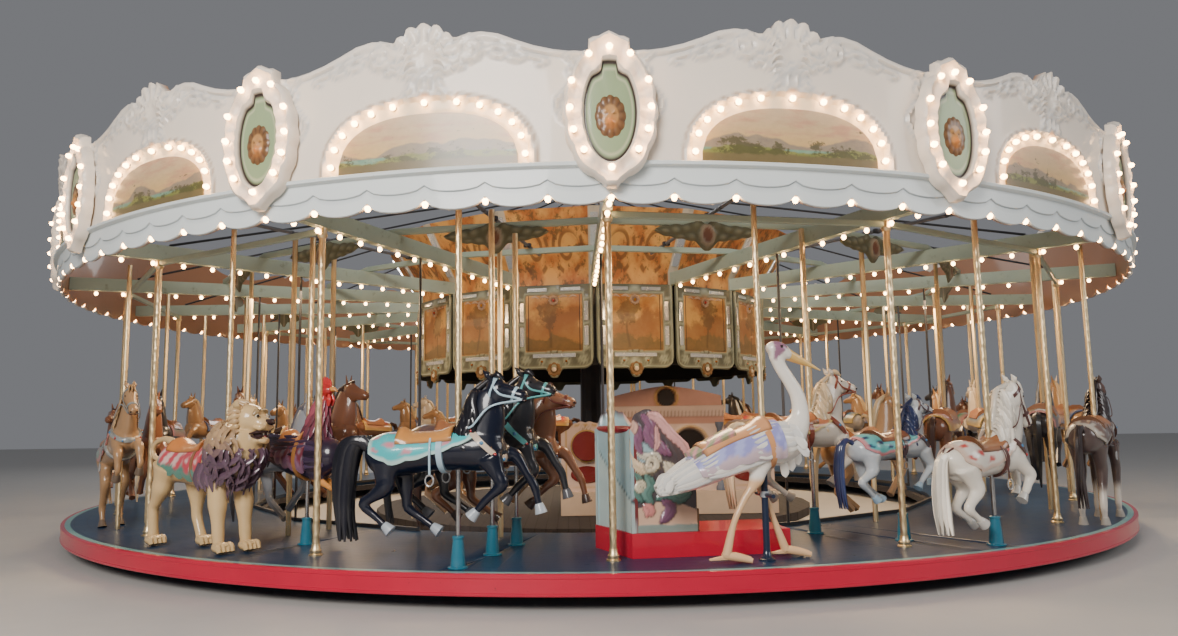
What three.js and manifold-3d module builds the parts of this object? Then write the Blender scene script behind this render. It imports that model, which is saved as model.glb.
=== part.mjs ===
// Park carousel with sixteen sections, in millimetres, +Z up.
// The origin is on the ground at the centre of the machine and the front looks along -Y.
// The turning frame hangs from a hub on the mast; the deck hangs from the frame on poles and rods.
import * as THREE from 'three';
import { mergeVertices } from 'three/addons/utils/BufferGeometryUtils.js';
import Module from 'manifold-3d';

// Driving dimensions
const SECTIONS = 16;
const PLATFORM_RADIUS = 7600;
const DECK_INNER_RADIUS = 5200;
const DECK_TOP = 300;
const DECK_THICKNESS = 55;
const RIM_LOW = 125;
const RIM_THICKNESS = 45;
const RIM_FACETS = 48;
const SWEEP_LOW = 3330;
const SWEEP_HIGH = 3500;
const SWEEP_WIDTH = 90;
const SWEEP_END_GAP = 2.5;
const HUB_RADIUS = 560;
const HUB_LOW = SWEEP_LOW - 80;
const MAST_RADIUS = 190;
const MAST_TOP = 5900;
const TIE_THICK = 14;
const TIE_FOOT_RADIUS = 6900;
const BRACE_RADII = [4350, 5800];
const BRACE_HEIGHT = 70;
const BRACE_THICKNESS = 50;
const PANEL_RADIUS = 2900;
const PANEL_LOW = 2170;
const PANEL_PENDANT_LOW = 2030;
const PANEL_THICKNESS = 60;
const UPPER_PANEL_RADIUS = 3400;
const UPPER_PANEL_HIGH = 4300;
const CORNICE_RADIUS = 7790;
const CORNICE_LOW = 3200;
const CORNICE_HIGH = 3540;
const CORNICE_THICKNESS = 70;
const CORNICE_FACETS = 64;
const SWEEP_REACH = CORNICE_RADIUS - CORNICE_THICKNESS - SWEEP_END_GAP;
const BOARD_RADIUS = 7790;
const BOARD_THICKNESS = 50;
const BOARD_END_HIGH = 4470;
const BOARD_HUMP_HIGH = 4670;
const BOARD_CREST_HIGH = 4780;
const BOARD_JOINT_DEGREES = 0.003;
const SHIELD_THICKNESS = 150;
const SHIELD_LOW = 3310;
const SHIELD_HIGH = 4580;
const SHIELD_WIDTH = 740;
const SHIELD_POINTS = 12;
const ROPE_POLE_RADIUS = 7000;
const ROPE_POLE_THICK = 32;
const HANGER_RADIUS = 5290;
const HANGER_THICK = 16;
const CRANK_THICK = 50;
const POLE_THICK = 30;
const ROD_THICK = 20;
const ROD_SIDES = 8;
const POLE_TOP = 3400;
const SLEEVE_HEIGHT = 260;
const SLEEVE_FOOT = 62;
const SLEEVE_MOUTH = 42;
const SLEEVE_PLAY = 0.5;
const ROD_LIFT = 90;
const SEAT_GAP = 0.3;
const ROWS = [7300, 6700, 6100, 5550];
const ORGAN_MIDDLE = 1050;
const ORGAN_FRONT = -2100;
const ORGAN_WIDTH = 3100;
const ORGAN_DEPTH = 900;
const ORGAN_HEART_WIDTH = 1640;
const ORGAN_WING_HIGH = 1450;
const ORGAN_TOP = 1960;
const ORNAMENT_WIDTH = 1150;
const ORNAMENT_LOW = 3170;
const ORNAMENT_THICKNESS = 40;
const CHARIOT_FRONT = 560;
const BASE_RADIUS = 3500;
const BASE_TOP = 120;

const SECTION = 360 / SECTIONS;
const DEG = Math.PI / 180;

const wasm = await Module();
wasm.setup();

// Colours of the finishes
const PAINT = {
  cream: 0xf0ebe0,
  sage: 0xa3b59a,
  brass: 0xc79a45,
  red: 0xb5202e,
  slate: 0x3b4a5c,
  tan: 0xb8834a,
  black: 0x16181c,
  white: 0xece6da,
  brown: 0x6b3f22,
  plum: 0x5b2b27,
  iron: 0x2f3133,
  amber: 0xc98a4b,
  timber: 0x6e5136,
};

// Turns a closed three.js geometry into a solid that can be joined and cut.
function solid(geometry) {
  const bare = geometry.index ? geometry.toNonIndexed() : geometry.clone();
  bare.deleteAttribute('normal');
  bare.deleteAttribute('uv');
  const merged = mergeVertices(bare, 1e-3);
  const mesh = new wasm.Mesh({
    numProp: 3,
    vertProperties: new Float32Array(merged.attributes.position.array),
    triVerts: new Uint32Array(merged.index.array),
  });
  return new wasm.Manifold(mesh);
}

// Turns a solid back into a geometry.
function geometryOf(body) {
  const mesh = body.getMesh();
  const geometry = new THREE.BufferGeometry();
  geometry.setAttribute('position', new THREE.BufferAttribute(new Float32Array(mesh.vertProperties), 3));
  geometry.setIndex(new THREE.BufferAttribute(new Uint32Array(mesh.triVerts), 1));
  return geometry;
}

function join(bodies) {
  return bodies.reduce((whole, body) => whole.add(body));
}

function cut(body, tools) {
  return tools.reduce((rest, tool) => rest.subtract(tool), body);
}

// A body moved out to a radius along -Y, raised, and turned about the mast.
function placed(body, degrees, radius = 0, height = 0) {
  return body.translate([0, -radius, height]).rotate([0, 0, degrees]);
}

function box(width, depth, height, x = 0, y = 0, z = 0) {
  return solid(new THREE.BoxGeometry(width, depth, height).translate(x, y, z + height / 2));
}

// A ring or drum about +Z from a closed profile of [radius, height] points.
function turned(profile, facets) {
  const points = profile.map(([r, z]) => new THREE.Vector2(r, z));
  if (profile[0][0] > 0) points.push(points[0].clone());
  const lathe = new THREE.LatheGeometry(points, facets);
  lathe.rotateX(Math.PI / 2);
  return solid(lathe);
}

function ringProfile(inner, outer, low, high) {
  return [[inner, low], [outer, low], [outer, high], [inner, high]];
}

// An upright rod between two heights with a given number of sides.
function rod(radius, low, high, sides = 8, topRadius = radius) {
  const shape = new THREE.CylinderGeometry(topRadius, radius, high - low, sides);
  shape.rotateX(Math.PI / 2).translate(0, 0, (low + high) / 2);
  return solid(shape);
}

// A flat board in the plane facing -Y, from an outline in X and Z, with its back at y = 0.
function board(outline, thickness) {
  const shape = new THREE.Shape(outline.map(([x, z]) => new THREE.Vector2(x, z)));
  const extruded = new THREE.ExtrudeGeometry(shape, { depth: thickness, bevelEnabled: false });
  extruded.rotateX(Math.PI / 2);
  return solid(extruded);
}

// A skin through oval rings along a path. Each station is [x, z, half width, half height, y].
function loft(stations, sides) {
  const rings = stations.map(([x, z, wide, tall, y = 0], i) => {
    const before = stations[Math.max(i - 1, 0)];
    const after = stations[Math.min(i + 1, stations.length - 1)];
    const rise = [after[0] - before[0], (after[4] ?? 0) - (before[4] ?? 0), after[1] - before[1]];
    const along = new THREE.Vector3(...rise);
    along.normalize();
    const across = new THREE.Vector3(0, 1, 0).addScaledVector(along, -along.y).normalize();
    const up = new THREE.Vector3().crossVectors(along, across);
    return Array.from({ length: sides }, (_, k) => {
      const turn = ((k + 0.5) / sides) * 2 * Math.PI;
      return new THREE.Vector3(x, y, z)
        .addScaledVector(across, Math.cos(turn) * wide)
        .addScaledVector(up, Math.sin(turn) * tall);
    });
  });
  const positions = rings.flat().flatMap((p) => [p.x, p.y, p.z]);
  const index = [];
  for (let i = 0; i < rings.length - 1; i += 1) {
    for (let k = 0; k < sides; k += 1) {
      const a = i * sides + k;
      const b = i * sides + ((k + 1) % sides);
      index.push(a, b, a + sides, b, b + sides, a + sides);
    }
  }
  const last = (rings.length - 1) * sides;
  for (let k = 1; k < sides - 1; k += 1) {
    index.push(0, k + 1, k, last, last + k, last + k + 1);
  }
  const geometry = new THREE.BufferGeometry();
  geometry.setAttribute('position', new THREE.BufferAttribute(new Float32Array(positions), 3));
  geometry.setIndex(index);
  return solid(geometry);
}

const carousel = new THREE.Group();

function add(name, body, colour, roughness = 0.5, metalness = 0) {
  const material = new THREE.MeshStandardMaterial({ color: PAINT[colour], roughness, metalness });
  const mesh = new THREE.Mesh(geometryOf(body), material);
  mesh.name = name;
  carousel.add(mesh);
}

// Standing part: the base on the ground, the mast and the band organ.
function centreBase() {
  return turned([[0, 0], [BASE_RADIUS, 0], [BASE_RADIUS, BASE_TOP], [0, BASE_TOP]], 32);
}

function mast() {
  const foot = rod(MAST_RADIUS * 1.8, BASE_TOP + SEAT_GAP, BASE_TOP + 260, 12);
  const pole = rod(MAST_RADIUS, BASE_TOP + 100, MAST_TOP, 12, MAST_RADIUS * 0.7);
  const collar = rod(HUB_RADIUS * 0.62, HUB_LOW - 110, HUB_LOW - SEAT_GAP, 12);
  return join([foot, pole, collar]);
}

function organCase() {
  const y = ORGAN_FRONT + ORGAN_DEPTH / 2;
  const low = BASE_TOP + SEAT_GAP;
  const half = ORGAN_HEART_WIDTH / 2;
  const plinth = box(ORGAN_WIDTH, ORGAN_DEPTH, 330, 0, y, low);
  const wings = box(ORGAN_WIDTH - 80, ORGAN_DEPTH - 300, ORGAN_WING_HIGH, 0, y, low);
  const chest = box(ORGAN_HEART_WIDTH, ORGAN_DEPTH - 80, 1550, 0, y, low);
  const crown = board(
    [
      [-half, 1600],
      [half, 1600],
      [half * 0.8, 1800],
      [half * 0.4, 1900],
      [0, ORGAN_TOP],
      [-half * 0.4, 1900],
      [-half * 0.8, 1800],
    ],
    ORGAN_DEPTH - 300,
  ).translate([0, y + (ORGAN_DEPTH - 300) / 2, 0]);
  const columns = [-1, 1].map((side) =>
    rod(55, low + 320, low + 1500, 8).translate([side * (half - 60), ORGAN_FRONT + 60, 0]));
  return join([plinth, wings, chest, crown, ...columns]).translate([ORGAN_MIDDLE, 0, 0]);
}

// Turning frame: a hub ring on the mast with sixteen timber sweeps, and two rings of braces.
function sweep() {
  const inner = HUB_RADIUS - 120;
  const length = SWEEP_REACH - inner;
  return box(SWEEP_WIDTH, length, SWEEP_HIGH - SWEEP_LOW, 0, -inner - length / 2, SWEEP_LOW);
}

function allRound(body, degrees = 0) {
  return Array.from({ length: SECTIONS }, (_, k) => body.rotate([0, 0, degrees + k * SECTION]));
}

function sweepFrame() {
  const boss = MAST_RADIUS + 60;
  const hub = turned(ringProfile(boss, HUB_RADIUS, HUB_LOW, SWEEP_HIGH + 90), SECTIONS);
  return join([hub, ...allRound(sweep())]);
}

function braceRing(radius) {
  const low = SWEEP_HIGH + SEAT_GAP;
  return turned(ringProfile(radius - BRACE_THICKNESS, radius, low, low + BRACE_HEIGHT), SECTIONS);
}

// The outer ring carries a winged ornament in front of each crankshaft bearing.
function outerBraceRing() {
  const radius = BRACE_RADII[1];
  const high = SWEEP_HIGH + SEAT_GAP + BRACE_HEIGHT;
  const half = ORNAMENT_WIDTH / 2;
  const wings = board(
    [
      [0, ORNAMENT_LOW],
      [half * 0.3, ORNAMENT_LOW + 90],
      [half * 0.75, ORNAMENT_LOW + 130],
      [half, high - 110],
      [half * 0.35, high],
      [-half * 0.35, high],
      [-half, high - 110],
      [-half * 0.75, ORNAMENT_LOW + 130],
      [-half * 0.3, ORNAMENT_LOW + 90],
    ],
    ORNAMENT_THICKNESS,
  );
  const front = radius * Math.cos((SECTION / 2) * DEG);
  return join([braceRing(radius), ...allRound(placed(wings, 0, front - 5), SECTION / 2)]);
}

function tieRods() {
  const head = MAST_TOP - 500;
  const inner = MAST_RADIUS + 20;
  const collar = turned(ringProfile(inner, inner + 130, head - 60, head + 80), SECTIONS);
  const foot = SWEEP_HIGH + SEAT_GAP + TIE_THICK;
  const start = inner + 60;
  const rise = head - foot;
  const run = TIE_FOOT_RADIUS - start;
  const shaft = new THREE.CylinderGeometry(TIE_THICK, TIE_THICK, Math.hypot(rise, run), 4);
  shaft.rotateX(Math.PI / 2).rotateX(Math.atan2(rise, run) - Math.PI / 2);
  shaft.translate(0, -(start + run / 2), foot + rise / 2);
  return join([collar, ...allRound(solid(shaft))]);
}

// Deck: a boarded ring on radial joists, with a curved rim board round its edge.
function deck(places) {
  const inner = DECK_INNER_RADIUS;
  const outer = PLATFORM_RADIUS - RIM_THICKNESS - SEAT_GAP;
  const boards = turned(ringProfile(inner, outer, DECK_TOP - DECK_THICKNESS, DECK_TOP), RIM_FACETS);
  const high = DECK_TOP + SLEEVE_HEIGHT;
  const sleeve = rod(SLEEVE_FOOT, DECK_TOP - 10, high, ROD_SIDES, SLEEVE_MOUTH);
  const bore = rod(ROD_THICK + SLEEVE_PLAY, RIM_LOW, high + 50, ROD_SIDES);
  const sleeves = places.map(([degrees, radius]) => placed(sleeve, degrees, radius));
  const bores = places.map(([degrees, radius]) => placed(bore, degrees, radius));
  return cut(join([boards, ...sleeves]), bores);
}

function deckJoists() {
  const high = DECK_TOP - DECK_THICKNESS - SEAT_GAP;
  const low = high - 90;
  const length = PLATFORM_RADIUS - RIM_THICKNESS - DECK_INNER_RADIUS - 40;
  const joist = box(80, length, high - low, 0, -(DECK_INNER_RADIUS + 20 + length / 2), low);
  const kerb = turned(ringProfile(DECK_INNER_RADIUS, DECK_INNER_RADIUS + 90, low, high), SECTIONS);
  return join([kerb, ...allRound(joist)]);
}

function deckRim() {
  return turned(ringProfile(PLATFORM_RADIUS - RIM_THICKNESS, PLATFORM_RADIUS, RIM_LOW, DECK_TOP), RIM_FACETS);
}

// Four poles stand on the deck and hold it to a curved head rail under the sweeps.
function ropePoles(quarter) {
  const low = DECK_TOP + SEAT_GAP;
  const railHigh = SWEEP_LOW - SEAT_GAP;
  const start = quarter * 90;
  const pole = rod(ROPE_POLE_THICK, low, railHigh, 8);
  const poles = [0, 1, 2, 3].map((k) => placed(pole, start + k * SECTION, ROPE_POLE_RADIUS));
  const rails = [0, 1, 2].map((k) => {
    const chord = 2 * ROPE_POLE_RADIUS * Math.sin((SECTION / 2) * DEG);
    const apothem = ROPE_POLE_RADIUS * Math.cos((SECTION / 2) * DEG);
    return placed(box(chord, 46, 60, 0, 0, railHigh - 60), start + (k + 0.5) * SECTION, apothem);
  });
  return join([...poles, ...rails]);
}

// Thin rods hang the inner edge of the deck from the sweeps.
function hangerRods(quarter) {
  const low = DECK_TOP + SEAT_GAP;
  const high = SWEEP_LOW - SEAT_GAP;
  const start = quarter * 90;
  const hanger = rod(HANGER_THICK, low, high, 5);
  const rods = [0, 1, 2, 3].map((k) => placed(hanger, start + k * SECTION, HANGER_RADIUS));
  const kerbs = [0, 1, 2].map((k) => {
    const chord = 2 * HANGER_RADIUS * Math.sin((SECTION / 2) * DEG);
    const apothem = HANGER_RADIUS * Math.cos((SECTION / 2) * DEG);
    return placed(box(chord, 40, 40, 0, 0, low), start + (k + 0.5) * SECTION, apothem);
  });
  return join([...rods, ...kerbs]);
}

// A curved wall about +Z from rows of [degrees, low, high]; a closed one ends where it starts.
function curvedWall(inner, outer, rows, closed) {
  const points = [];
  const index = [];
  for (const [degrees, low, high] of rows) {
    const turn = degrees * DEG;
    for (const [r, z] of ringProfile(inner, outer, low, high)) {
      points.push(r * Math.sin(turn), -r * Math.cos(turn), z);
    }
  }
  const spans = closed ? rows.length : rows.length - 1;
  for (let i = 0; i < spans; i += 1) {
    const a = i * 4;
    const b = ((i + 1) % rows.length) * 4;
    for (let k = 0; k < 4; k += 1) {
      const next = (k + 1) % 4;
      index.push(a + k, b + k, b + next, a + k, b + next, a + next);
    }
  }
  if (!closed) {
    const last = spans * 4;
    index.push(0, 1, 2, 0, 2, 3, last, last + 2, last + 1, last, last + 3, last + 2);
  }
  const geometry = new THREE.BufferGeometry();
  geometry.setAttribute('position', new THREE.BufferAttribute(new Float32Array(points), 3));
  geometry.setIndex(index);
  return solid(geometry);
}

// Crown: the cornice, the rounding boards on it and the shields over their joints.
function cornice() {
  const rows = Array.from({ length: CORNICE_FACETS }, (_, i) =>
    [(i * 360) / CORNICE_FACETS, CORNICE_LOW, CORNICE_HIGH]);
  return curvedWall(CORNICE_RADIUS - CORNICE_THICKNESS, CORNICE_RADIUS, rows, true);
}

// One rounding board: its top rises from the ends over two humps to a shell crest.
function boardTop(share) {
  const side = Math.abs(share);
  if (side < 0.2) return BOARD_CREST_HIGH;
  if (side < 0.4) return BOARD_HUMP_HIGH;
  return BOARD_END_HIGH;
}

function roundingBoards(quarter) {
  const shares = [-1, -0.72, -0.32, -0.14, 0.14, 0.32, 0.72];
  const low = CORNICE_HIGH + SEAT_GAP;
  const rows = [0, 1, 2, 3].flatMap((section) =>
    shares.map((share) => [quarter * 90 + (section + 0.5 + share / 2) * SECTION, low, boardTop(share)]));
  rows.push([(quarter + 1) * 90 - BOARD_JOINT_DEGREES, low, boardTop(1)]);
  return curvedWall(BOARD_RADIUS - BOARD_THICKNESS, BOARD_RADIUS, rows, false);
}

// An oval shield over a joint, with the bracket that screws it to the board on one side.
function shield() {
  const middle = (SHIELD_LOW + SHIELD_HIGH) / 2;
  const tall = (SHIELD_HIGH - SHIELD_LOW) / 2;
  const outline = Array.from({ length: SHIELD_POINTS }, (_, k) => {
    const turn = (k / SHIELD_POINTS) * 2 * Math.PI;
    return [(SHIELD_WIDTH / 2) * Math.sin(turn), middle + tall * Math.cos(turn)];
  });
  const back = BOARD_RADIUS + 20;
  const plate = board(outline, SHIELD_THICKNESS).translate([0, -back, 0]);
  const bracket = box(190, 110, 500, 110, -back + 30, middle - 250);
  return join([plate, bracket]);
}

// Middle: painted panels round the machinery, and leaning panels above the sweeps.
function centrePanels() {
  const high = SWEEP_LOW - SEAT_GAP;
  const apothem = PANEL_RADIUS * Math.cos((SECTION / 2) * DEG);
  const rows = [];
  for (let k = 0; k < SECTIONS; k += 1) {
    rows.push([k * SECTION, PANEL_LOW, high], [(k + 0.5) * SECTION, PANEL_PENDANT_LOW, high]);
  }
  return curvedWall(apothem - PANEL_THICKNESS, apothem, rows, true);
}

function upperPanels() {
  const low = SWEEP_HIGH + SEAT_GAP;
  return turned(
    [
      [PANEL_RADIUS - PANEL_THICKNESS, low],
      [PANEL_RADIUS, low],
      [UPPER_PANEL_RADIUS, UPPER_PANEL_HIGH],
      [UPPER_PANEL_RADIUS - PANEL_THICKNESS, UPPER_PANEL_HIGH],
    ],
    SECTIONS,
  );
}

// Crankshafts lie along the middle of each section on top of the brace rings.
function crankshaft() {
  const inner = PANEL_RADIUS + 800;
  const length = SWEEP_REACH - 120 - inner;
  const low = SWEEP_HIGH + BRACE_HEIGHT + 2 * SEAT_GAP;
  return box(CRANK_THICK, length, CRANK_THICK, 0, -(inner + length / 2), low);
}

// Figures. The figure faces +X and its pole stands at the origin, with z from the ground.
const HORSE = {
  trunk: [
    [-760, 1200, 80, 100],
    [-610, 1220, 170, 165],
    [-250, 1245, 160, 155],
    [100, 1260, 165, 175],
    [340, 1270, 120, 150],
  ],
  neck: [
    [190, 1330, 120, 190],
    [230, 1560, 100, 170],
    [250, 1760, 80, 140],
    [280, 1850, 60, 80],
  ],
  head: [
    [240, 1850, 60, 75],
    [370, 1820, 68, 88],
    [500, 1770, 50, 62],
    [580, 1770, 40, 46],
  ],
  legs: [
    [[320, 1240, 75, 85, 90], [465, 1210, 50, 50, 100], [630, 960, 32, 32, 105], [680, 725, 45, 40, 105]],
    [[290, 1200, 75, 85, -90], [405, 985, 50, 50, -105], [260, 850, 32, 32, -105], [135, 715, 45, 40, -105]],
    [[-540, 1180, 95, 110, 95], [-500, 960, 58, 62, 105], [-475, 770, 34, 34, 105], [-190, 575, 45, 40, 105]],
    [
      [-590, 1170, 95, 110, -95], [-600, 950, 60, 64, -105],
      [-805, 815, 34, 34, -105], [-540, 600, 45, 40, -105],
    ],
  ],
  tail: [[-740, 1240, 55, 55], [-900, 1300, 65, 65], [-1000, 1150, 75, 75], [-1000, 850, 75, 75], [-955, 500, 45, 45]],
};

const STANDING_LEGS = [
  [[340, 1150, 75, 85, 95], [360, 800, 48, 48, 95], [350, 380, 34, 34, 95], [370, DECK_TOP, 60, 60, 95]],
  [[340, 1150, 75, 85, -95], [460, 900, 48, 48, -95], [440, 600, 34, 34, -95], [520, DECK_TOP, 60, 60, -95]],
  [[-500, 1150, 95, 110, 95], [-450, 850, 55, 60, 95], [-560, 600, 36, 36, 95], [-520, DECK_TOP, 60, 60, 95]],
  [
    [-500, 1150, 95, 110, -95], [-400, 850, 55, 60, -95],
    [-480, 600, 36, 36, -95], [-420, DECK_TOP, 60, 60, -95],
  ],
];

// A jumper with its forelegs raised, its hind legs drawn under it and its head arched down.
const REARING_JUMPER = {
  trunk: [
    [-570, 1090, 80, 100],
    [-430, 1120, 175, 175],
    [-100, 1140, 160, 155],
    [180, 1185, 165, 190],
    [330, 1240, 110, 140],
  ],
  neck: [[170, 1240, 120, 190], [290, 1480, 90, 160], [290, 1720, 60, 90]],
  head: [[200, 1790, 50, 70], [390, 1720, 75, 105], [530, 1500, 50, 62], [560, 1420, 42, 48]],
  legs: [
    [[260, 1150, 75, 85, 90], [480, 1060, 55, 55, 100], [540, 1020, 40, 40, 105], [500, 780, 45, 40, 105]],
    [[240, 1150, 75, 85, -90], [420, 980, 50, 50, -105], [400, 900, 38, 38, -105], [260, 760, 45, 40, -105]],
    [[-440, 1100, 95, 120, 95], [-260, 880, 58, 62, 105], [-400, 700, 36, 36, 105], [-130, 525, 45, 40, 105]],
    [
      [-460, 1100, 95, 120, -95], [-360, 880, 58, 62, -105],
      [-500, 720, 36, 36, -105], [-290, 560, 45, 40, -105],
    ],
  ],
  tail: [[-560, 1170, 45, 45], [-690, 1080, 65, 65], [-720, 800, 70, 70], [-680, 530, 45, 45]],
};

// A standing horse that rears on its hind legs.
const PRANCER = {
  trunk: [
    [-560, 1080, 80, 90],
    [-430, 1120, 170, 165],
    [-100, 1220, 160, 155],
    [200, 1350, 165, 180],
    [330, 1430, 100, 130],
  ],
  neck: [[180, 1410, 110, 170], [330, 1700, 75, 120], [370, 1950, 45, 65]],
  head: [[310, 1980, 45, 60], [430, 1950, 60, 80], [600, 1760, 36, 45]],
  legs: [
    [[250, 1310, 75, 85, 90], [470, 1260, 52, 52, 100], [560, 1120, 36, 36, 105], [480, 950, 45, 40, 105]],
    [
      [240, 1300, 75, 85, -90], [420, 1180, 50, 50, -105],
      [460, 1010, 36, 36, -105], [360, 880, 45, 40, -105],
    ],
    [
      [-460, 1090, 95, 115, 95], [-340, 820, 56, 60, 105],
      [-520, 560, 36, 36, 105], [-440, DECK_TOP, 60, 60, 105],
    ],
    [
      [-450, 1090, 95, 115, -95], [-260, 820, 56, 60, -105],
      [-400, 560, 36, 36, -105], [-320, DECK_TOP, 60, 60, -105],
    ],
  ],
  tail: [[-560, 1120, 40, 40], [-700, 1020, 55, 55], [-740, 780, 50, 50], [-700, 540, 25, 25]],
};

function figure(shape, sides, legSides) {
  const parts = [loft(shape.trunk, sides), loft(shape.neck, sides - 2), loft(shape.head, sides - 2)];
  for (const leg of shape.legs) parts.push(loft(leg, legSides));
  if (shape.tail) parts.push(loft(shape.tail, legSides));
  if (shape.extra) parts.push(...shape.extra.map((stations) => loft(stations, legSides + 1)));
  return join(parts);
}

// A jumper slides with its pole, whose lower rod runs in a sleeve on the deck.
function jumper(shape) {
  const lower = rod(ROD_THICK, DECK_TOP + ROD_LIFT, 1200, ROD_SIDES);
  const upper = rod(POLE_THICK, 1150, POLE_TOP, ROD_SIDES);
  return join([figure(shape, 7, 4), lower, upper]);
}

// A standing figure is fixed to the deck by its feet and its pole.
function stander(shape, poleTop = POLE_TOP) {
  const low = DECK_TOP + SEAT_GAP;
  const pole = rod(ROD_THICK + 6, low, poleTop, 8).translate([shape.poleAt ?? 0, 0, 0]);
  const whole = join([figure(shape, 7, 4), pole]);
  const underDeck = box(4000, 4000, 400, 0, 0, low - 400);
  return whole.subtract(underDeck);
}

// Horses of a section seen behind the front ones, carried by their shared crankshaft.
const SMALL_HORSE = {
  trunk: [
    [-860, 760, 35, 35],
    [-660, 1220, 90, 90],
    [-100, 1180, 175, 170],
    [330, 1290, 120, 190],
    [330, 1800, 75, 110],
    [600, 1770, 45, 50],
  ],
  legs: [
    [[250, 1200, 75, 80, 75], [640, 760, 35, 35, 100]],
    [[240, 1200, 75, 80, -75], [360, 690, 35, 35, -100]],
    [[-520, 1150, 90, 100, 95], [-560, 600, 36, 36, 100]],
    [[-500, 1130, 90, 100, -95], [-260, 620, 36, 36, -100]],
  ],
};

function smallHorse(lift) {
  const legs = SMALL_HORSE.legs.map((leg) => loft(leg, 3));
  const body = join([loft(SMALL_HORSE.trunk, 5), ...legs]).translate([0, 0, lift]);
  const pole = rod(POLE_THICK, DECK_TOP + SEAT_GAP, SWEEP_HIGH + BRACE_HEIGHT + CRANK_THICK / 2, 4);
  return join([body, pole]);
}

function horsesSection(section, rows) {
  const degrees = (section + 0.5) * SECTION;
  const horses = rows.map((row) => {
    const lift = [-120, 90, -30, 130][(row + section) % 4];
    return placed(smallHorse(lift), degrees, ROWS[row]);
  });
  return join([crankshaft().rotate([0, 0, degrees]), ...horses]);
}

// The lion strides with its head turned in; its pole stands behind its mane.
const LION = {
  poleAt: 440,
  trunk: [
    [-480, 1110, 120, 150],
    [-370, 1110, 175, 185],
    [-100, 1090, 180, 195],
    [250, 1100, 190, 210],
    [520, 1150, 165, 190],
  ],
  neck: [[480, 1000, 190, 190], [600, 1150, 235, 270], [680, 1380, 220, 240], [740, 1500, 150, 170]],
  head: [[700, 1520, 140, 150], [820, 1500, 115, 118, 40], [930, 1450, 80, 78, 90]],
  legs: [
    [
      [480, 1080, 105, 140, 120], [560, 760, 86, 88, 120],
      [590, 470, 66, 66, 120], [640, DECK_TOP, 100, 90, 120],
    ],
    [
      [470, 1080, 105, 140, -120], [500, 760, 86, 88, -120],
      [530, 470, 66, 66, -120], [580, DECK_TOP, 100, 90, -120],
    ],
    [
      [-330, 1090, 120, 170, 120], [-230, 780, 92, 98, 120],
      [-150, 520, 62, 62, 120], [-70, DECK_TOP, 98, 85, 120],
    ],
    [
      [-350, 1090, 120, 170, -120], [-420, 800, 92, 98, -120],
      [-540, 560, 62, 62, -120], [-560, DECK_TOP, 98, 85, -120],
    ],
  ],
  tail: [
    [-450, 1150, 34, 34], [-700, 1140, 26, 26], [-830, 1180, 26, 26], [-840, 1260, 26, 26],
    [-740, 1320, 28, 28], [-590, 1350, 34, 34], [-400, 1290, 34, 34],
  ],
};

const CRANE = {
  trunk: [
    [-940, 890, 40, 30],
    [-660, 1040, 150, 90],
    [-300, 1200, 200, 150],
    [0, 1270, 200, 170],
    [200, 1280, 160, 160],
    [330, 1320, 80, 110],
  ],
  neck: [[220, 1300, 115, 150], [370, 1450, 80, 95], [330, 1700, 60, 66], [200, 1890, 56, 60], [150, 2030, 58, 62]],
  head: [[90, 2060, 50, 56], [195, 2060, 72, 74], [290, 2005, 44, 44], [420, 1945, 24, 24], [560, 1890, 8, 10]],
  legs: [
    [[-20, 1150, 80, 90, 90], [20, 870, 46, 46, 90], [180, 420, 34, 34, 90], [230, DECK_TOP, 110, 34, 90]],
    [[-50, 1150, 80, 90, -90], [-170, 900, 46, 46, -90], [-370, 420, 34, 34, -90], [-390, DECK_TOP, 110, 34, -90]],
  ],
};

const ROOSTER = {
  trunk: [
    [-560, 1290, 60, 60],
    [-360, 1210, 140, 130],
    [-100, 1160, 180, 190],
    [180, 1160, 170, 190],
    [360, 1200, 110, 130],
  ],
  neck: [[130, 1240, 150, 210], [130, 1460, 90, 110], [200, 1680, 58, 66], [235, 1760, 45, 50]],
  head: [[170, 1800, 40, 50], [250, 1790, 50, 60], [350, 1815, 12, 16]],
  legs: [
    [[60, 1050, 70, 80, 80], [220, 900, 36, 36, 80], [330, 850, 45, 30, 80]],
    [[100, 1050, 70, 80, -80], [290, 900, 36, 36, -80], [440, 840, 45, 30, -80]],
  ],
  tail: [[-500, 1300, 60, 60], [-600, 1330, 45, 60], [-680, 1300, 30, 40]],
  extra: [[[190, 1830, 15, 40], [190, 1900, 15, 50], [260, 1870, 12, 30]]],
};

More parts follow.
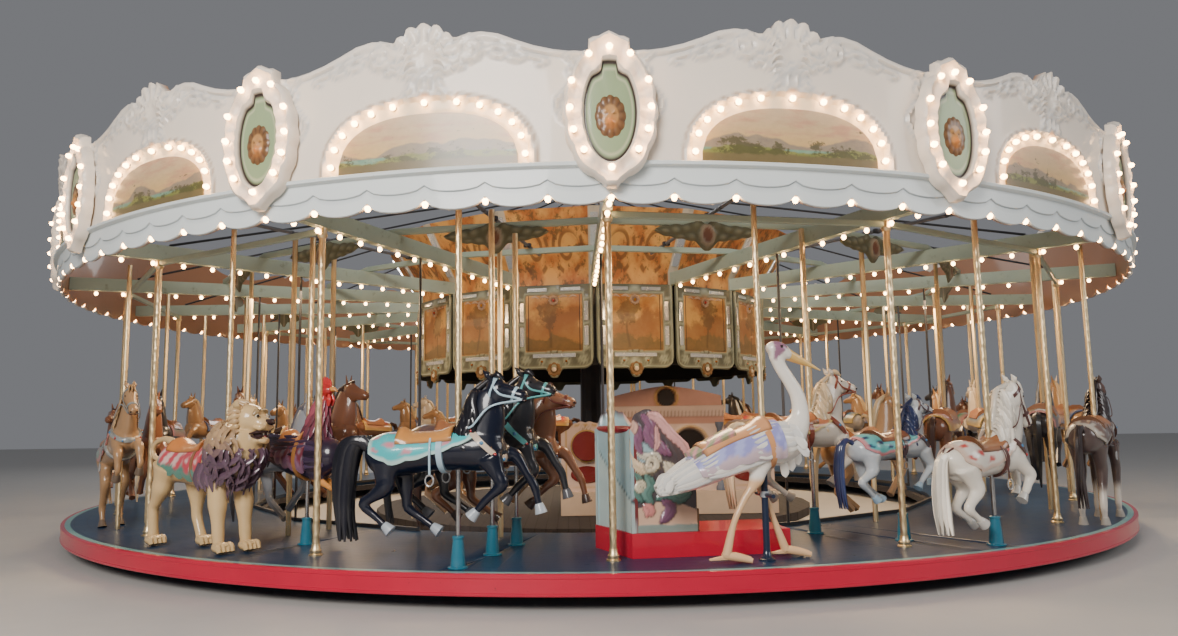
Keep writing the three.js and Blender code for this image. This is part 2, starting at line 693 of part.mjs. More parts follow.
// The chariot is a bench between two carved boards at the back of a long red plinth whose back end runs askew;
// the front is left for feet.
function chariot() {
  const low = DECK_TOP + SEAT_GAP;
  const [nearX, farX, nearY, farY] = [-870, -1060, -450, 270];
  const slant = Math.hypot(farY - nearY, nearX - farX);
  const ahead = [(farY - nearY) / slant, (nearX - farX) / slant, 0];
  const plane = ahead[0] * nearX + ahead[1] * nearY;
  const depth = farY - nearY;
  const middle = (nearY + farY) / 2;
  const plinth = box(CHARIOT_FRONT - farX, depth, 210, (CHARIOT_FRONT + farX) / 2, middle, low);
  const seat = box(790, depth - 100, 220, -645, middle, low + 190);
  const side = [
    [-870, 500],
    [-870, 1400],
    [-862, 1500],
    [-778, 1560],
    [-690, 1575],
    [-611, 1545],
    [-533, 1450],
    [-435, 1350],
    [-346, 1270],
    [-297, 1130],
    [-278, 900],
    [-278, 500],
  ];
  const wall = board(side, 50);
  const turn = Math.atan2(nearX - farX, depth) / DEG;
  const back = box(60, 680, 920, 0, 0, low + 190).rotate([0, 0, turn]);
  return join([
    plinth.trimByPlane(ahead, plane),
    seat.trimByPlane(ahead, plane + 2),
    wall.translate([0, nearY + 50, 0]),
    wall.translate([-174, farY, 0]),
    back.translate([(nearX + farX) / 2 + 32 * ahead[0], middle + 32 * ahead[1], 0]),
  ]);
}

// Rising figures: name, degrees, radius, how far above mid-travel it rests, shape, colour
const JUMPERS = [
  ['black_horse', -10.1, 7340, 0, HORSE, 'black'],
  ['dark_horse_second_row', -9.2, 6660, 60, HORSE, 'black'],
  ['brown_horse_third_row', -8.4, 6050, -40, HORSE, 'brown'],
  ['rooster', -27.6, 6460, 0, ROOSTER, 'plum'],
  ['white_horse', 28.8, 7340, -60, REARING_JUMPER, 'white'],
  ['grey_horse_second_row', 25.0, 6700, -40, HORSE, 'white'],
  ['white_horse_third_row', 21.3, 5900, 80, HORSE, 'white'],
];

// Standing figures: name, degrees, radius, shape, colour
const STANDERS = [
  ['lion', -34.2, 7130, LION, 'tan'],
  ['crane', 10.3, 7190, CRANE, 'white'],
  ['brown_horse_standing', 49, 7330, { ...HORSE, legs: STANDING_LEGS }, 'brown'],
  ['tan_horse_standing', -52.4, 7080, PRANCER, 'tan'],
];

// Rows of small horses in each section behind the front ones
const BACK_SECTIONS = {
  1: [3],
  2: [1, 3],
  3: [0, 2, 3],
  4: [0, 1, 3],
  5: [0, 2, 3],
  6: [0, 1, 3],
  7: [0, 2, 3],
  8: [0, 1, 3],
  9: [0, 2, 3],
  10: [0, 1, 3],
  11: [0, 2, 3],
  12: [0, 1, 3],
  13: [1, 3],
  14: [2, 3],
  15: [3],
};
const QUARTERS = ['right_front', 'right_back', 'left_back', 'left_front'];

add('centre_base', centreBase(), 'timber', 0.8);
add('mast', mast(), 'iron', 0.6, 0.6);
add('organ_case', organCase(), 'cream', 0.5);
add('sweep_frame', sweepFrame(), 'sage', 0.5);
add('tie_rods', tieRods(), 'iron', 0.5, 0.7);
add('inner_brace_ring', braceRing(BRACE_RADII[0]), 'sage');
add('outer_brace_ring', outerBraceRing(), 'sage');
add('centre_panels', centrePanels(), 'amber', 0.5);
add('upper_panels', upperPanels(), 'amber', 0.6);
add('cornice', cornice(), 'cream', 0.4);
QUARTERS.forEach((name, k) => {
  const shields = [0, 1, 2, 3].map((n) => shield().rotate([0, 0, k * 90 + n * SECTION]));
  add('rounding_boards_' + name, join([roundingBoards(k), ...shields]), 'cream', 0.4);
  add('rope_poles_' + name, ropePoles(k), 'brass', 0.25, 0.9);
  add('hanger_rods_' + name, hangerRods(k), 'iron', 0.4, 0.8);
});
add('deck', deck(JUMPERS.map(([, degrees, radius]) => [degrees, radius])), 'slate', 0.3);
add('deck_joists', deckJoists(), 'timber', 0.8);
add('deck_rim', deckRim(), 'red', 0.35);
add('chariot', placed(chariot(), 8.6, 6420), 'red', 0.5);
add('crankshaft_section_01', crankshaft().rotate([0, 0, SECTION / 2]), 'iron', 0.5, 0.6);
for (const [name, degrees, radius, lift, shape, colour] of JUMPERS) {
  add(name, placed(jumper(shape), degrees, radius, lift), colour, 0.3);
}
for (const [name, degrees, radius, shape, colour] of STANDERS) {
  add(name, placed(stander(shape), degrees, radius), colour, 0.3);
}
for (const [section, rows] of Object.entries(BACK_SECTIONS)) {
  const number = Number(section);
  add('horses_section_' + String(number + 1).padStart(2, '0'), horsesSection(number, rows), 'white', 0.4);
}

export default carousel;
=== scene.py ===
"""Park carousel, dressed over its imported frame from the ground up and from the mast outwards."""

import copy
import math

import bmesh
import bpy
import numpy as np
from mathutils import Matrix, Vector


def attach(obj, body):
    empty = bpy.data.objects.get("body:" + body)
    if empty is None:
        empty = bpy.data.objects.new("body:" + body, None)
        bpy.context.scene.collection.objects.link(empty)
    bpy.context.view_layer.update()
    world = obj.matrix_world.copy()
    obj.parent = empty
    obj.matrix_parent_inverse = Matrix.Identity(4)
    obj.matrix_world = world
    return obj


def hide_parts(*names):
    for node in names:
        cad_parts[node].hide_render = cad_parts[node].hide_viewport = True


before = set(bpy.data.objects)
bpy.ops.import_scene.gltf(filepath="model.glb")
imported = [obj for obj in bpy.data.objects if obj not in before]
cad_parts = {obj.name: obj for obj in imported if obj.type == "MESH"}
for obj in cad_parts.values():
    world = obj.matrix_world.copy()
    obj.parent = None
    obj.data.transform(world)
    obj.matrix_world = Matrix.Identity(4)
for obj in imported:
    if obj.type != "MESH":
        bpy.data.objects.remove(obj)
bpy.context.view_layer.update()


# Viewpoint. The photograph was taken at eye height in front of the machine, a little to the left of the front
# sweep, with a wide lens tipped up and rolled slightly to the right.
FRAME_WIDTH = 1178
FOCAL_PIXELS = 846.6
AXIS_COLUMN = 573.5
EYE_RADIUS, EYE_HEIGHT, EYE_DEGREES = 14.363, 1.511, -1.4
EYE_YAW, EYE_PITCH, EYE_ROLL = 0.0054, 0.117, 0.014


def polar(radius, degrees, height=0.0):
    """A point at a radius from the mast; the angle grows from the front (-Y) towards +X."""
    turn = np.radians(degrees)
    return np.stack(np.broadcast_arrays(radius * np.sin(turn), -radius * np.cos(turn), height), axis=-1)


def linked(name, data):
    """A new object of the scene, at the origin."""
    made = bpy.data.objects.new(name, data)
    bpy.context.scene.collection.objects.link(made)
    return made


camera = linked("camera", bpy.data.cameras.new("camera"))
level_right = Vector((math.cos(EYE_YAW), -math.sin(EYE_YAW), 0))
level_ahead = Vector((math.sin(EYE_YAW), math.cos(EYE_YAW), 0))
ahead = level_ahead * math.cos(EYE_PITCH) + Vector((0, 0, math.sin(EYE_PITCH)))
unrolled_up = level_right.cross(ahead)
right = level_right * math.cos(EYE_ROLL) - unrolled_up * math.sin(EYE_ROLL)
up = level_right * math.sin(EYE_ROLL) + unrolled_up * math.cos(EYE_ROLL)
camera.matrix_world = Matrix.Translation(Vector(polar(EYE_RADIUS, EYE_DEGREES, EYE_HEIGHT))) @ Matrix(
    ((right.x, up.x, -ahead.x, 0), (right.y, up.y, -ahead.y, 0), (right.z, up.z, -ahead.z, 0), (0, 0, 0, 1))
)
camera.data.sensor_width = 36
camera.data.lens = FOCAL_PIXELS / FRAME_WIDTH * camera.data.sensor_width
camera.data.shift_x = (FRAME_WIDTH / 2 - AXIS_COLUMN) / FRAME_WIDTH
camera.data.clip_end = 200
bpy.context.scene.camera = camera


# Studio. A plain pale floor and sky light, soft lamps in front, at the side and behind, and warm ones under the
# crown, where the real machine is lit by its own bulbs.
class Tap:
    """A socket of a finish. Arithmetic with numbers or other taps adds Math nodes."""

    def __init__(self, finish, socket):
        self.finish, self.socket = finish, socket

    def math(self, operation, *values):
        return self.finish.add("ShaderNodeMath", {"operation": operation}, *values)

    def __add__(self, other):
        return self.math("ADD", self, other)

    def __sub__(self, other):
        return self.math("SUBTRACT", self, other)

    def __rsub__(self, other):
        return self.math("SUBTRACT", other, self)

    def __mul__(self, other):
        return self.math("MULTIPLY", self, other)

    def __truediv__(self, other):
        return self.math("DIVIDE", self, other)

    def __pow__(self, other):
        return self.math("POWER", self, other)

    def smooth(self, low, high):
        """Rises smoothly from 0 at low to 1 at high."""
        return self.finish.add("ShaderNodeMapRange", {"interpolation_type": "SMOOTHSTEP"}, self, low, high, 0.0, 1.0)

    def wave(self):
        return self.math("SINE", self)

    def size(self):
        return self.math("ABSOLUTE", self)

    __radd__ = __add__
    __rmul__ = __mul__


class Finish:
    """A material built from nodes round one Principled shader."""

    def __init__(self, name):
        self.material = bpy.data.materials.new(name)
        self.material.use_nodes = True
        self.tree = self.material.node_tree
        self.shader = self.tree.nodes["Principled BSDF"]

    def add(self, kind, settings=None, *values, out=0, **named):
        """Adds a node, applies its settings, then fills its sockets in order or by name."""
        node = self.tree.nodes.new(kind)
        for key, value in (settings or {}).items():
            setattr(node, key, value)
        for key, value in [*enumerate(values), *named.items()]:
            self.fill(node.inputs[key if isinstance(key, int) else key.replace("_", " ")], value)
        return Tap(self, node.outputs[out])

    def fill(self, socket, value):
        if isinstance(value, Tap):
            self.tree.links.new(value.socket, socket)
        elif value is not None:
            socket.default_value = value

    def place(self, scale=(1, 1, 1)):
        """Object coordinates, scaled along each axis."""
        return self.add("ShaderNodeMapping", None, self.add("ShaderNodeTexCoord", out="Object"), Scale=scale)

    def noise(self, scale, detail=3.0, rough=0.55, where=None):
        return self.add("ShaderNodeTexNoise", None, where or self.place(), Scale=scale, Detail=detail, Roughness=rough)

    def carried(self, name, out="Vector"):
        """A value that the mesh carries at each of its points."""
        return self.add("ShaderNodeAttribute", {"attribute_name": name}, out=out)

    def axes(self, vector):
        """The three numbers of a vector."""
        node = self.add("ShaderNodeSeparateXYZ", None, vector).socket.node
        return [Tap(self, socket) for socket in node.outputs]

    def blend(self, first, second, share, kind="MIX"):
        """Mixes two colours by a share from 0 to 1."""
        node = self.add("ShaderNodeMix", {"data_type": "RGBA", "blend_type": kind}).socket.node
        for index, value in ((0, share), (6, first), (7, second)):
            self.fill(node.inputs[index], (*value, 1.0) if isinstance(value, tuple) and len(value) == 3 else value)
        return Tap(self, node.outputs[2])

    def tinted(self, colour, low, high, share):
        """Darkens or lightens a colour between two factors."""
        level = self.add("ShaderNodeMapRange", None, share, 0.0, 1.0, low, high)
        return self.blend(colour, self.add("ShaderNodeCombineColor", None, level, level, level), 1.0, "MULTIPLY")

    def bump(self, height, strength=0.3, distance=0.004):
        return self.add("ShaderNodeBump", None, Strength=strength, Distance=distance, Height=height)

    def finish(self, colour, rough, normal=None, **fixed):
        self.fill(self.shader.inputs["Base Color"], (*colour, 1.0) if isinstance(colour, tuple) else colour)
        self.fill(self.shader.inputs["Roughness"], rough)
        self.fill(self.shader.inputs["Normal"], normal)
        for key, value in fixed.items():
            self.fill(self.shader.inputs[key.replace("_", " ")], value)
        return self.material


STAGE_HALF = 40.0
FLOOR_TONE = (0.50, 0.49, 0.47)
ground = Finish("pale_floor")
ground.finish(ground.tinted(FLOOR_TONE, 0.94, 1.04, ground.noise(2.5, 4.0)), 0.55)
floor_mesh = bpy.data.meshes.new("floor")
floor_corners = [(x * STAGE_HALF, y * STAGE_HALF, 0) for x, y in ((-1, -1), (1, -1), (1, 1), (-1, 1))]
floor_mesh.from_pydata(floor_corners, [], [(0, 1, 2, 3)])
floor_mesh.materials.append(ground.material)
floor = linked("floor", floor_mesh)

world = bpy.data.worlds.new("studio")
world.use_nodes = True
world.node_tree.nodes["Background"].inputs[0].default_value = (0.44, 0.45, 0.48, 1)
world.node_tree.nodes["Background"].inputs[1].default_value = 0.42
bpy.context.scene.world = world


def lamp(name, spot, aim, span, watts, colour=(1, 1, 1)):
    """A round soft lamp at a spot, turned towards its aim."""
    data = bpy.data.lights.new(name, "AREA")
    data.shape, data.size, data.energy, data.color = "DISK", span, watts, colour
    held = linked(name, data)
    held.location = spot
    held.rotation_mode = "QUATERNION"
    held.rotation_quaternion = (Vector(aim) - Vector(spot)).to_track_quat("-Z", "Y")


WARM_LIGHT = (1.0, 0.70, 0.40)
lamp("front_lamp", (-5.0, -19.0, 8.0), (0, -5, 2.2), 6.0, 2500, (1.0, 0.95, 0.90))
lamp("side_lamp", (17.0, -12.0, 9.0), (2, -2, 1.8), 8.0, 1000)
lamp("back_lamp", (-6.0, 18.0, 11.0), (0, 0, 2.5), 9.0, 800)
for crown_degrees in range(11, 371, 60):
    crown_spot = polar(5.2, crown_degrees, 3.15)
    lamp("crown_glow", tuple(crown_spot), (crown_spot[0], crown_spot[1], 0.3), 1.5, 110, WARM_LIGHT)


# Ground base and mast. A low round timber base carries the mast, which is a tapered steel tube in dark enamel.
# The joists under the deck and the thin tie rods from the mast head to the sweeps are of the same dark stock.
def dress(material, *nodes):
    """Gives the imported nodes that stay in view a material."""
    for node in nodes:
        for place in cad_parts[node].material_slots:
            place.material = material


timber = Finish("dark_timber")
timber_grain = timber.noise(9.0, 5.0, where=timber.place((1.0, 6.0, 6.0)))
timber_seam = (timber.axes(timber.place())[0] * 44.0).wave().smooth(0.93, 1.0)
timber.finish(
    timber.blend(timber.tinted((0.024, 0.022, 0.028), 0.6, 1.5, timber_grain), (0.008, 0.007, 0.008), timber_seam),
    0.62 + timber_grain * 0.2,
    timber.bump(timber_grain - timber_seam, 0.4, 0.004),
)
iron = Finish("machine_enamel")
iron_cloud = iron.noise(5.0, 5.0)
iron_rust = iron.noise(22.0, 6.0, 0.7).smooth(0.62, 0.70)
iron.finish(
    iron.blend(iron.tinted((0.030, 0.031, 0.035), 0.7, 1.5, iron_cloud), (0.10, 0.04, 0.02), iron_rust * 0.6),
    0.34 + iron_rust * 0.4 + iron_cloud * 0.1,
    iron.bump(iron_rust * 0.4 + iron_cloud * 0.2, 0.25, 0.002),
)
dress(timber.material, "centre_base", "deck_joists")
dress(iron.material, "mast", "tie_rods")


# Band organ. A cream and rose case stands inside the ring: a plinth, a heart with two round-headed openings
# between columns, a stepped cornice, a crest with a round eye, and two wings with a drum and an oval sound hole.
class Sheet:
    """A grid of points, each with a colour and a place in a picture; its rows or columns may close."""

    def __init__(self, points, around=False, along=False, colour=(1, 1, 1), kind=0, view=(0, 0, 0)):
        self.points = np.asarray(points, float)
        self.around, self.along, self.kind = around, along, kind
        self.colour = np.broadcast_to(np.asarray(colour, float), self.points.shape)
        self.view = np.broadcast_to(np.asarray(view, float), self.points.shape)

    def moved(self, matrix=np.eye(3), shift=(0, 0, 0)):
        twin = copy.copy(self)
        twin.points = self.points @ np.asarray(matrix, float).T + np.asarray(shift)
        return twin

    def faces(self, start):
        """Quads between neighbouring points, numbered from start."""
        rows, columns = self.points.shape[:2]
        row = np.arange(rows if self.along else rows - 1)[:, None]
        column = np.arange(columns if self.around else columns - 1)[None, :]
        below, beside = (row + 1) % rows, (column + 1) % columns
        pairs = ((row, column), (row, beside), (below, beside), (below, column))
        corners = [np.broadcast_to(r * columns + c, (row.size, column.size)) for r, c in pairs]
        return start + np.stack(corners, axis=-1).reshape(-1, 4)


def turned_by(degrees):
    """The matrix that turns points about the mast."""
    c, s = math.cos(math.radians(degrees)), math.sin(math.radians(degrees))
    return np.array([[c, -s, 0], [s, c, 0], [0, 0, 1]])


def stood_at(sheets, degrees, radius=0.0, height=0.0):
    """Sheets made at the origin, moved out along -Y and turned about the mast."""
    turn = turned_by(degrees)
    return [sheet.moved(turn, turn @ np.array([0.0, -radius, height])) for sheet in sheets]


def slab(front, back, colour=(1, 1, 1), kind=0, view=(0, 0, 0)):
    """A closed plate: each row runs along the front grid and returns along the back one; the ends are lids."""

    def wrap(ahead, behind, middle):
        """One closed row for each row of the front, and a flat row over it at either end."""
        loop = np.concatenate([ahead, behind[:, ::-1]], axis=1)
        lid = np.concatenate([middle, middle[:, ::-1]], axis=1)
        return np.concatenate([lid[:1], loop, lid[-1:]])

    colour, view = (np.broadcast_to(np.asarray(v, float), front.shape) for v in (colour, view))
    return Sheet(
        wrap(front, back, (front + back) / 2), True, False, wrap(colour, colour, colour), kind, wrap(view, view, view)
    )


def board_slab(front, back, colour=(1, 1, 1), kind=0, behind=None):
    """A closed plate with a finely carved front and a plain back, whose edges run straight between their ends."""
    colour = np.broadcast_to(np.asarray(colour, float), front.shape)
    loop = np.concatenate([front, back[:, ::-1]], axis=1)
    rear = colour[:, -1:] if behind is None else np.asarray(behind, float)
    tone = np.concatenate([colour, np.broadcast_to(rear, back.shape)], axis=1)
    share = np.linspace(0, 1, back.shape[1])[None, :, None]
    lids = []
    for k in (0, -1):
        seam = front[k, 0] * (1 - share) + front[k, -1] * share
        across = np.linspace(0, 1, front.shape[1])[:, None]
        middle = (front[k] + back[k, 0] * (1 - across) + back[k, -1] * across) / 2
        far = (back[k] + seam[0]) / 2
        lids.append(np.concatenate([middle, far[::-1]])[None])
    return Sheet(
        np.concatenate([lids[0], loop, lids[1]]), True, False, np.concatenate([tone[:1], tone, tone[-1:]]), kind
    )


def mesh_of(name, sheets, crease):
    """Joins sheets into one mesh, welds their closed seams and ends, and points the faces outwards."""
    starts = np.cumsum([0] + [sheet.points[..., 0].size for sheet in sheets])
    plates = [sheet.faces(start) for sheet, start in zip(sheets, starts)]
    sizes = np.concatenate([np.full(len(plate), plate.shape[1]) for plate in plates])
    kinds = np.concatenate([np.full(len(plate), sheet.kind) for sheet, plate in zip(sheets, plates)])
    corners = np.concatenate([plate.ravel() for plate in plates])
    mesh = bpy.data.meshes.new(name)
    mesh.vertices.add(starts[-1])
    mesh.vertices.foreach_set("co", np.concatenate([sheet.points.reshape(-1, 3) for sheet in sheets]).ravel())
    mesh.loops.add(len(corners))
    mesh.loops.foreach_set("vertex_index", corners.astype(np.int32))
    mesh.polygons.add(len(sizes))
    mesh.polygons.foreach_set("loop_start", (np.cumsum(sizes) - sizes).astype(np.int32))
    mesh.polygons.foreach_set("material_index", kinds.astype(np.int32))
    mesh.update(calc_edges=True)
    tones = np.concatenate([sheet.colour.reshape(-1, 3) for sheet in sheets])
    paint = mesh.attributes.new("paint", "FLOAT_COLOR", "POINT")
    paint.data.foreach_set("color", np.column_stack([tones, np.ones(len(tones))]).ravel())
    views = np.concatenate([sheet.view.reshape(-1, 3) for sheet in sheets])
    if views.any():
        mesh.attributes.new("view", "FLOAT_VECTOR", "POINT").data.foreach_set("vector", views.ravel())
    work = bmesh.new()
    work.from_mesh(mesh)
    bmesh.ops.remove_doubles(work, verts=work.verts, dist=2e-5)
    bmesh.ops.dissolve_degenerate(work, edges=work.edges, dist=1e-6)
    bmesh.ops.recalc_face_normals(work, faces=work.faces)
    work.to_mesh(mesh)
    work.free()
    mesh.polygons.foreach_set("use_smooth", np.ones(len(mesh.polygons), bool))
    mesh.set_sharp_from_angle(angle=math.radians(crease))
    return mesh


def build(name, sheets, materials, body, slot, *replaced, crease=35.0):
    """Makes one piece from sheets, rides it on a body, and hides the CAD nodes that it stands for."""
    mesh = mesh_of(name, sheets, crease)
    for material in materials:
        mesh.materials.append(material)
    piece = linked(name, mesh)
    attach(piece, body)
    if replaced:
        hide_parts(*replaced)
    return piece


def enamel(name, rough=0.3, mottle=0.12, scale=3.0, coat=0.4, chips=0.5, grain=0.3, under=(0.30, 0.22, 0.15)):
    """Brushed enamel in each point's own colour, clouded a little and chipped to its undercoat."""
    made = Finish(name)
    cloud = made.noise(scale, 4.0)
    strokes = made.noise(scale * 12, 3.0, where=made.place((1.0, 1.0, 0.25)))
    chip = made.noise(scale * 15, 6.0, 0.7).smooth(0.66, 0.70) * chips
    toned = made.tinted(made.carried("paint", "Color"), 1.0 - mottle, 1.0 + mottle, cloud)
    return made.finish(
        made.blend(toned, under, chip),
        rough + cloud * 0.1 + chip * 0.3,
        made.bump(strokes * 0.5 - chip * 0.5, grain, 0.003),
        Coat_Weight=coat,
        Coat_Roughness=0.06,
        Specular_IOR_Level=0.25,
    )


def turned(profile, sides, colour=(1, 1, 1), kind=0, spot=(0, 0, 0), facing=False, along=False):
    """A profile of (radius, height) spun about an upright line, or about a line that faces the front."""
    profile = np.asarray(profile, float)
    angle = np.arange(sides) * 2 * np.pi / sides
    x, y = profile[:, :1] * np.sin(angle), -profile[:, :1] * np.cos(angle)
    z = np.repeat(profile[:, 1:], sides, axis=1)
    points = np.stack([x, -z, y] if facing else [x, y, z], axis=-1)
    return Sheet(points + np.asarray(spot), around=True, along=along, colour=colour, kind=kind)


def rounded_box(low, high, colour=(1, 1, 1), kind=0, bevel=0.006):
    """A box with chamfered edges all round."""
    low, high = np.asarray(low, float), np.asarray(high, float)
    step = np.array([(0, 1), (1, 0), (-1, 0), (0, 1), (0, -1), (-1, 0), (1, 0), (0, -1)]) * bevel
    ends = np.array([(low[0], low[1]), (high[0], low[1]), (high[0], high[1]), (low[0], high[1])])
    outline = np.repeat(ends, 2, axis=0) + step
    centre = (low[:2] + high[:2]) / 2
    inset = outline - np.sign(outline - centre) * bevel
    middle = np.broadcast_to(centre, outline.shape)
    levels = [(middle, low[2]), (inset, low[2]), (outline, low[2] + bevel)]
    levels += [(outline, high[2] - bevel), (inset, high[2]), (middle, high[2])]
    rows = [np.column_stack([ring, np.full(8, z)]) for ring, z in levels]
    return Sheet(rows, around=True, colour=colour, kind=kind)


def soft(value, low, high):
    """Rises smoothly from 0 at low to 1 at high; falls where high is under low."""
    share = np.clip((value - low) / (high - low), 0, 1)
    return share * share * (3 - 2 * share)


def tint(base, other, share):
    """Mixes two colours over a grid of shares."""
    share = np.asarray(share)[..., None]
    return np.asarray(base) * (1 - share) + np.asarray(other) * share


ORGAN_MIDDLE = 1.05
CREAM, ROSE, MAROON, SHADOW = (0.58, 0.44, 0.37), (0.42, 0.23, 0.18), (0.16, 0.020, 0.020), (0.012, 0.008, 0.008)
GILT = (0.42, 0.26, 0.08)


def organ_heart(x, z):
    """Two round dark openings, a rose frieze with a striped band, and mouldings that step out above it."""
    away = np.minimum(np.hypot(x - 0.33, z - 1.10), np.hypot(x + 0.33, z - 1.10))
    hole, lip = soft(away, 0.245, 0.215), np.exp(-(((away - 0.265) / 0.022) ** 2))
    frieze = soft(z, 1.40, 1.405) * soft(z, 1.50, 1.495)
    steps = sum(soft(z, edge, edge + 0.008) for edge in (1.50, 1.53, 1.565, 1.60, 1.64)) * 0.016
    panel = soft(np.abs(x), 0.62, 0.6) * soft(z, 0.80, 0.79) * soft(z, 0.52, 0.53)
    colour = tint(tint(CREAM, ROSE, np.maximum(frieze, panel * 0.8)), GILT, lip * 0.8)
    stripes = soft(np.sin(x * 120), 0.2, 0.9) * soft(z, 1.50, 1.51) * soft(z, 1.60, 1.59)
    colour = tint(colour, (0.20, 0.12, 0.10), stripes * 0.6)
    return lip * 0.02 + steps - panel * 0.012 - hole * 0.05, tint(colour, SHADOW, hole)


def organ_wing(x, z):
    """A plain cream board with a thin gilt line near its edge and a leaf spray in the middle."""
    edge = np.minimum(0.34 - np.abs(x), np.minimum(1.45 - z, z - 0.47))
    line = np.exp(-(((edge - 0.05) / 0.012) ** 2))
    spray = np.exp(-((x / 0.07) ** 2 + ((z - 1.34) / 0.05) ** 2)) * soft(np.sin(x * 120) * np.sin(z * 90), -0.2, 0.5)
    return line * 0.004, tint(tint(CREAM, GILT, line), (0.16, 0.14, 0.05), spray)


def organ_crest(x, z):
    """A low gable with a round dark eye inside a turned gilt ring."""
    away = np.hypot(x, z - 1.78)
    hole, ring = soft(away, 0.140, 0.125), np.exp(-(((away - 0.160) / 0.02) ** 2))
    return ring * 0.03 - hole * 0.04, tint(tint(ROSE, GILT, ring), SHADOW, hole)


def organ_board(half, low, high, front, back, relief, size=(90, 50)):
    """An upright board whose front stands out by its relief, with its upper edge given across its width."""
    x = np.linspace(-half, half, size[0])[:, None] + np.zeros((1, size[1]))
    z = low + (high(x) - low) * np.linspace(0, 1, size[1])[None, :]
    rise, colour = relief(x, z)
    return slab(np.stack([x, front - rise, z], -1), np.stack([x, back + 0 * x, z], -1), colour)


def wing_top(x):
    """A rounded shoulder with small scallops."""
    return 1.43 - 0.16 * soft(np.abs(x), 0.1, 0.36) + 0.02 * np.abs(np.sin(x * 26))


organ = [
    rounded_box((-1.55, -2.1, 0.121), (1.55, -1.2, 0.45), (0.52, 0.40, 0.30)),
    organ_board(0.82, 0.43, lambda x: 1.66 + 0 * x, -2.02, -1.25, organ_heart, (96, 60)),
    organ_board(0.80, 1.62, lambda x: 1.95 - 0.15 * np.abs(x / 0.8) ** 1.4, -1.99, -1.35, organ_crest, (64, 18)),
]
for side in (-1, 1):
    organ.append(organ_board(0.36, 0.44, wing_top, -1.95, -1.35, organ_wing, (40, 30)).moved(shift=(side * 1.18, 0, 0)))
    drum_spot = (side * 1.17, -1.95, 1.10)
    organ.append(
        turned([(0, 0.15), (0.20, 0.15), (0.215, 0.13), (0.215, 0.0), (0, 0.0)], 28, MAROON, 1, drum_spot, True)
    )
    hoop = [(0.214, 0.03), (0.235, 0.03), (0.235, 0.09), (0.214, 0.09)]
    organ.append(turned(hoop, 28, GILT, 0, drum_spot, True, True))
    oval = turned(
        [(0, 0.03), (0.20, 0.035), (0.235, 0.015), (0.235, 0.0), (0, 0.0)], 28, MAROON, 1, (0, -1.95, 0), True
    )
    organ.append(oval.moved(np.diag([1.0, 1.0, 0.52]), (side * 1.17, 0, 0.69)))
    column = [
        (0, 0), (0.07, 0), (0.07, 0.05), (0.05, 0.08), (0.042, 0.5), (0.038, 0.88), (0.058, 0.92), (0.06, 0.97),
        (0, 0.97),
    ]
    organ.append(turned(column, 16, (0.12, 0.14, 0.19), 0, (side * 0.75, -2.03, 0.45)))
build(
    "organ_case_front", [sheet.moved(shift=(ORGAN_MIDDLE, 0, 0)) for sheet in organ],
    [enamel("organ_enamel", 0.4, 0.16, 4.0, 0.2), enamel("drum_lacquer", 0.18, 0.1, 5.0, 0.8)],
    "centre", "organ_paint", "organ_case", crease=40.0,
)  # fmt: skip


# Sweeps and braces. Sixteen sage-green timber sweeps run from the hub to the cornice, tied by two rings of
# braces. The outer ring carries a carved winged bracket in front of each crank bearing.
SAGE, SAGE_DARK, LEAF = (0.41, 0.49, 0.38), (0.17, 0.19, 0.12), (0.17, 0.16, 0.09)
SECTION = 22.5
SWEEP_LOW = 3.33


def ring_of(profile, degrees, colour=(1, 1, 1)):
    """A closed profile of (radius, height) points carried round the mast through the given angles."""
    profile = np.asarray(profile, float)
    points = polar(profile[None, :, 0], np.asarray(degrees)[:, None], profile[None, :, 1])
    return Sheet(points, around=True, along=True, colour=colour)


def bar_profile(inner, outer, low, high, bevel=0.008):
    """The section of a bar between two radii and two heights, with its corners cut off."""
    return [
        (inner + bevel, low), (outer - bevel, low), (outer, low + bevel), (outer, high - bevel),
        (outer - bevel, high), (inner + bevel, high), (inner, high - bevel), (inner, low + bevel),
    ]  # fmt: skip


sage_finish = enamel("sage_enamel", 0.42, 0.2, 2.0, 0.15, 0.35, 0.4, (0.16, 0.13, 0.09))
sweep_paint = Finish("sweep_enamel")
sweep_cloud = sweep_paint.noise(1.4, 5.0)
sweep_grain = sweep_paint.noise(16.0, 4.0, where=sweep_paint.place((0.4, 0.4, 5.0)))
sweep_soot = sweep_paint.noise(8.0, 5.0, 0.7).smooth(0.56, 0.72)
sweep_paint.finish(
    sweep_paint.blend(sweep_paint.tinted(SAGE, 0.75, 1.2, sweep_cloud), SAGE_DARK, sweep_soot * 0.5),
    0.42 + sweep_cloud * 0.2,
    sweep_paint.bump(sweep_grain, 0.25, 0.003),
)
dress(sweep_paint.material, "sweep_frame")
brace_turns = np.arange(16) * SECTION
inner_braces = ring_of(bar_profile(4.30, 4.35, 3.5003, 3.5703), brace_turns, SAGE)
build("inner_braces", [inner_braces], [sage_finish], "turntable", "sage_paint", "inner_brace_ring")

WING_HALF, WING_MIDDLE, BRACKET_FACE = 0.57, 3.41, 5.705


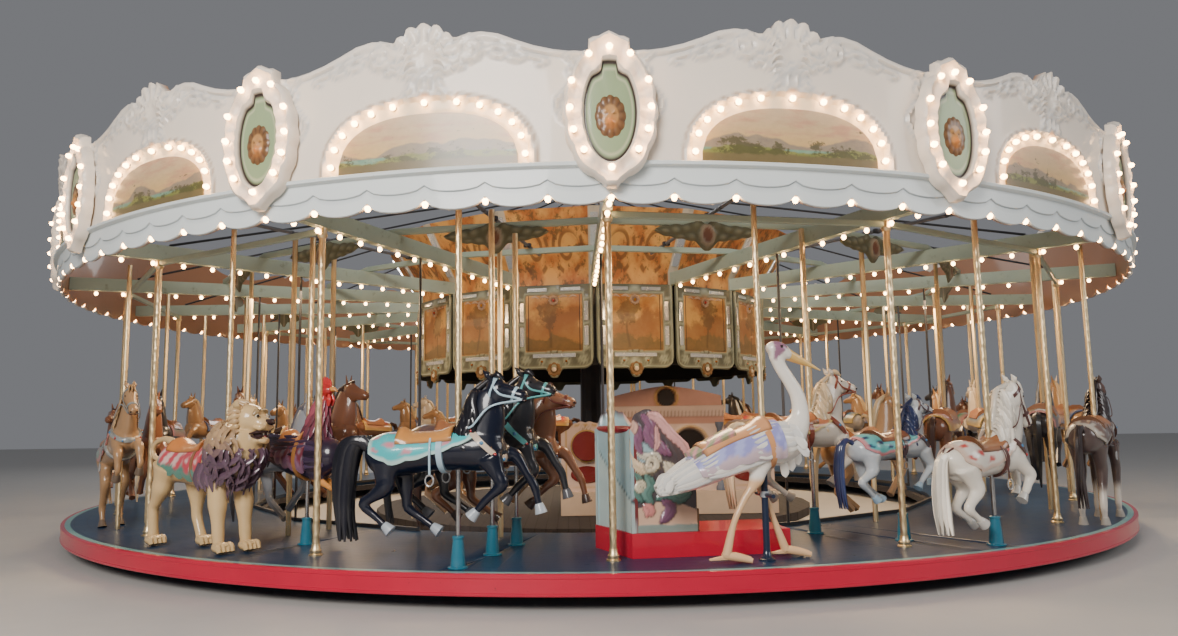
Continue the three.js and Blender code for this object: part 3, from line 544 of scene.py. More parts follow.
def winged_bracket():
    """Two leafy wings that narrow outwards from an oval boss; lobes run along their edges, leaves over their face."""
    s, t = np.meshgrid(np.linspace(-1, 1, 55), np.linspace(-1, 1, 11), indexing="ij")
    spread, dome = np.abs(s), np.sqrt(np.clip(1 - t**2, 0, 1))
    lobes = 0.016 * np.abs(np.sin(spread * 13.5)) * (1 - spread) ** 0.3
    upper = 0.085 * np.clip(1 - spread**2.4, 0, 1) ** 0.5 + 0.050 * np.exp(-(((spread - 0.16) / 0.14) ** 2)) + lobes
    lower = 0.070 * np.clip(1 - spread**2, 0, 1) ** 0.5 + 0.105 * np.exp(-((spread / 0.15) ** 2)) + lobes
    z = WING_MIDDLE + 0.03 * spread + np.where(t > 0, t * upper, t * lower)
    leaf = np.abs(np.sin(spread * 13.5 - t * 1.3)) * np.abs(np.cos(t * 2.6 + spread * 4))
    boss = soft(np.hypot(s * WING_HALF / 0.085, (z - WING_MIDDLE + 0.015) / 0.125), 1.08, 0.9)
    eye = soft(np.hypot(s * WING_HALF / 0.050, (z - WING_MIDDLE + 0.015) / 0.085), 1.1, 0.9)
    rise = (0.018 + 0.026 * leaf) * dome * (1 - boss) + boss * (0.050 - 0.012 * eye)
    # The raised leaf ridges and the middle of each wing are lightened with a painted highlight.
    colour = tint(tint(LEAF, (0.34, 0.33, 0.20), leaf**2 * dome), (0.45, 0.36, 0.24), boss)
    colour = tint(colour, (0.26, 0.12, 0.075), eye)
    back = np.stack([s * WING_HALF, 0.012 + 0 * s, z], -1)[:, [0, -1]]
    return board_slab(np.stack([s * WING_HALF, -rise, z], -1), back, colour)


outer_braces = [ring_of(bar_profile(5.75, 5.80, 3.5003, 3.5703), brace_turns, SAGE)]
for brace_turn in brace_turns:
    outer_braces += stood_at([winged_bracket()], brace_turn + SECTION / 2, BRACKET_FACE)
build(
    "outer_braces_and_brackets", outer_braces, [sage_finish], "turntable", "sage_paint", "outer_brace_ring", crease=50.0
)


# Lamps. Small clear globes in pale collars, all alike, stand along every edge of the crown and under the sweeps.
# Those of one group are one piece.
GLOBE = [(0.0, 0.0), (0.016, -0.012), (0.024, -0.030), (0.016, -0.050), (0.0, -0.057)]
COLLAR = [(0.0, 0.004), (0.020, 0.002), (0.014, -0.010), (0.0, -0.010)]
glow = Finish("lamp_glass")
glow.finish((1.0, 0.86, 0.62), 0.2)
glow.shader.inputs["Emission Color"].default_value = (1.0, 0.56, 0.24, 1)
glow.shader.inputs["Emission Strength"].default_value = 26.0
collar_finish = enamel("lamp_collar", 0.4)


def lamps(name, spots, ways, size=1.0):
    """One lamp at each spot, standing out along its own way: a globe and a collar of seven sides."""
    spots, ways = np.asarray(spots, float), np.asarray(ways, float)
    helper = np.where(np.abs(ways[:, 2:]) > 0.9, [[1.0, 0.0, 0.0]], [[0.0, 0.0, 1.0]])
    east = np.cross(ways, helper)
    east /= np.linalg.norm(east, axis=1, keepdims=True)
    frames = np.stack([east, np.cross(east, ways), -ways], axis=-1)
    sheets = []
    for profile, kind, tone in ((GLOBE, 0, (1.0, 0.86, 0.62)), (COLLAR, 1, (0.55, 0.50, 0.42))):
        placed = np.einsum("nij,rcj->nrci", frames, turned(profile, 7).points * size) + spots[:, None, None]
        sheets += [Sheet(points, around=True, colour=tone, kind=kind) for points in placed]
    build(name, sheets, [glow.material, collar_finish], "turntable", "cream_paint")


sweep_lamp_radii = np.linspace(3.10, 7.40, 14)
sweep_lamp_turns = np.repeat(brace_turns, len(sweep_lamp_radii))
sweep_lamp_spots = polar(np.tile(sweep_lamp_radii, 16), sweep_lamp_turns, SWEEP_LOW - 0.004)
lamps("sweep_lamps", sweep_lamp_spots, np.tile([0, 0, -1.0], (len(sweep_lamp_spots), 1)), 1.1)


# Cornice. A white moulded ring hangs under the rounding boards, coloured with a cool painted shade: a ledge, a wave
# of shallow drapery with a painted shadow line under its step, and a scalloped lower edge with a lamp in each cusp.
# Inside it is stained brown-orange.
CORNICE_LOW, CORNICE_FACE, CORNICE_BACK = 3.20, 7.782, 7.722
SCALLOPS = 96
# The cornice's white is nearly the boards' cream, cooled and darkened here as painted shade.
IVORY, CORNICE_WHITE_IN_SHADE, STAIN = (0.84, 0.74, 0.63), (0.68, 0.73, 0.73), (0.40, 0.20, 0.11)
cornice_turn = np.linspace(0, 360, SCALLOPS * 8, endpoint=False)
in_scallop = (cornice_turn * SCALLOPS / 360) % 1.0
from_middle = np.abs(in_scallop - 0.5) * 2
lobe = 1 - np.sqrt(1 - from_middle**2 * 0.985)
scallop_low = (CORNICE_LOW - 0.004 + 0.098 * lobe)[:, None]
wave_line = (3.345 + 0.068 * lobe)[:, None]
wave_depth = np.full_like(wave_line, 0.013)
under_wave = scallop_low + (wave_line - 0.008 - scallop_low) * np.array([0, 0.04, 0.35, 0.7, 1.0])
over_wave = wave_line + 0.012 + (3.480 - wave_line) * np.array([0.4, 0.8, 1.0])
cornice_z = np.concatenate([under_wave, wave_line + np.array([-0.003, 0.003, 0.012]), over_wave], axis=1)
cornice_r = CORNICE_FACE - 0.014 + wave_depth * np.array([0, 0, 0, 0, 0, 0.3, 1, 1, 1, 1, 1])
cornice_r = cornice_r - np.array([0.010] + [0.0] * 10)
# Painted shadow line under the step where the drapery wave stands out.
cornice_shadow_line = wave_depth * 75 * np.array([0, 0, 0, 0, 0.35, 1.0, 0.3, 0, 0, 0, 0])
LEDGE = np.array([(7.800, 3.497), (7.826, 3.506), (7.830, 3.530), (7.818, 3.5395), (7.722, 3.5395), (7.722, 3.36)])
ledge = np.broadcast_to(LEDGE, (len(cornice_turn), *LEDGE.shape))
cornice_r = np.concatenate([cornice_r, ledge[..., 0], np.full_like(scallop_low, CORNICE_BACK)], axis=1)
cornice_z = np.concatenate([cornice_z, ledge[..., 1], scallop_low + 0.004], axis=1)
outside_tone = tint(CORNICE_WHITE_IN_SHADE, (0.23, 0.28, 0.32), np.clip(cornice_shadow_line, 0, 1) * 0.8)
ledge_tone = np.broadcast_to(np.array([CORNICE_WHITE_IN_SHADE] * 4 + [STAIN] * 3), (len(cornice_turn), 7, 3))
cornice_points = polar(cornice_r, cornice_turn[:, None], cornice_z)
cornice_sheet = Sheet(cornice_points, True, True, np.concatenate([outside_tone, ledge_tone], axis=1))
carving_finish = enamel("carving_enamel", 0.36, 0.07, 1.5, 0.25, 0.25, 0.25, (0.42, 0.37, 0.30))
build("scalloped_cornice", [cornice_sheet], [carving_finish], "turntable", "cream_paint", "cornice", crease=30.0)
cusp_turns = np.arange(SCALLOPS) * 360 / SCALLOPS
lamps("cornice_lamps", polar(7.752, cusp_turns, 3.286), np.tile([0, 0, -1.0], (SCALLOPS, 1)), 1.15)


# Rounding boards. Each of the sixteen is a cream board bent to the rim, with a shell crest between two volutes,
# carved leaves and swags with blue-grey painted shade in their grooves, and an arched picture inside a channel of lamps
# that is lightened to warm peach as painted lamp glow.
BOARD_FACE, BOARD_BACK, BOARD_LOW = 7.786, 7.742, 3.5405
BOARD_HALF = BOARD_FACE * math.radians(SECTION / 2)
ARCH_LOW, ARCH_POWER = 3.545, 2.5
CHANNEL_HALF, CHANNEL_HIGH, PICTURE_HALF, PICTURE_HIGH = 0.90, 4.14, 0.785, 4.02
OUTLINE_X = (0, 0.20, 0.27, 0.36, 0.48, 0.62, 0.76, 0.92, 1.08, 1.22, 1.36, 1.44, 1.53)
OUTLINE_Z = (4.60, 4.60, 4.635, 4.662, 4.672, 4.645, 4.585, 4.525, 4.485, 4.465, 4.462, 4.45, 4.40)
SHELL_HIGH, SHELL_REACH, LOBE = 4.475, 0.225, 0.068
LOBE_TURNS = np.radians([-78, -52, -26, 0, 26, 52, 78])


def board_top(x):
    """The upper outline: a drawn curve, raised over the middle by the seven lobes of the shell."""
    reach = LOBE**2 - (x[..., None] - SHELL_REACH * np.sin(LOBE_TURNS)) ** 2
    lobes = np.where(reach > 0, SHELL_HIGH + SHELL_REACH * np.cos(LOBE_TURNS) + np.sqrt(np.clip(reach, 0, None)), 0)
    return np.maximum(np.interp(np.abs(x), OUTLINE_X, OUTLINE_Z), lobes.max(axis=-1))


def along_knots(knots, place):
    """Values on the smooth curve (Catmull-Rom) through the knots; place counts the knots from 0."""
    knots = np.asarray(knots, float)
    knots = np.vstack([2 * knots[0] - knots[1], knots, 2 * knots[-1] - knots[-2]])
    cell = np.clip(np.floor(place).astype(int), 0, len(knots) - 4)
    t = (place - cell)[..., None]
    a, b, c, d = (knots[cell + k] for k in range(4))
    return 0.5 * (2 * b + (c - a) * t + (2 * a - 5 * b + 4 * c - d) * t**2 + (3 * b - a - 3 * c + d) * t**3)


def arc(*points):
    """Points on the smooth curve through a few, twelve for each."""
    return along_knots(points, np.linspace(0, len(points) - 1, 12 * len(points)))


def coil(x, z, size, turns, start, hand):
    """Points on a shrinking spiral about (x, z)."""
    share = np.linspace(0, 1, 40)
    angle, reach = math.radians(start) + hand * share * turns * 2 * math.pi, size * (1 - share) ** 0.8 + 0.008
    return np.column_stack([x + reach * np.cos(angle), z + reach * np.sin(angle)])


BOARD_CARVING = [
    (coil(0.40, 4.525, 0.105, 1.6, 95, 1), 0.020, 0.032),
    (arc((0.40, 4.63), (0.55, 4.625), (0.72, 4.565), (0.92, 4.49), (1.12, 4.45), (1.28, 4.44)), 0.016, 0.024),
    (arc((0.50, 4.50), (0.60, 4.53), (0.70, 4.50), (0.66, 4.45), (0.58, 4.47)), 0.016, 0.022),
    (arc((0.64, 4.55), (0.74, 4.50), (0.84, 4.45), (0.80, 4.41), (0.72, 4.43)), 0.015, 0.022),
    (arc((0.78, 4.50), (0.88, 4.44), (0.98, 4.41), (1.02, 4.38), (0.95, 4.36)), 0.013, 0.020),
    (coil(1.36, 4.385, 0.060, 1.4, 110, -1), 0.015, 0.022),
    (arc((1.18, 4.42), (1.24, 4.36), (1.20, 4.29), (1.26, 4.25)), 0.013, 0.022),
    (arc((1.26, 4.32), (1.33, 4.27), (1.30, 4.20), (1.36, 4.15)), 0.013, 0.020),
    (arc((1.16, 4.12), (1.21, 4.17), (1.29, 4.14), (1.33, 4.05), (1.26, 3.92)), 0.014, 0.026),
    (arc((1.14, 4.10), (1.10, 4.02), (1.14, 3.93), (1.21, 3.86)), 0.014, 0.026),
    (arc((1.22, 4.06), (1.25, 4.00), (1.21, 3.95)), 0.012, 0.022),
    (arc((0.0, 4.335), (0.08, 4.32), (0.17, 4.345), (0.26, 4.39), (0.33, 4.375)), 0.016, 0.026),
    (arc((0.0, 4.37), (0.07, 4.40), (0.15, 4.385), (0.20, 4.42)), 0.014, 0.022),
    (arc((0.03, 4.30), (0.05, 4.24), (0.02, 4.19)), 0.012, 0.024),
    (arc((0.09, 4.31), (0.14, 4.27), (0.12, 4.22), (0.17, 4.20)), 0.012, 0.020),
]


def in_arch(x, z, half, high):
    """Under 1 inside an arch with a flat foot, and 1 on its edge: the sum of two powers."""
    return (np.abs(x) / half) ** ARCH_POWER + (np.clip(z - ARCH_LOW, 0, None) / (high - ARCH_LOW)) ** ARCH_POWER


def rounding_board():
    """Relief from the distance to each carved curve and from the fan of the shell; the grooves get a blue-grey painted
    shade, and the lamp channel a warm painted glow.
    """
    x = np.linspace(-1, 1, 116)[:, None] * (BOARD_HALF - 0.0015) + np.zeros((1, 38))
    top = board_top(x)
    z = BOARD_LOW + (top - BOARD_LOW) * (np.linspace(0, 1, 38) ** 0.8)[None, :]
    rise, shade, side = np.zeros_like(x), np.zeros_like(x), np.abs(x)
    for curve, width, tall in BOARD_CARVING:
        away = np.hypot(side[..., None] - curve[:, 0], z[..., None] - curve[:, 1]).min(axis=-1)
        rise = np.maximum(rise, tall * np.sqrt(np.clip(1 - (away / (width * 1.5)) ** 2, 0, 1)))
        shade = np.maximum(shade, np.exp(-(((away - width * 1.7) / 0.012) ** 2)))
    fan, reach = np.degrees(np.arctan2(x, z - SHELL_HIGH)), np.hypot(x, z - SHELL_HIGH)
    shell, ribs = soft(reach, 0.32, 0.29) * soft(z, 4.40, 4.45), np.abs(np.cos(np.radians(fan * 180 / 26)))
    rise = np.maximum(rise, shell * (0.012 + 0.030 * ribs * soft(reach, 0.02, 0.12)))
    shade = np.maximum(shade * (1 - shell), shell * (ribs < 0.4) * soft(reach, 0.05, 0.15))
    outer, inner = in_arch(x, z, CHANNEL_HALF, CHANNEL_HIGH), in_arch(x, z, PICTURE_HALF, PICTURE_HIGH)
    rise += 0.014 * np.exp(-(((outer - 1.05) / 0.045) ** 2)) + 0.010 * soft(top - z, 0.030, 0.0)
    channel, picture = soft(outer, 1.0, 0.95) * soft(inner, 0.96, 1.04), soft(inner, 1.04, 0.96)
    rise = rise * (1 - np.maximum(channel, picture)) - 0.034 * channel - 0.022 * picture
    # Blue-grey painted shade beside each carved curve and between the ribs of the shell.
    tone = tint(IVORY, (0.40, 0.44, 0.47), shade * 0.55)
    tone = tint(tone, (0.42, 0.26, 0.16), np.exp(-(((outer - 1.12) / 0.035) ** 2)) * 0.8)
    turn = np.degrees(x / BOARD_FACE)
    back_z = BOARD_LOW + (top[:, :1] - BOARD_LOW) * np.array([[0, 1.0]])
    back = polar(BOARD_BACK, turn[:, :2], back_z)
    # The lamp channel is coloured a bright warm peach: painted glow from its lamps.
    return board_slab(polar(BOARD_FACE + rise, turn, z), back, tint(tone, (0.95, 0.78, 0.54), channel), 0, STAIN)


scenery = Finish("landscape_paint")
across_view, up_view, scene_number = scenery.axes(scenery.carried("view"))
view_spot = scenery.add("ShaderNodeCombineXYZ", None, across_view + scene_number * 7.3, up_view, scene_number * 3.1)
ridge_spot = scenery.add("ShaderNodeCombineXYZ", None, across_view + scene_number * 5.7, 0.0, scene_number)
flat_spot = scenery.add("ShaderNodeVectorMath", {"operation": "MULTIPLY"}, view_spot, (1.0, 2.8, 1.0))
ridge, brush = scenery.noise(1.3, 3.0, 0.5, ridge_spot), scenery.noise(9.0, 6.0, 0.65, view_spot)
clouds, leaves = scenery.noise(2.2, 5.0, 0.6, flat_spot), scenery.noise(3.4, 6.0, 0.75, view_spot)
sky = scenery.blend((0.66, 0.42, 0.16), (0.60, 0.44, 0.27), up_view.smooth(0.2, 1.0))
sky = scenery.blend(sky, (0.55, 0.27, 0.17), clouds.smooth(0.46, 0.70) * 0.7)
far_hills = scenery.blend((0.26, 0.19, 0.16), (0.36, 0.28, 0.16), brush)
near_hills = scenery.blend((0.11, 0.16, 0.035), (0.34, 0.30, 0.08), brush)
water = scenery.blend((0.06, 0.24, 0.19), (0.34, 0.42, 0.26), scenery.noise(14.0, 3.0, 0.6, view_spot))
land = scenery.blend(sky, far_hills, (ridge * 0.75 + brush * 0.08 - up_view).smooth(0.0, 0.04))
land = scenery.blend(land, water, (0.27 - up_view).smooth(0.0, 0.03) * (1.0 - ridge.smooth(0.47, 0.53)))
land = scenery.blend(land, near_hills, (ridge * 0.42 + brush * 0.10 - up_view).smooth(0.0, 0.04))
clump = (leaves + ridge * 0.35 - up_view * 0.42).smooth(0.56, 0.62)
land = scenery.blend(land, (0.085, 0.075, 0.03), clump * 0.85)
land = scenery.blend(land, (0.17, 0.13, 0.055), (0.13 + brush * 0.1 - up_view).smooth(0.0, 0.05))
crackle = scenery.add("ShaderNodeTexVoronoi", {"feature": "DISTANCE_TO_EDGE"}, scenery.place(), Scale=34.0)
scenery.finish(
    scenery.tinted(land, 0.80, 1.12, brush),
    0.32 + brush * 0.15,
    scenery.bump(brush + crackle.smooth(0.0, 0.03) * 0.4, 0.2, 0.002),
    Coat_Weight=0.3,
    Coat_Roughness=0.15,
)
picture_x = np.linspace(-0.995, 0.995, 41)[:, None] + np.zeros((1, 9))
picture_tall = (PICTURE_HIGH - ARCH_LOW) * (1 - np.abs(picture_x) ** ARCH_POWER) ** (1 / ARCH_POWER)
picture_up = picture_tall * np.linspace(0, 0.985, 9)[None, :]
picture_turn = np.degrees(picture_x * PICTURE_HALF / BOARD_FACE)
pictures = []
for k in range(16):
    turns, heights = picture_turn + (k + 0.5) * SECTION, ARCH_LOW + 0.004 + picture_up
    place = np.stack([picture_x * 1.1, picture_up / 0.475, np.full_like(picture_x, k + 1.0)], axis=-1)
    pictures.append(
        slab(polar(BOARD_FACE - 0.0165, turns, heights), polar(BOARD_FACE - 0.025, turns, heights), view=place)
    )
build("rounding_board_pictures", pictures, [scenery.material], "turntable", "panel_art")
arch_turn = np.linspace(0.02, 0.98, 13) * math.pi
arch_x = np.sign(np.cos(arch_turn)) * np.abs(np.cos(arch_turn)) ** (2 / ARCH_POWER) * 0.845
arch_z = ARCH_LOW + np.sin(arch_turn) ** (2 / ARCH_POWER) * 0.535 + 0.02
arch_turns = ((np.arange(16)[:, None] + 0.5) * SECTION + np.degrees(arch_x / BOARD_FACE)[None, :]).ravel()
lamps("arch_lamps", polar(BOARD_FACE - 0.030, arch_turns, np.tile(arch_z, 16)), polar(1.0, arch_turns), 1.2)


# Shields. An oval carved frame with twelve lamps covers each joint of the rounding boards: a shell above, a drop
# below, and a sage-green field with a dark line and a gilt lion mask of a plain kind.
SHIELD_MIDDLE, SHIELD_BACK = 3.92, 7.800
QUARTERS = ("right_front", "right_back", "left_back", "left_front")


def shield_edge(angle, top):
    """The outer edge: an oval of twelve lobes, with a lobed shell above and a drop below."""
    oval = (1 + 0.045 * np.abs(np.cos(angle * 6))) / np.hypot(np.sin(angle) / 0.368, np.cos(angle) / 0.555)
    shell = 0.66 * (1 + 0.035 * np.abs(np.cos(top * 14))) * soft(top, 0.46, 0.28) * (1 - 0.25 * top)
    return np.maximum(oval, np.maximum(shell, 0.61 * soft(math.pi - top, 0.30, 0.10)))


def field_edge(angle, top):
    """The field's edge: an oval with a small round lobe at its top."""
    oval = 1 / np.hypot(np.sin(angle) / 0.208, np.cos(angle) / 0.405)
    return np.maximum(oval * (1 - 0.10 * soft(top, 0.5, 0.25)), 0.42 * soft(top, 0.22, 0.14))


SHIELD_STAGES = [
    (0.0, 0.0, 0.070, 0), (0.35, 0.0, 0.070, 0), (0.65, 0.0, 0.066, 0), (0.80, 0.0, 0.064, 0), (0.86, 0.0, 0.062, 1),
    (0.90, 0.0, 0.062, 0), (0.965, 0.0, 0.062, 2), (1.0, 0.0, 0.060, 2), (1.0, 0.05, 0.095, 3), (1.0, 0.14, 0.112, 3),
    (1.0, 0.26, 0.098, 3), (1.0, 0.40, 0.080, 3), (1.0, 0.55, 0.076, 3), (1.0, 0.70, 0.088, 3), (1.0, 0.82, 0.112, 3),
    (1.0, 0.92, 0.100, 3), (1.0, 1.0, 0.060, 3), (1.0, 1.0, 0.0, 3), (0.0, 0.0, 0.0, 3),
]  # fmt: skip
SHIELD_TONES = ((0.28, 0.36, 0.20), (0.46, 0.48, 0.30), (0.045, 0.03, 0.025), IVORY)


def shield():
    """Rings about the middle; each stage gives its share of the field, its share of the frame and its height."""
    angle = np.linspace(0, 2 * np.pi, 96, endpoint=False)
    top = np.abs(np.arctan2(np.sin(angle), np.cos(angle)))
    frame_edge, inner_edge, flutes = shield_edge(angle, top), field_edge(angle, top), np.cos(angle * 16)
    rows, tones = [], []
    for inner, outer, height, tone in SHIELD_STAGES:
        reach, arch = inner_edge * inner + (frame_edge - inner_edge) * outer, math.sin(outer * math.pi)
        depth = height + 0.012 * flutes * arch
        rows.append(np.column_stack([reach * np.sin(angle), -depth, SHIELD_MIDDLE + reach * np.cos(angle)]))
        # Painted shade in the grooves between the frame's flutes.
        tones.append(tint(SHIELD_TONES[tone], (0.50, 0.42, 0.40), soft(-flutes, 0.3, 1.0) * arch * 0.5))
    spin = angle[::2]
    share = np.array([0, 0.12, 0.24, 0.36, 0.48, 0.60, 0.74, 0.88, 1.0])[:, None]
    locks = np.abs(np.cos(spin * 6))
    reach = share * (0.118 + 0.008 * locks * soft(share, 0.7, 1.0))
    x, z = reach * np.sin(spin), 1.45 * reach * np.cos(spin)
    spots = [
        (0, -0.050, 0.032, 0.036), (0.034, 0.036, 0.016, 0.012), (-0.034, 0.036, 0.016, 0.012), (0, 0.0, 0.014, 0.020)
    ]
    rise = 0.016 * np.sqrt(1 - share**2) + 0.006 * locks * soft(share, 0.60, 0.8) * soft(share, 1.01, 0.9)
    rise = rise + sum(tall * np.exp(-(((x - u) ** 2 + (z - v) ** 2) / wide**2)) for u, v, wide, tall in spots)
    hollows = [(0.032, 0.016, 0.011), (0, -0.074, 0.026)]
    dark = sum(np.exp(-(((np.abs(x) - u) / wide) ** 2 + ((z - v) / 0.007) ** 2)) for u, v, wide in hollows)
    # The mane darkens outwards; its raised locks are kept lighter as a painted highlight.
    gilt = tint((0.42, 0.22, 0.08), (0.10, 0.05, 0.025), soft(share, 0.50, 0.62) * (1 - 0.22 * locks))
    gilt = tint(gilt, (0.60, 0.21, 0.05), np.exp(-((x / 0.042) ** 2 + ((z + 0.055) / 0.046) ** 2)))
    gilt = tint(gilt, (0.04, 0.018, 0.012), np.clip(dark, 0, 1))
    front = np.stack([x, -0.067 - rise - 0 * x, 3.885 + z], axis=-1)
    back = front[-1:] * np.array([1, 0, 1]) + np.array([0, -0.060, 0])
    mask = Sheet(np.concatenate([front, back, back[:, :1] * 0 + [0, -0.060, 3.885] + 0 * back]), around=True,
                 colour=np.concatenate([gilt, gilt[-1:], gilt[-1:]]))  # fmt: skip
    return [Sheet(np.array(rows), around=True, colour=np.array(tones)), mask]


SHIELD_LAMPS = np.array(
    [(0, 4.445), (0.165, 4.385), (0.305, 4.165), (0.322, 3.945), (0.295, 3.765), (0.215, 3.60), (0, 3.455)]
)
shield_lamp_x = np.concatenate([SHIELD_LAMPS[:, 0], -SHIELD_LAMPS[1:6, 0]])
shield_lamp_z = np.concatenate([SHIELD_LAMPS[:, 1], SHIELD_LAMPS[1:6, 1]])
shield_lamp_local = np.column_stack([shield_lamp_x, np.full(12, -SHIELD_BACK - 0.082), shield_lamp_z])
shield_lamp_spots = np.concatenate([shield_lamp_local @ turned_by(k * SECTION).T for k in range(16)])
lamps("shield_lamps", shield_lamp_spots, polar(1.0, np.repeat(brace_turns, 12)), 1.25)
board_sheets, shield_sheets = [rounding_board()], shield()
for quarter, quarter_name in enumerate(QUARTERS):
    crown = [s for k in range(4) for s in stood_at(board_sheets, (quarter * 4 + k + 0.5) * SECTION)]
    crown += [s for k in range(4) for s in stood_at(shield_sheets, (quarter * 4 + k) * SECTION, SHIELD_BACK)]
    build("rounding_boards_and_shields_" + quarter_name, crown, [carving_finish], "turntable", "cream_paint",
          "rounding_boards_" + quarter_name, crease=40.0)  # fmt: skip


# Centre panels. Sixteen carved frames hide the machinery: each has an amber painting, mirror strips in two
# lengths at its sides, one below and two above beside a jewel, rounded lower corners and a hanging drop.
PANEL_FACE, PANEL_HALF, PANEL_LOW, PANEL_HIGH = 2.862, 0.545, 2.17, 3.3293
FRAME_GREY, FRAME_PAINTED_SHADE, AMBER = (0.36, 0.38, 0.27), (0.09, 0.09, 0.06), (0.55, 0.24, 0.05)
ART_HALF, ART_LOW, ART_HIGH = 0.395, 2.425, 3.195
MIRRORS = [
    (0.452, 2.62, 0.030, 0.135), (0.452, 2.96, 0.030, 0.135), (0.0, 2.355, 0.30, 0.028), (0.235, 3.268, 0.14, 0.026)
]


def panel_frame():
    """Relief from the distance to the painting's edge, to each mirror and to the scrolls at the corners."""
    x = np.linspace(-1, 1, 49)[:, None] * PANEL_HALF + np.zeros((1, 34))
    side = np.abs(x)
    corner = np.clip(side - 0.40, 0, None) / 0.145
    low = PANEL_LOW + 0.15 * (1 - np.sqrt(np.clip(1 - corner**2, 0, 1))) - 0.12 * np.exp(-((side / 0.085) ** 4))
    z = low + (PANEL_HIGH - low) * np.linspace(0, 1, 34)[None, :] ** 1.15
    inside = np.minimum(ART_HALF + 0.004 - side, np.minimum(z - ART_LOW + 0.005, ART_HIGH + 0.004 - z))
    opening = soft(inside, -0.005, 0.012)
    rise = 0.016 * np.exp(-(((inside + 0.016) / 0.010) ** 2)) - 0.022 * opening
    edge = np.minimum(PANEL_HALF - side, z - low)
    rise += 0.020 * np.exp(-(((edge - 0.022) / 0.014) ** 2))
    bloom = np.exp(-((side - 0.17) ** 2 + (z - 2.275) ** 2) / 0.0022)
    bloom += np.exp(-((side - 0.40) ** 2 + (z - 2.30) ** 2) / 0.003)
    rise += 0.026 * bloom * np.abs(np.sin(side * 62 + z * 30))
    boss = 0.030 * np.exp(-(side**2 + (z - 2.225) ** 2) / 0.004)
    rise += boss + 0.026 * np.exp(-(side**2 + (z - 3.225) ** 2) / 0.004)
    rise += 0.012 * np.exp(-(((side - 0.452) / 0.05) ** 2)) * soft(np.cos((z - 2.79) * 18.5), 0.80, 0.98)
    # The frame is darkened where its relief sinks: painted shade in the recesses.
    tone = tint(FRAME_PAINTED_SHADE, FRAME_GREY, soft(rise, -0.003, 0.010))
    tone = tint(tone, AMBER, opening)
    back = np.stack([x, 0 * x - PANEL_FACE + 0.022, z], axis=-1)[:, [0, -1]]
    return board_slab(np.stack([x, -PANEL_FACE - rise, z], axis=-1), back, tone)


def jewel(x, z, radius, colour, face):
    """A round faceted dome on a panel."""
    dome = [(0, 0.022), (radius * 0.6, 0.018), (radius, 0.004), (radius, -0.004), (0, -0.004)]
    return turned(dome, 10, colour, 0, (x, -face, z), True)


MEDAL_BROWN, SPRAY_PINK = (0.26, 0.145, 0.06), (0.60, 0.40, 0.26)


def flat_leaf(path, girth):
    """A flat leaf along a bent line, widest in the middle and pointed at both ends."""
    share = np.linspace(0, 1, 9)
    x, z = (np.interp(share, [0, 0.5, 1], [spot[k] for spot in path]) for k in (0, 1))
    wide = girth * np.sin(share * math.pi)[:, None]
    turn = (np.arange(6) * math.pi / 3)[None, :]
    points = [x[:, None] + 0 * turn, -PANEL_FACE + 0.002 - 0.6 * wide * np.cos(turn), z[:, None] + wide * np.sin(turn)]
    return Sheet(np.stack(points, axis=-1), around=True, colour=SPRAY_PINK)


def rosette(x, z, radius, colour, face):
    """A carved flower of eight petals: rings whose reach swells at each petal, with a groove round the middle."""
    angle = np.arange(32)[None, :] * math.pi / 16
    share = np.array([0, 0.30, 0.46, 0.60, 0.82, 0.96, 1.0, 1.0, 0])[:, None]
    height = np.array([0.022, 0.022, 0.010, 0.012, 0.024, 0.020, 0.008, -0.006, -0.006])[:, None]
    reach = share * radius * (1 + 0.16 * np.abs(np.cos(angle * 4)) * soft(share, 0.4, 1.0))
    depth = height + 0.008 * np.abs(np.cos(angle * 4)) * soft(share, 0.4, 0.8) * soft(share, 1.02, 0.9)
    # The groove round the middle is darkened: painted shade.
    tone = tint(colour, np.array(colour) * 0.35, np.exp(-(((share - 0.48) / 0.09) ** 2)) + 0 * angle)
    points = [x + reach * np.sin(angle), -face - depth, z + reach * np.cos(angle)]
    return Sheet(np.stack(points, axis=-1), around=True, colour=tone)


medal = [
    rosette(0, 2.165, 0.088, MEDAL_BROWN, PANEL_FACE + 0.004), rosette(0, 3.115, 0.062, SPRAY_PINK, PANEL_FACE - 0.004)
]
for side in (-1, 1):
    for near, far, girth in ((0.06, 0.20, 0.020), (0.20, 0.33, 0.016)):
        spray = [(side * near, 3.150), (side * (near + far) / 2, 3.178), (side * far, 3.160)]
        medal.append(flat_leaf(spray, girth))
panel_frames, panel_mirrors, panel_pictures, panel_jewels = [], [], [], []
picture_u, picture_v = np.meshgrid(np.linspace(-1, 1, 9), np.linspace(0, 1, 9), indexing="ij")
painting_face = np.stack(
    [picture_u * ART_HALF, 0 * picture_u - PANEL_FACE + 0.006, ART_LOW + picture_v * (ART_HIGH - ART_LOW)], axis=-1
)
frame_relief = panel_frame()
drum_turns = np.arange(16) * SECTION
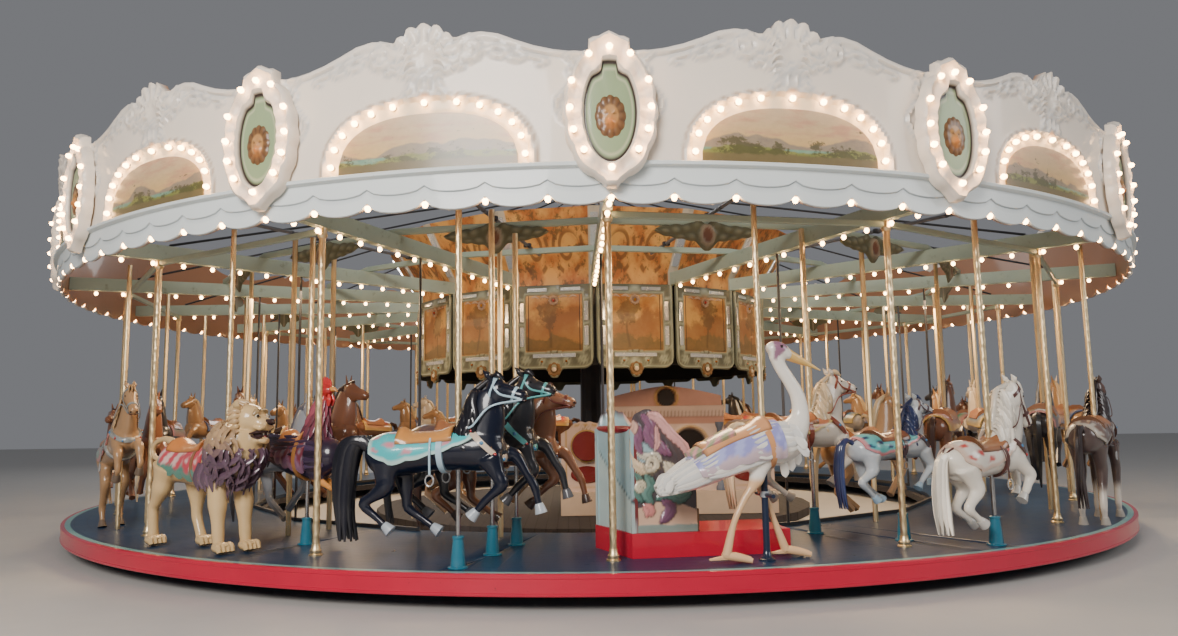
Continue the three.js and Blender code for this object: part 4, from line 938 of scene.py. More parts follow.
# A near-black ring stands behind the frames; its colour is painted shade for the dark inside seen through the gaps and
# corners.
panel_frames.append(
    ring_of([(2.80, 2.22), (2.845, 2.22), (2.845, 3.3293), (2.80, 3.3293)], drum_turns, (0.012, 0.011, 0.010))
)
for k in range(16):
    mid_turn = (k + 0.5) * SECTION
    panel_frames += stood_at([frame_relief, *medal], mid_turn)
    glass = [
        rounded_box((s * mx - half, -PANEL_FACE - 0.010, mz - tall), (s * mx + half, -PANEL_FACE + 0.004, mz + tall),
                    bevel=0.005)
        for mx, mz, half, tall in MIRRORS
        for s in ((-1, 1) if mx else (1,))
    ]
    panel_mirrors += stood_at(glass, mid_turn)
    place = np.stack([picture_u * 0.45, 0.1 + picture_v * 0.8, np.full_like(picture_u, 40.0 + k)], axis=-1)
    painting = slab(painting_face, painting_face + [0, 0.008, 0], view=place)
    panel_pictures += stood_at([painting], mid_turn)
    red = (0.45, 0.03, 0.02) if k % 2 else (0.55, 0.22, 0.03)
    stones = [
        jewel(0, 3.115, 0.022, red, PANEL_FACE + 0.016), jewel(0, 2.165, 0.034, (0.76, 0.62, 0.42), PANEL_FACE + 0.024)
    ]
    stones += [jewel(s * 0.17, 2.275, 0.018, (0.30, 0.10, 0.02), PANEL_FACE + 0.020) for s in (-1, 1)]
    panel_jewels += stood_at(stones, mid_turn)
frame_finish = enamel("frame_enamel", 0.45, 0.2, 4.0, 0.1, 0.6)
build("centre_panel_frames", panel_frames, [frame_finish], "turntable", "sage_paint", "centre_panels", crease=40.0)
silver = Finish("old_mirror")
tarnish = silver.noise(14.0, 6.0, 0.7).smooth(0.48, 0.75)
silver.finish(silver.blend((0.88, 0.90, 0.88), (0.42, 0.38, 0.30), tarnish), 0.14 + tarnish * 0.3, Metallic=0.6)
build("centre_mirrors", panel_mirrors, [silver.material], "turntable", "panel_art")
amber_art = Finish("amber_painting")
amber_view = amber_art.carried("view")
amber_x, amber_up, amber_number = amber_art.axes(amber_view)
amber_spot = amber_art.add("ShaderNodeCombineXYZ", None, amber_x + amber_number * 3.7, amber_up, amber_number)
amber_cloud, amber_mark = amber_art.noise(2.4, 5.0, 0.6, amber_spot), amber_art.noise(6.5, 5.0, 0.7, amber_spot)
amber_sky = amber_art.blend((0.74, 0.40, 0.10), (0.52, 0.19, 0.035), amber_cloud.smooth(0.38, 0.62))
amber_land = amber_art.blend((0.10, 0.085, 0.025), (0.34, 0.17, 0.045), amber_mark)
amber_scene = amber_art.blend(
    amber_sky, (0.30, 0.12, 0.03), (amber_cloud * 1.1 + 0.1 - amber_up).smooth(-0.02, 0.12) * 0.7
)
amber_scene = amber_art.blend(amber_scene, amber_land, (amber_cloud * 0.6 - amber_up).smooth(-0.01, 0.04))
amber_bend = (amber_up * 7.0 + amber_number * 2.0).wave() * 0.03
trunk_line = 1.0 - (amber_x + amber_bend - (amber_number * 1.7).wave() * 0.12).size().smooth(0.010, 0.028)
amber_crown = ((amber_x - (amber_number * 1.7).wave() * 0.12) ** 2.0 * 6.0 + (amber_up - 0.66) ** 2.0 * 4.0) ** 0.5
crown_mask = (amber_mark * 1.7 - 0.3 - amber_crown).smooth(0.08, 0.24)
tree_mask = crown_mask.math(
    "MAXIMUM", crown_mask, trunk_line * amber_up.smooth(0.12, 0.16) * (0.8 - amber_up).smooth(0.0, 0.1)
)
amber_scene = amber_art.blend(amber_scene, (0.11, 0.065, 0.022), tree_mask * (0.35 + amber_mark * 0.5))
line_mask = amber_x.size().smooth(0.400, 0.404) * (1.0 - amber_x.size().smooth(0.414, 0.418))
amber_art.finish(
    amber_art.blend(amber_scene, (0.05, 0.025, 0.015), line_mask),
    0.30 + amber_cloud * 0.2,
    amber_art.bump(amber_mark, 0.15, 0.002),
    Coat_Weight=0.06,
)
build("centre_paintings", panel_pictures, [amber_art.material], "turntable", "panel_art")
jewel_glass = enamel("jewel_glass", 0.08, 0.1, 9.0, 1.0, 0.0, 0.05)
build("centre_jewels", panel_jewels, [jewel_glass], "turntable", "panel_art")


# Ceiling panels. Above the sweeps, leaning orange panels with brown painted scrolls close the crown; narrow
# mirrors cover their joints.
LEAN_IN, LEAN_OUT, LEAN_LOW, LEAN_HIGH = 2.90, 3.40, 3.503, 4.30
ceiling = Finish("ceiling_painting")
ceiling_x, ceiling_up, ceiling_number = ceiling.axes(ceiling.carried("view"))
ceiling_side, ceiling_rise = ceiling_x.size() - 0.40, ceiling_up - 0.46
ceiling_far = (ceiling_side * ceiling_side + ceiling_rise * ceiling_rise) ** 0.5
ceiling_turn = ceiling_side.math("ARCTAN2", ceiling_rise, ceiling_side)
ceiling_spot = ceiling.add(
    "ShaderNodeCombineXYZ", None, ceiling_x * 1.2 + ceiling_number * 3.3, ceiling_up * 1.4, ceiling_number
)
ceiling_cloud, ceiling_mark = ceiling.noise(1.7, 4.0, 0.55, ceiling_spot), ceiling.noise(5.5, 6.0, 0.7, ceiling_spot)
stroke = (ceiling_turn + ceiling_far * 26.0).wave().smooth(0.45, 0.85) * (1.0 - ceiling_far.smooth(0.22, 0.30))
leaf_stroke = (ceiling_turn * 5.0).wave().smooth(0.3, 0.7) * (1.0 - (ceiling_far - 0.33).size().smooth(0.02, 0.05))
ceiling_base = ceiling.blend((0.74, 0.36, 0.09), (0.46, 0.14, 0.03), ceiling_cloud.smooth(0.38, 0.62))
ceiling_base = ceiling.blend(
    ceiling_base, (0.13, 0.075, 0.025), (ceiling_mark + ceiling_cloud * 0.5).smooth(0.78, 0.86) * 0.8
)
ceiling_line = stroke.math("MAXIMUM", stroke, leaf_stroke) * 0.75
ceiling_edge = ceiling_x.size().smooth(0.86, 0.88)
ceiling.finish(
    ceiling.blend(ceiling.blend(ceiling_base, (0.15, 0.06, 0.022), ceiling_line), (0.50, 0.42, 0.30), ceiling_edge),
    0.45 + ceiling_cloud * 0.15,
    ceiling.bump(stroke, 0.15, 0.003),
)
SKIRT_LOW = 3.335
lean_x, lean_v = np.meshgrid(np.linspace(-1, 1, 11), np.linspace(0, 1, 8), indexing="ij")
lean_share = np.clip((lean_v * 7 - 1) / 6, 0, 1)
lean_z = np.where(lean_v > 0, LEAN_LOW + (LEAN_HIGH - LEAN_LOW) * lean_share, SKIRT_LOW)
lean_r = LEAN_IN + (LEAN_OUT - LEAN_IN) * lean_share
half_turn = math.radians(SECTION / 2)
lean_outer = np.stack([lean_x * lean_r * math.sin(half_turn) * 0.999, -lean_r * math.cos(half_turn), lean_z], axis=-1)
leaning = []
for k in range(16):
    place = np.stack([lean_x, lean_v, np.full_like(lean_x, float(k))], axis=-1)
    leaning += stood_at([slab(lean_outer, lean_outer + [0, 0.045, 0.0], view=place)], (k + 0.5) * SECTION)
build("leaning_panels", leaning, [ceiling.material], "turntable", "ceiling_art", "upper_panels")
joint_mirrors = []
for k in range(16):
    path_z = np.linspace(3.58, 4.22, 4)
    path_r = LEAN_IN + (LEAN_OUT - LEAN_IN) * (path_z - LEAN_LOW) / (LEAN_HIGH - LEAN_LOW) + 0.012
    across = np.array([-0.05, 0.05])[:, None] + np.zeros((1, 4))
    face = np.stack([across, -path_r + 0 * across, path_z + 0 * across], axis=-1)
    joint_mirrors += stood_at([slab(face, face + [0, 0.03, 0])], k * SECTION)
build("joint_mirrors", joint_mirrors, [silver.material], "turntable", "ceiling_art")


# Deck. Slate-blue boards laid as a ring, with a pale teal line by the edge; seven bores let the lower rods of
# the rising figures through. Each bore has a tapered teal iron sleeve bolted round it.
DECK_IN, DECK_OUT, DECK_UNDER, DECK_TOP = 5.20, 7.5545, 0.2455, 0.300
SLEEVES = [(-10.1, 7.34), (-9.2, 6.66), (-8.4, 6.05), (-27.6, 6.46), (28.8, 7.34), (25.0, 6.70), (21.3, 5.90)]
BORE = 0.0215
slate = Finish("deck_enamel")
deck_x, deck_y = slate.axes(slate.place())[:2]
deck_far = (deck_x * deck_x + deck_y * deck_y) ** 0.5
deck_turn = deck_x.math("ARCTAN2", deck_x, deck_y)
plank = deck_far * (2 * math.pi / 0.14)
plank_seam = plank.wave().smooth(0.985, 0.998)
joint_seam = (deck_turn * 32.0).wave().size()
deck_cloud, deck_scuff = slate.noise(1.6, 5.0), slate.noise(10.0, 6.0, 0.7).smooth(0.58, 0.74)
deck_tone = slate.tinted((0.010, 0.034, 0.082), 0.7, 1.5, deck_cloud)
deck_tone = slate.blend(deck_tone, (0.06, 0.09, 0.12), deck_scuff * 0.3)
deck_tone = slate.blend(
    deck_tone, (0.012, 0.014, 0.018), plank_seam.math("MAXIMUM", plank_seam, 1.0 - joint_seam.smooth(0.0, 0.02)) * 0.8
)
slate.finish(
    slate.blend(deck_tone, (0.18, 0.36, 0.36), deck_far.smooth(7.490, 7.496) * (1.0 - deck_scuff * 0.6)),
    0.24 + deck_cloud * 0.12 + deck_scuff * 0.15,
    slate.bump(0.0 - plank_seam, 0.4, 0.002),
    Specular_IOR_Level=0.16,
)


def bored_ring():
    """The deck ring, cut by a round cutter at each sleeve."""
    ring = ring_of(
        [(DECK_IN, DECK_UNDER), (DECK_OUT, DECK_UNDER), (DECK_OUT, DECK_TOP), (DECK_IN, DECK_TOP)],
        np.arange(192) * 1.875,
    )
    cutters = [
        turned([(0, -0.1), (BORE, -0.1), (BORE, 0.1), (0, 0.1)], 20, spot=polar(r, t, DECK_TOP)) for t, r in SLEEVES
    ]
    solid, tool = (linked("cut", mesh_of("cut", part, 30)) for part in ([ring], cutters))
    cut = solid.modifiers.new("bores", "BOOLEAN")
    cut.operation, cut.solver, cut.object = "DIFFERENCE", "EXACT", tool
    mesh = bpy.data.meshes.new_from_object(solid.evaluated_get(bpy.context.evaluated_depsgraph_get()))
    for held in (solid, tool):
        bpy.data.objects.remove(held)
    return mesh


deck_mesh = bored_ring()
deck_mesh.materials.clear()
deck_mesh.materials.append(slate.material)
deck_mesh.name = "deck_boards"
deck_piece = linked("deck_boards", deck_mesh)
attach(deck_piece, "turntable")
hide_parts("deck")
SLEEVE = [
    (BORE, 0.0), (0.085, 0.0), (0.085, 0.010), (0.062, 0.016), (0.060, 0.060), (0.050, 0.170), (0.043, 0.235),
    (0.050, 0.240), (0.050, 0.256), (0.042, 0.260), (BORE, 0.260), (BORE, 0.13),
]  # fmt: skip
sleeves = []
for sleeve_turn, sleeve_radius in SLEEVES:
    foot = polar(sleeve_radius, sleeve_turn, DECK_TOP + 0.0005)
    sleeves.append(turned(SLEEVE, 24, (0.022, 0.15, 0.22), spot=foot, along=True))
    for bolt in range(4):
        bolt_spot = foot + polar(0.074, bolt * 90 + 45, 0.010)
        sleeves.append(
            turned([(0, 0.0), (0.008, 0.0), (0.008, 0.007), (0, 0.009)], 6, (0.05, 0.18, 0.24), spot=bolt_spot)
        )
teal_finish = enamel("sleeve_enamel", 0.25, 0.15, 8.0, 0.5, 0.6)
build("rod_sleeves", sleeves, [teal_finish], "turntable", "deck_paint", crease=40.0)
rim_profile = [
    (7.5555, 0.1255), (7.592, 0.1255), (7.598, 0.131), (7.5995, 0.150), (7.5955, 0.154), (7.5955, 0.262),
    (7.5995, 0.266), (7.5995, 0.292), (7.594, 0.2995), (7.5555, 0.2995),
]  # fmt: skip
rim_finish = enamel("rim_enamel", 0.28, 0.18, 2.2, 0.5, 0.9, 0.3, (0.10, 0.02, 0.02))
deck_rim = ring_of(rim_profile, np.arange(192) * 1.875, (0.48, 0.004, 0.034))
build("deck_rim_board", [deck_rim], [rim_finish], "turntable", "rim_paint", "deck_rim", crease=25.0)


# Poles and rods. Brass rope-twist poles stand at each sweep, with a turned foot and cap and a painted head rail
# between them; thin iron hanger rods carry the inner edge of the deck.
ROPE_RADIUS, ROPE_HIGH = 7.0, 3.3293
brass = Finish("twisted_brass")
brass_cloud, brass_spot = brass.noise(6.0, 4.0), brass.noise(30.0, 4.0, 0.7).smooth(0.60, 0.72)
brass.finish(
    brass.blend(brass.tinted((0.90, 0.71, 0.42), 0.85, 1.1, brass_cloud), (0.45, 0.26, 0.12), brass_spot * 0.4),
    0.34 + brass_cloud * 0.10 + brass_spot * 0.2,
    brass.bump(brass_spot, 0.1, 0.001),
    Metallic=1.0,
)


def rope_twist(low, high, radius, pitch, x=0.0, sides=10, steps=8):
    """A rod whose round section has two waves and turns steadily as it rises."""
    z = np.linspace(low, high, max(4, int((high - low) / pitch * steps)))
    angle = np.arange(sides) * 2 * np.pi / sides
    wave = radius * (0.97 + 0.03 * np.cos(2 * (angle[None, :] - z[:, None] * 2 * np.pi / pitch)))
    points = np.stack([x + wave * np.cos(angle), wave * np.sin(angle), z[:, None] + 0 * wave], axis=-1)
    ends = [np.broadcast_to([x, 0.0, level], (1, sides, 3)) for level in (low, high)]
    return Sheet(np.concatenate([ends[0], points, ends[1]]), around=True)


POLE_FOOT = [
    (0, 0), (0.062, 0), (0.062, 0.012), (0.048, 0.020), (0.052, 0.045), (0.040, 0.062), (0.036, 0.10), (0, 0.10)
]
POLE_CAP = [(0, 0), (0.036, 0), (0.050, 0.03), (0.042, 0.05), (0.042, 0.1), (0, 0.1)]
pole_base = DECK_TOP + 0.0005
for quarter, quarter_name in enumerate(QUARTERS):
    poles = []
    for k in range(4):
        post = [
            rope_twist(pole_base, ROPE_HIGH, 0.032, 0.26),
            turned(POLE_FOOT, 14, spot=(0, 0, pole_base)),
            turned(POLE_CAP, 12, spot=(0, 0, ROPE_HIGH - 0.1)),
        ]
        poles += stood_at(post, quarter * 90 + k * SECTION, ROPE_RADIUS)
    chord = 2 * ROPE_RADIUS * math.sin(half_turn)
    rail = rounded_box((-chord / 2, -0.023, 3.2695), (chord / 2, 0.023, 3.3293), SAGE, 1, 0.008)
    for k in range(3):
        poles += stood_at([rail], quarter * 90 + (k + 0.5) * SECTION, ROPE_RADIUS * math.cos(half_turn))
    build("rope_poles_turned_" + quarter_name, poles, [brass.material, sage_finish], "turntable", "brass",
          "rope_poles_" + quarter_name)  # fmt: skip
    dress(iron.material, "hanger_rods_" + quarter_name)


# Rising horses. Carved wooden animals in gloss enamel with glass jewels and leather-coloured saddles; a twisted
# brass pole goes up through each saddle to the sweeps, and a steel rod goes down from the belly into a sleeve.
class Loft:
    """A body drawn through ovals: each is its place along x, its height, its half width, half height and y."""

    def __init__(self, *stations):
        self.stations = np.array([(*station, 0.0)[:5] for station in stations], float)

    def at(self, share, angle, swell=0.0):
        """Points at a share of the length and an angle from the oval's top, stood off by a swell."""
        share, angle, swell = np.broadcast_arrays(share, angle, swell)
        place, last = share * (len(self.stations) - 1), len(self.stations) - 1
        middle = along_knots(self.stations, place)
        behind, before = np.maximum(place - 0.05, 0), np.minimum(place + 0.05, last)
        step = along_knots(self.stations, before) - along_knots(self.stations, behind)
        length = np.hypot(step[..., 0], step[..., 1]) + 1e-9
        wide, tall = (np.maximum(middle[..., k], 0.004) + swell for k in (2, 3))
        x = middle[..., 0] - step[..., 1] / length * tall * np.cos(angle)
        z = middle[..., 1] + step[..., 0] / length * tall * np.cos(angle)
        return np.stack([x, middle[..., 4] + wide * np.sin(angle), z], axis=-1)


def skin(loft, rows, columns, colour=(1, 1, 1)):
    """The whole surface of a loft with its two ends drawn to a point; the colour may be worked out from its points."""
    share = np.linspace(0, 1, rows)[:, None]
    angle = (np.arange(columns) * 2 * np.pi / columns)[None, :]
    body = loft.at(share, angle)
    ends = [np.broadcast_to(loft.at(end, angle).mean(axis=1, keepdims=True), (1, columns, 3)) for end in (0.0, 1.0)]
    points = np.concatenate([ends[0], body, ends[1]])
    return Sheet(points, around=True, colour=colour(points) if callable(colour) else colour)


def cloth(loft, low, high, reach, swell, colour, rows, columns, thick, hem=0.0):
    """A cover over the top of a loft between two shares, down to a reach in degrees each side with a waved hem."""
    share = np.linspace(low, high, rows)[:, None]
    across = np.linspace(-1, 1, columns)[None, :]
    fall = np.radians(reach) * (1 + hem * np.abs(np.sin(np.linspace(0, 1, rows)[:, None] * math.pi * 5)))
    along, over = np.broadcast_arrays(np.linspace(0, 1, rows)[:, None], across)
    raised = swell(along, over) if callable(swell) else swell
    outer = loft.at(share, across * fall, raised)
    inner = loft.at(share, across * fall, raised * 0 + swell_floor(raised, thick))
    return slab(outer, inner, colour(along, over) if callable(colour) else colour)


def swell_floor(raised, thick):
    """How far the underside of a cover stands off: its thickness below the top, and never clear of the body."""
    return np.minimum(np.asarray(raised) - thick, 0.002)


def strap(loft, share, lean, width, swell, colour, kind=0, sides=26):
    """A band round a loft, leaning forward at its top, as a flat closed ring."""
    angle = (np.arange(sides) * 2 * np.pi / sides)[:, None]
    across = np.array([-1.0, -0.9, 0.9, 1.0, 0.9, -0.9])[None, :] * width / 2
    lift = np.array([0.0, swell, swell, 0.0, -0.01, -0.01])[None, :]
    points = loft.at(np.clip(share + lean * np.cos(angle) + across, 0, 1), angle, lift)
    return Sheet(points, around=True, along=True, colour=colour, kind=kind)


def ribbon(points, radius, sides=7, colour=(1, 1, 1), kind=0, flat=1.0, count=None):
    """A tube through a few points, oval where flat is under 1, drawn to a point at both ends."""
    points, radius = np.asarray(points, float), np.asarray(radius, float)
    place = np.linspace(0, len(points) - 1, count or 5 * len(points))
    path = along_knots(points, place)
    radius = np.atleast_1d(radius)
    girth = np.interp(place, np.linspace(0, len(points) - 1, radius.size), radius)
    forward = np.gradient(path, axis=0)
    forward /= np.linalg.norm(forward, axis=1, keepdims=True) + 1e-9
    aside = np.cross(forward, np.where(np.abs(forward[:, 1:2]) > 0.9, [[0.0, 0.0, 1.0]], [[0.0, 1.0, 0.0]]))
    aside /= np.linalg.norm(aside, axis=1, keepdims=True) + 1e-9
    above = np.cross(aside, forward)
    turn = np.arange(sides) * 2 * np.pi / sides
    ovals = np.cos(turn)[None, :, None] * aside[:, None] + np.sin(turn)[None, :, None] * above[:, None] * flat
    rings = path[:, None] + girth[:, None, None] * ovals
    ends = [np.repeat(path[k][None, None], sides, axis=1) for k in (0, -1)]
    return Sheet(np.concatenate([ends[0], rings, ends[1]]), around=True, colour=colour, kind=kind)


class Cast(Sheet):
    """A body cast from overlapping skins: loose faces over a plain list of points."""

    def __init__(self, points, corners, colour):
        super().__init__(points[None], colour=colour)
        self.corners = corners

    def faces(self, start):
        return start + self.corners


def cast(skins, paint, voxel=0.014, rounds=5, keep=0.30):
    """Fuses skins through a voxel remesh, smooths the joins, thins the faces and paints by place."""
    holder = linked("cast", mesh_of("cast", skins, 180))
    fuse = holder.modifiers.new("fuse", "REMESH")
    fuse.mode, fuse.voxel_size = "VOXEL", voxel
    ease = holder.modifiers.new("ease", "SMOOTH")
    ease.factor, ease.iterations = 0.6, rounds
    thin = holder.modifiers.new("thin", "DECIMATE")
    thin.ratio, thin.use_collapse_triangulate = keep, True
    shaped = bpy.data.meshes.new_from_object(holder.evaluated_get(bpy.context.evaluated_depsgraph_get()))
    points, corners = np.empty(len(shaped.vertices) * 3), np.empty(len(shaped.loops), np.int32)
    shaped.vertices.foreach_get("co", points)
    shaped.loops.foreach_get("vertex_index", corners)
    bpy.data.objects.remove(holder)
    bpy.data.meshes.remove(shaped)
    points = points.reshape(-1, 3)
    return Cast(points, corners.reshape(-1, 3), paint(points))


def limb(*stations):
    """A leg through its joints, drawn in between them."""
    rows = [np.array((*station, 0.0)[:5], float) for station in stations]
    drawn = [rows[0]]
    for first, second in zip(rows, rows[1:]):
        middle = first * 0.42 + second * 0.58
        middle[2:4] = np.minimum(first, second)[2:4] * 0.90 + np.abs(first - second)[2:4] * 0.30
        drawn += [middle, second]
    return Loft(*drawn)


def hoof(ankle, toe, y, colour):
    """A hoof from the ankle to the toe: a short flared cone with a flat sole."""
    ankle, toe, size = np.array(ankle, float), np.array(toe, float), 0.041
    reach = toe - ankle
    flare = ((0.0, 0.72), (0.15, 0.86), (0.9, 1.18), (1.0, 1.14), (1.0, 0.5))
    rows = [(*(ankle + reach * t), size * s, size * s * 1.1, y) for t, s in flare]
    return skin(Loft(*rows), 10, 12, colour)


HORSE = {
    "trunk": [(-0.80, 1.19, 0.05, 0.06), (-0.75, 1.20, 0.12, 0.13), (-0.61, 1.22, 0.175, 0.170),
              (-0.42, 1.225, 0.172, 0.165),
              (-0.22, 1.24, 0.162, 0.155), (0.0, 1.25, 0.162, 0.162), (0.18, 1.26, 0.162, 0.178),
              (0.33, 1.275, 0.125, 0.150),
              (0.40, 1.29, 0.06, 0.08)],
    "neck": [(0.15, 1.25, 0.14, 0.21), (0.195, 1.38, 0.118, 0.195), (0.23, 1.50, 0.102, 0.175),
             (0.245, 1.63, 0.086, 0.150), (0.265, 1.74, 0.062, 0.100)],
    "poll": (0.275, 1.775), "nose": (0.58, 1.685),
    "legs": [((0.32, 1.24, 0.08, 0.11, 0.085), (0.47, 1.20, 0.054, 0.057, 0.10), (0.62, 0.96, 0.038, 0.040, 0.105),
              (0.68, 0.73)),
             ((0.29, 1.20, 0.08, 0.12, -0.085), (0.405, 0.985, 0.054, 0.057, -0.105),
              (0.26, 0.85, 0.036, 0.038, -0.105), (0.135, 0.715)),
             ((-0.55, 1.18, 0.10, 0.16, 0.09), (-0.50, 0.96, 0.064, 0.078, 0.105), (-0.475, 0.77, 0.040, 0.044, 0.105),
              (-0.19, 0.575)),
             ((-0.59, 1.17, 0.10, 0.16, -0.09), (-0.60, 0.96, 0.066, 0.080, -0.105),
              (-0.79, 0.82, 0.040, 0.044, -0.105), (-0.54, 0.60))],
    "tail": [(-0.74, 0.0, 1.27), (-0.85, 0.0, 1.34), (-0.96, 0.0, 1.27), (-1.005, 0.0, 1.04), (-1.0, 0.0, 0.78),
             (-0.96, 0.0, 0.51)],
}  # fmt: skip
STANDING_LEGS = [
    ((0.34, 1.15, 0.08, 0.11, 0.095), (0.37, 0.76, 0.050, 0.052, 0.095), (0.35, 0.42, 0.038, 0.040, 0.095),
     (0.37, 0.302)),
    ((0.34, 1.15, 0.08, 0.11, -0.095), (0.47, 0.86, 0.050, 0.052, -0.095), (0.44, 0.47, 0.038, 0.040, -0.095),
     (0.50, 0.302)),
    ((-0.50, 1.15, 0.10, 0.15, 0.095), (-0.45, 0.86, 0.060, 0.070, 0.095), (-0.55, 0.50, 0.040, 0.044, 0.095),
     (-0.52, 0.302)),
    ((-0.50, 1.15, 0.10, 0.15, -0.095), (-0.40, 0.86, 0.060, 0.070, -0.095), (-0.47, 0.50, 0.040, 0.044, -0.095),
     (-0.42, 0.302)),
]  # fmt: skip
REARING = {
    "trunk": [(-0.60, 1.08, 0.06, 0.08), (-0.56, 1.10, 0.13, 0.14), (-0.43, 1.12, 0.178, 0.18),
              (-0.27, 1.125, 0.17, 0.165),
              (-0.08, 1.14, 0.165, 0.155), (0.08, 1.16, 0.16, 0.165), (0.20, 1.19, 0.165, 0.19),
              (0.31, 1.225, 0.125, 0.16),
              (0.37, 1.25, 0.06, 0.09)],
    "neck": [(0.13, 1.21, 0.125, 0.20), (0.235, 1.36, 0.118, 0.205), (0.285, 1.52, 0.102, 0.195),
             (0.295, 1.66, 0.086, 0.170), (0.31, 1.76, 0.068, 0.125)],
    "poll": (0.345, 1.80), "nose": (0.585, 1.44), "head_size": 1.16,
    "legs": [((0.26, 1.15, 0.08, 0.11, 0.085), (0.48, 1.06, 0.056, 0.058, 0.10), (0.53, 0.88, 0.038, 0.040, 0.105),
              (0.50, 0.78)),
             ((0.24, 1.15, 0.08, 0.11, -0.085), (0.42, 0.98, 0.056, 0.058, -0.105), (0.34, 0.84, 0.038, 0.040, -0.105),
              (0.26, 0.75)),
             ((-0.44, 1.10, 0.10, 0.16, 0.09), (-0.26, 0.88, 0.064, 0.075, 0.105), (-0.40, 0.70, 0.042, 0.046, 0.105),
              (-0.14, 0.54)),
             ((-0.46, 1.10, 0.10, 0.16, -0.09), (-0.36, 0.88, 0.064, 0.075, -0.105),
              (-0.50, 0.72, 0.042, 0.046, -0.105), (-0.29, 0.57))],
    "tail": [(-0.57, 0.0, 1.19), (-0.68, 0.0, 1.14), (-0.72, 0.0, 0.92), (-0.71, 0.0, 0.70), (-0.68, 0.0, 0.50)],
}  # fmt: skip
PRANCING = {
    "trunk": [(-0.60, 1.07, 0.06, 0.07), (-0.56, 1.09, 0.12, 0.13), (-0.43, 1.125, 0.175, 0.17),
              (-0.25, 1.17, 0.17, 0.16),
              (-0.08, 1.225, 0.16, 0.155), (0.08, 1.29, 0.16, 0.165), (0.20, 1.345, 0.165, 0.18),
              (0.30, 1.40, 0.12, 0.15),
              (0.36, 1.43, 0.06, 0.09)],
    "neck": [(0.15, 1.36, 0.12, 0.19), (0.25, 1.50, 0.105, 0.175), (0.31, 1.63, 0.086, 0.150),
             (0.335, 1.75, 0.068, 0.120), (0.34, 1.83, 0.056, 0.09)],
    "poll": (0.34, 1.875), "nose": (0.60, 1.635),
    "legs": [((0.25, 1.31, 0.08, 0.11, 0.085), (0.47, 1.25, 0.054, 0.056, 0.10), (0.54, 1.06, 0.036, 0.038, 0.105),
              (0.48, 0.95)),
             ((0.24, 1.30, 0.08, 0.11, -0.085), (0.42, 1.17, 0.054, 0.056, -0.105), (0.45, 0.99, 0.036, 0.038, -0.105),
              (0.37, 0.88)),
             ((-0.46, 1.10, 0.10, 0.16, 0.09), (-0.34, 0.83, 0.062, 0.072, 0.105), (-0.51, 0.52, 0.040, 0.044, 0.105),
              (-0.44, 0.302)),
             ((-0.45, 1.10, 0.10, 0.16, -0.09), (-0.27, 0.83, 0.062, 0.072, -0.105),
              (-0.40, 0.52, 0.040, 0.044, -0.105), (-0.33, 0.302))],
    "tail": [(-0.58, 0.0, 1.15), (-0.69, 0.0, 1.08), (-0.74, 0.0, 0.88), (-0.74, 0.0, 0.70), (-0.70, 0.0, 0.54)],
}  # fmt: skip


def head_loft(shape):
    """A long head from the poll to the nose: deep at the jaw, narrow above the nostrils."""
    poll, nose, size = np.array(shape["poll"]), np.array(shape["nose"]), shape.get("head_size", 1.0)
    profile = [(-0.08, 0.040, 0.055, -0.01), (0.02, 0.060, 0.086, -0.005), (0.16, 0.076, 0.112, -0.018),
               (0.32, 0.073, 0.108, -0.022),
               (0.50, 0.057, 0.078, -0.012), (0.70, 0.047, 0.060, -0.004), (0.86, 0.050, 0.060, -0.004),
               (0.97, 0.045, 0.050, 0.0),
               (1.04, 0.026, 0.028, 0.0)]  # fmt: skip
    ahead = (nose - poll) / np.linalg.norm(nose - poll)
    over = np.array([-ahead[1], ahead[0]])
    return Loft(
        *[(*(poll + (nose - poll) * t + over * drop), wide * size, tall * size) for t, wide, tall, drop in profile]
    )


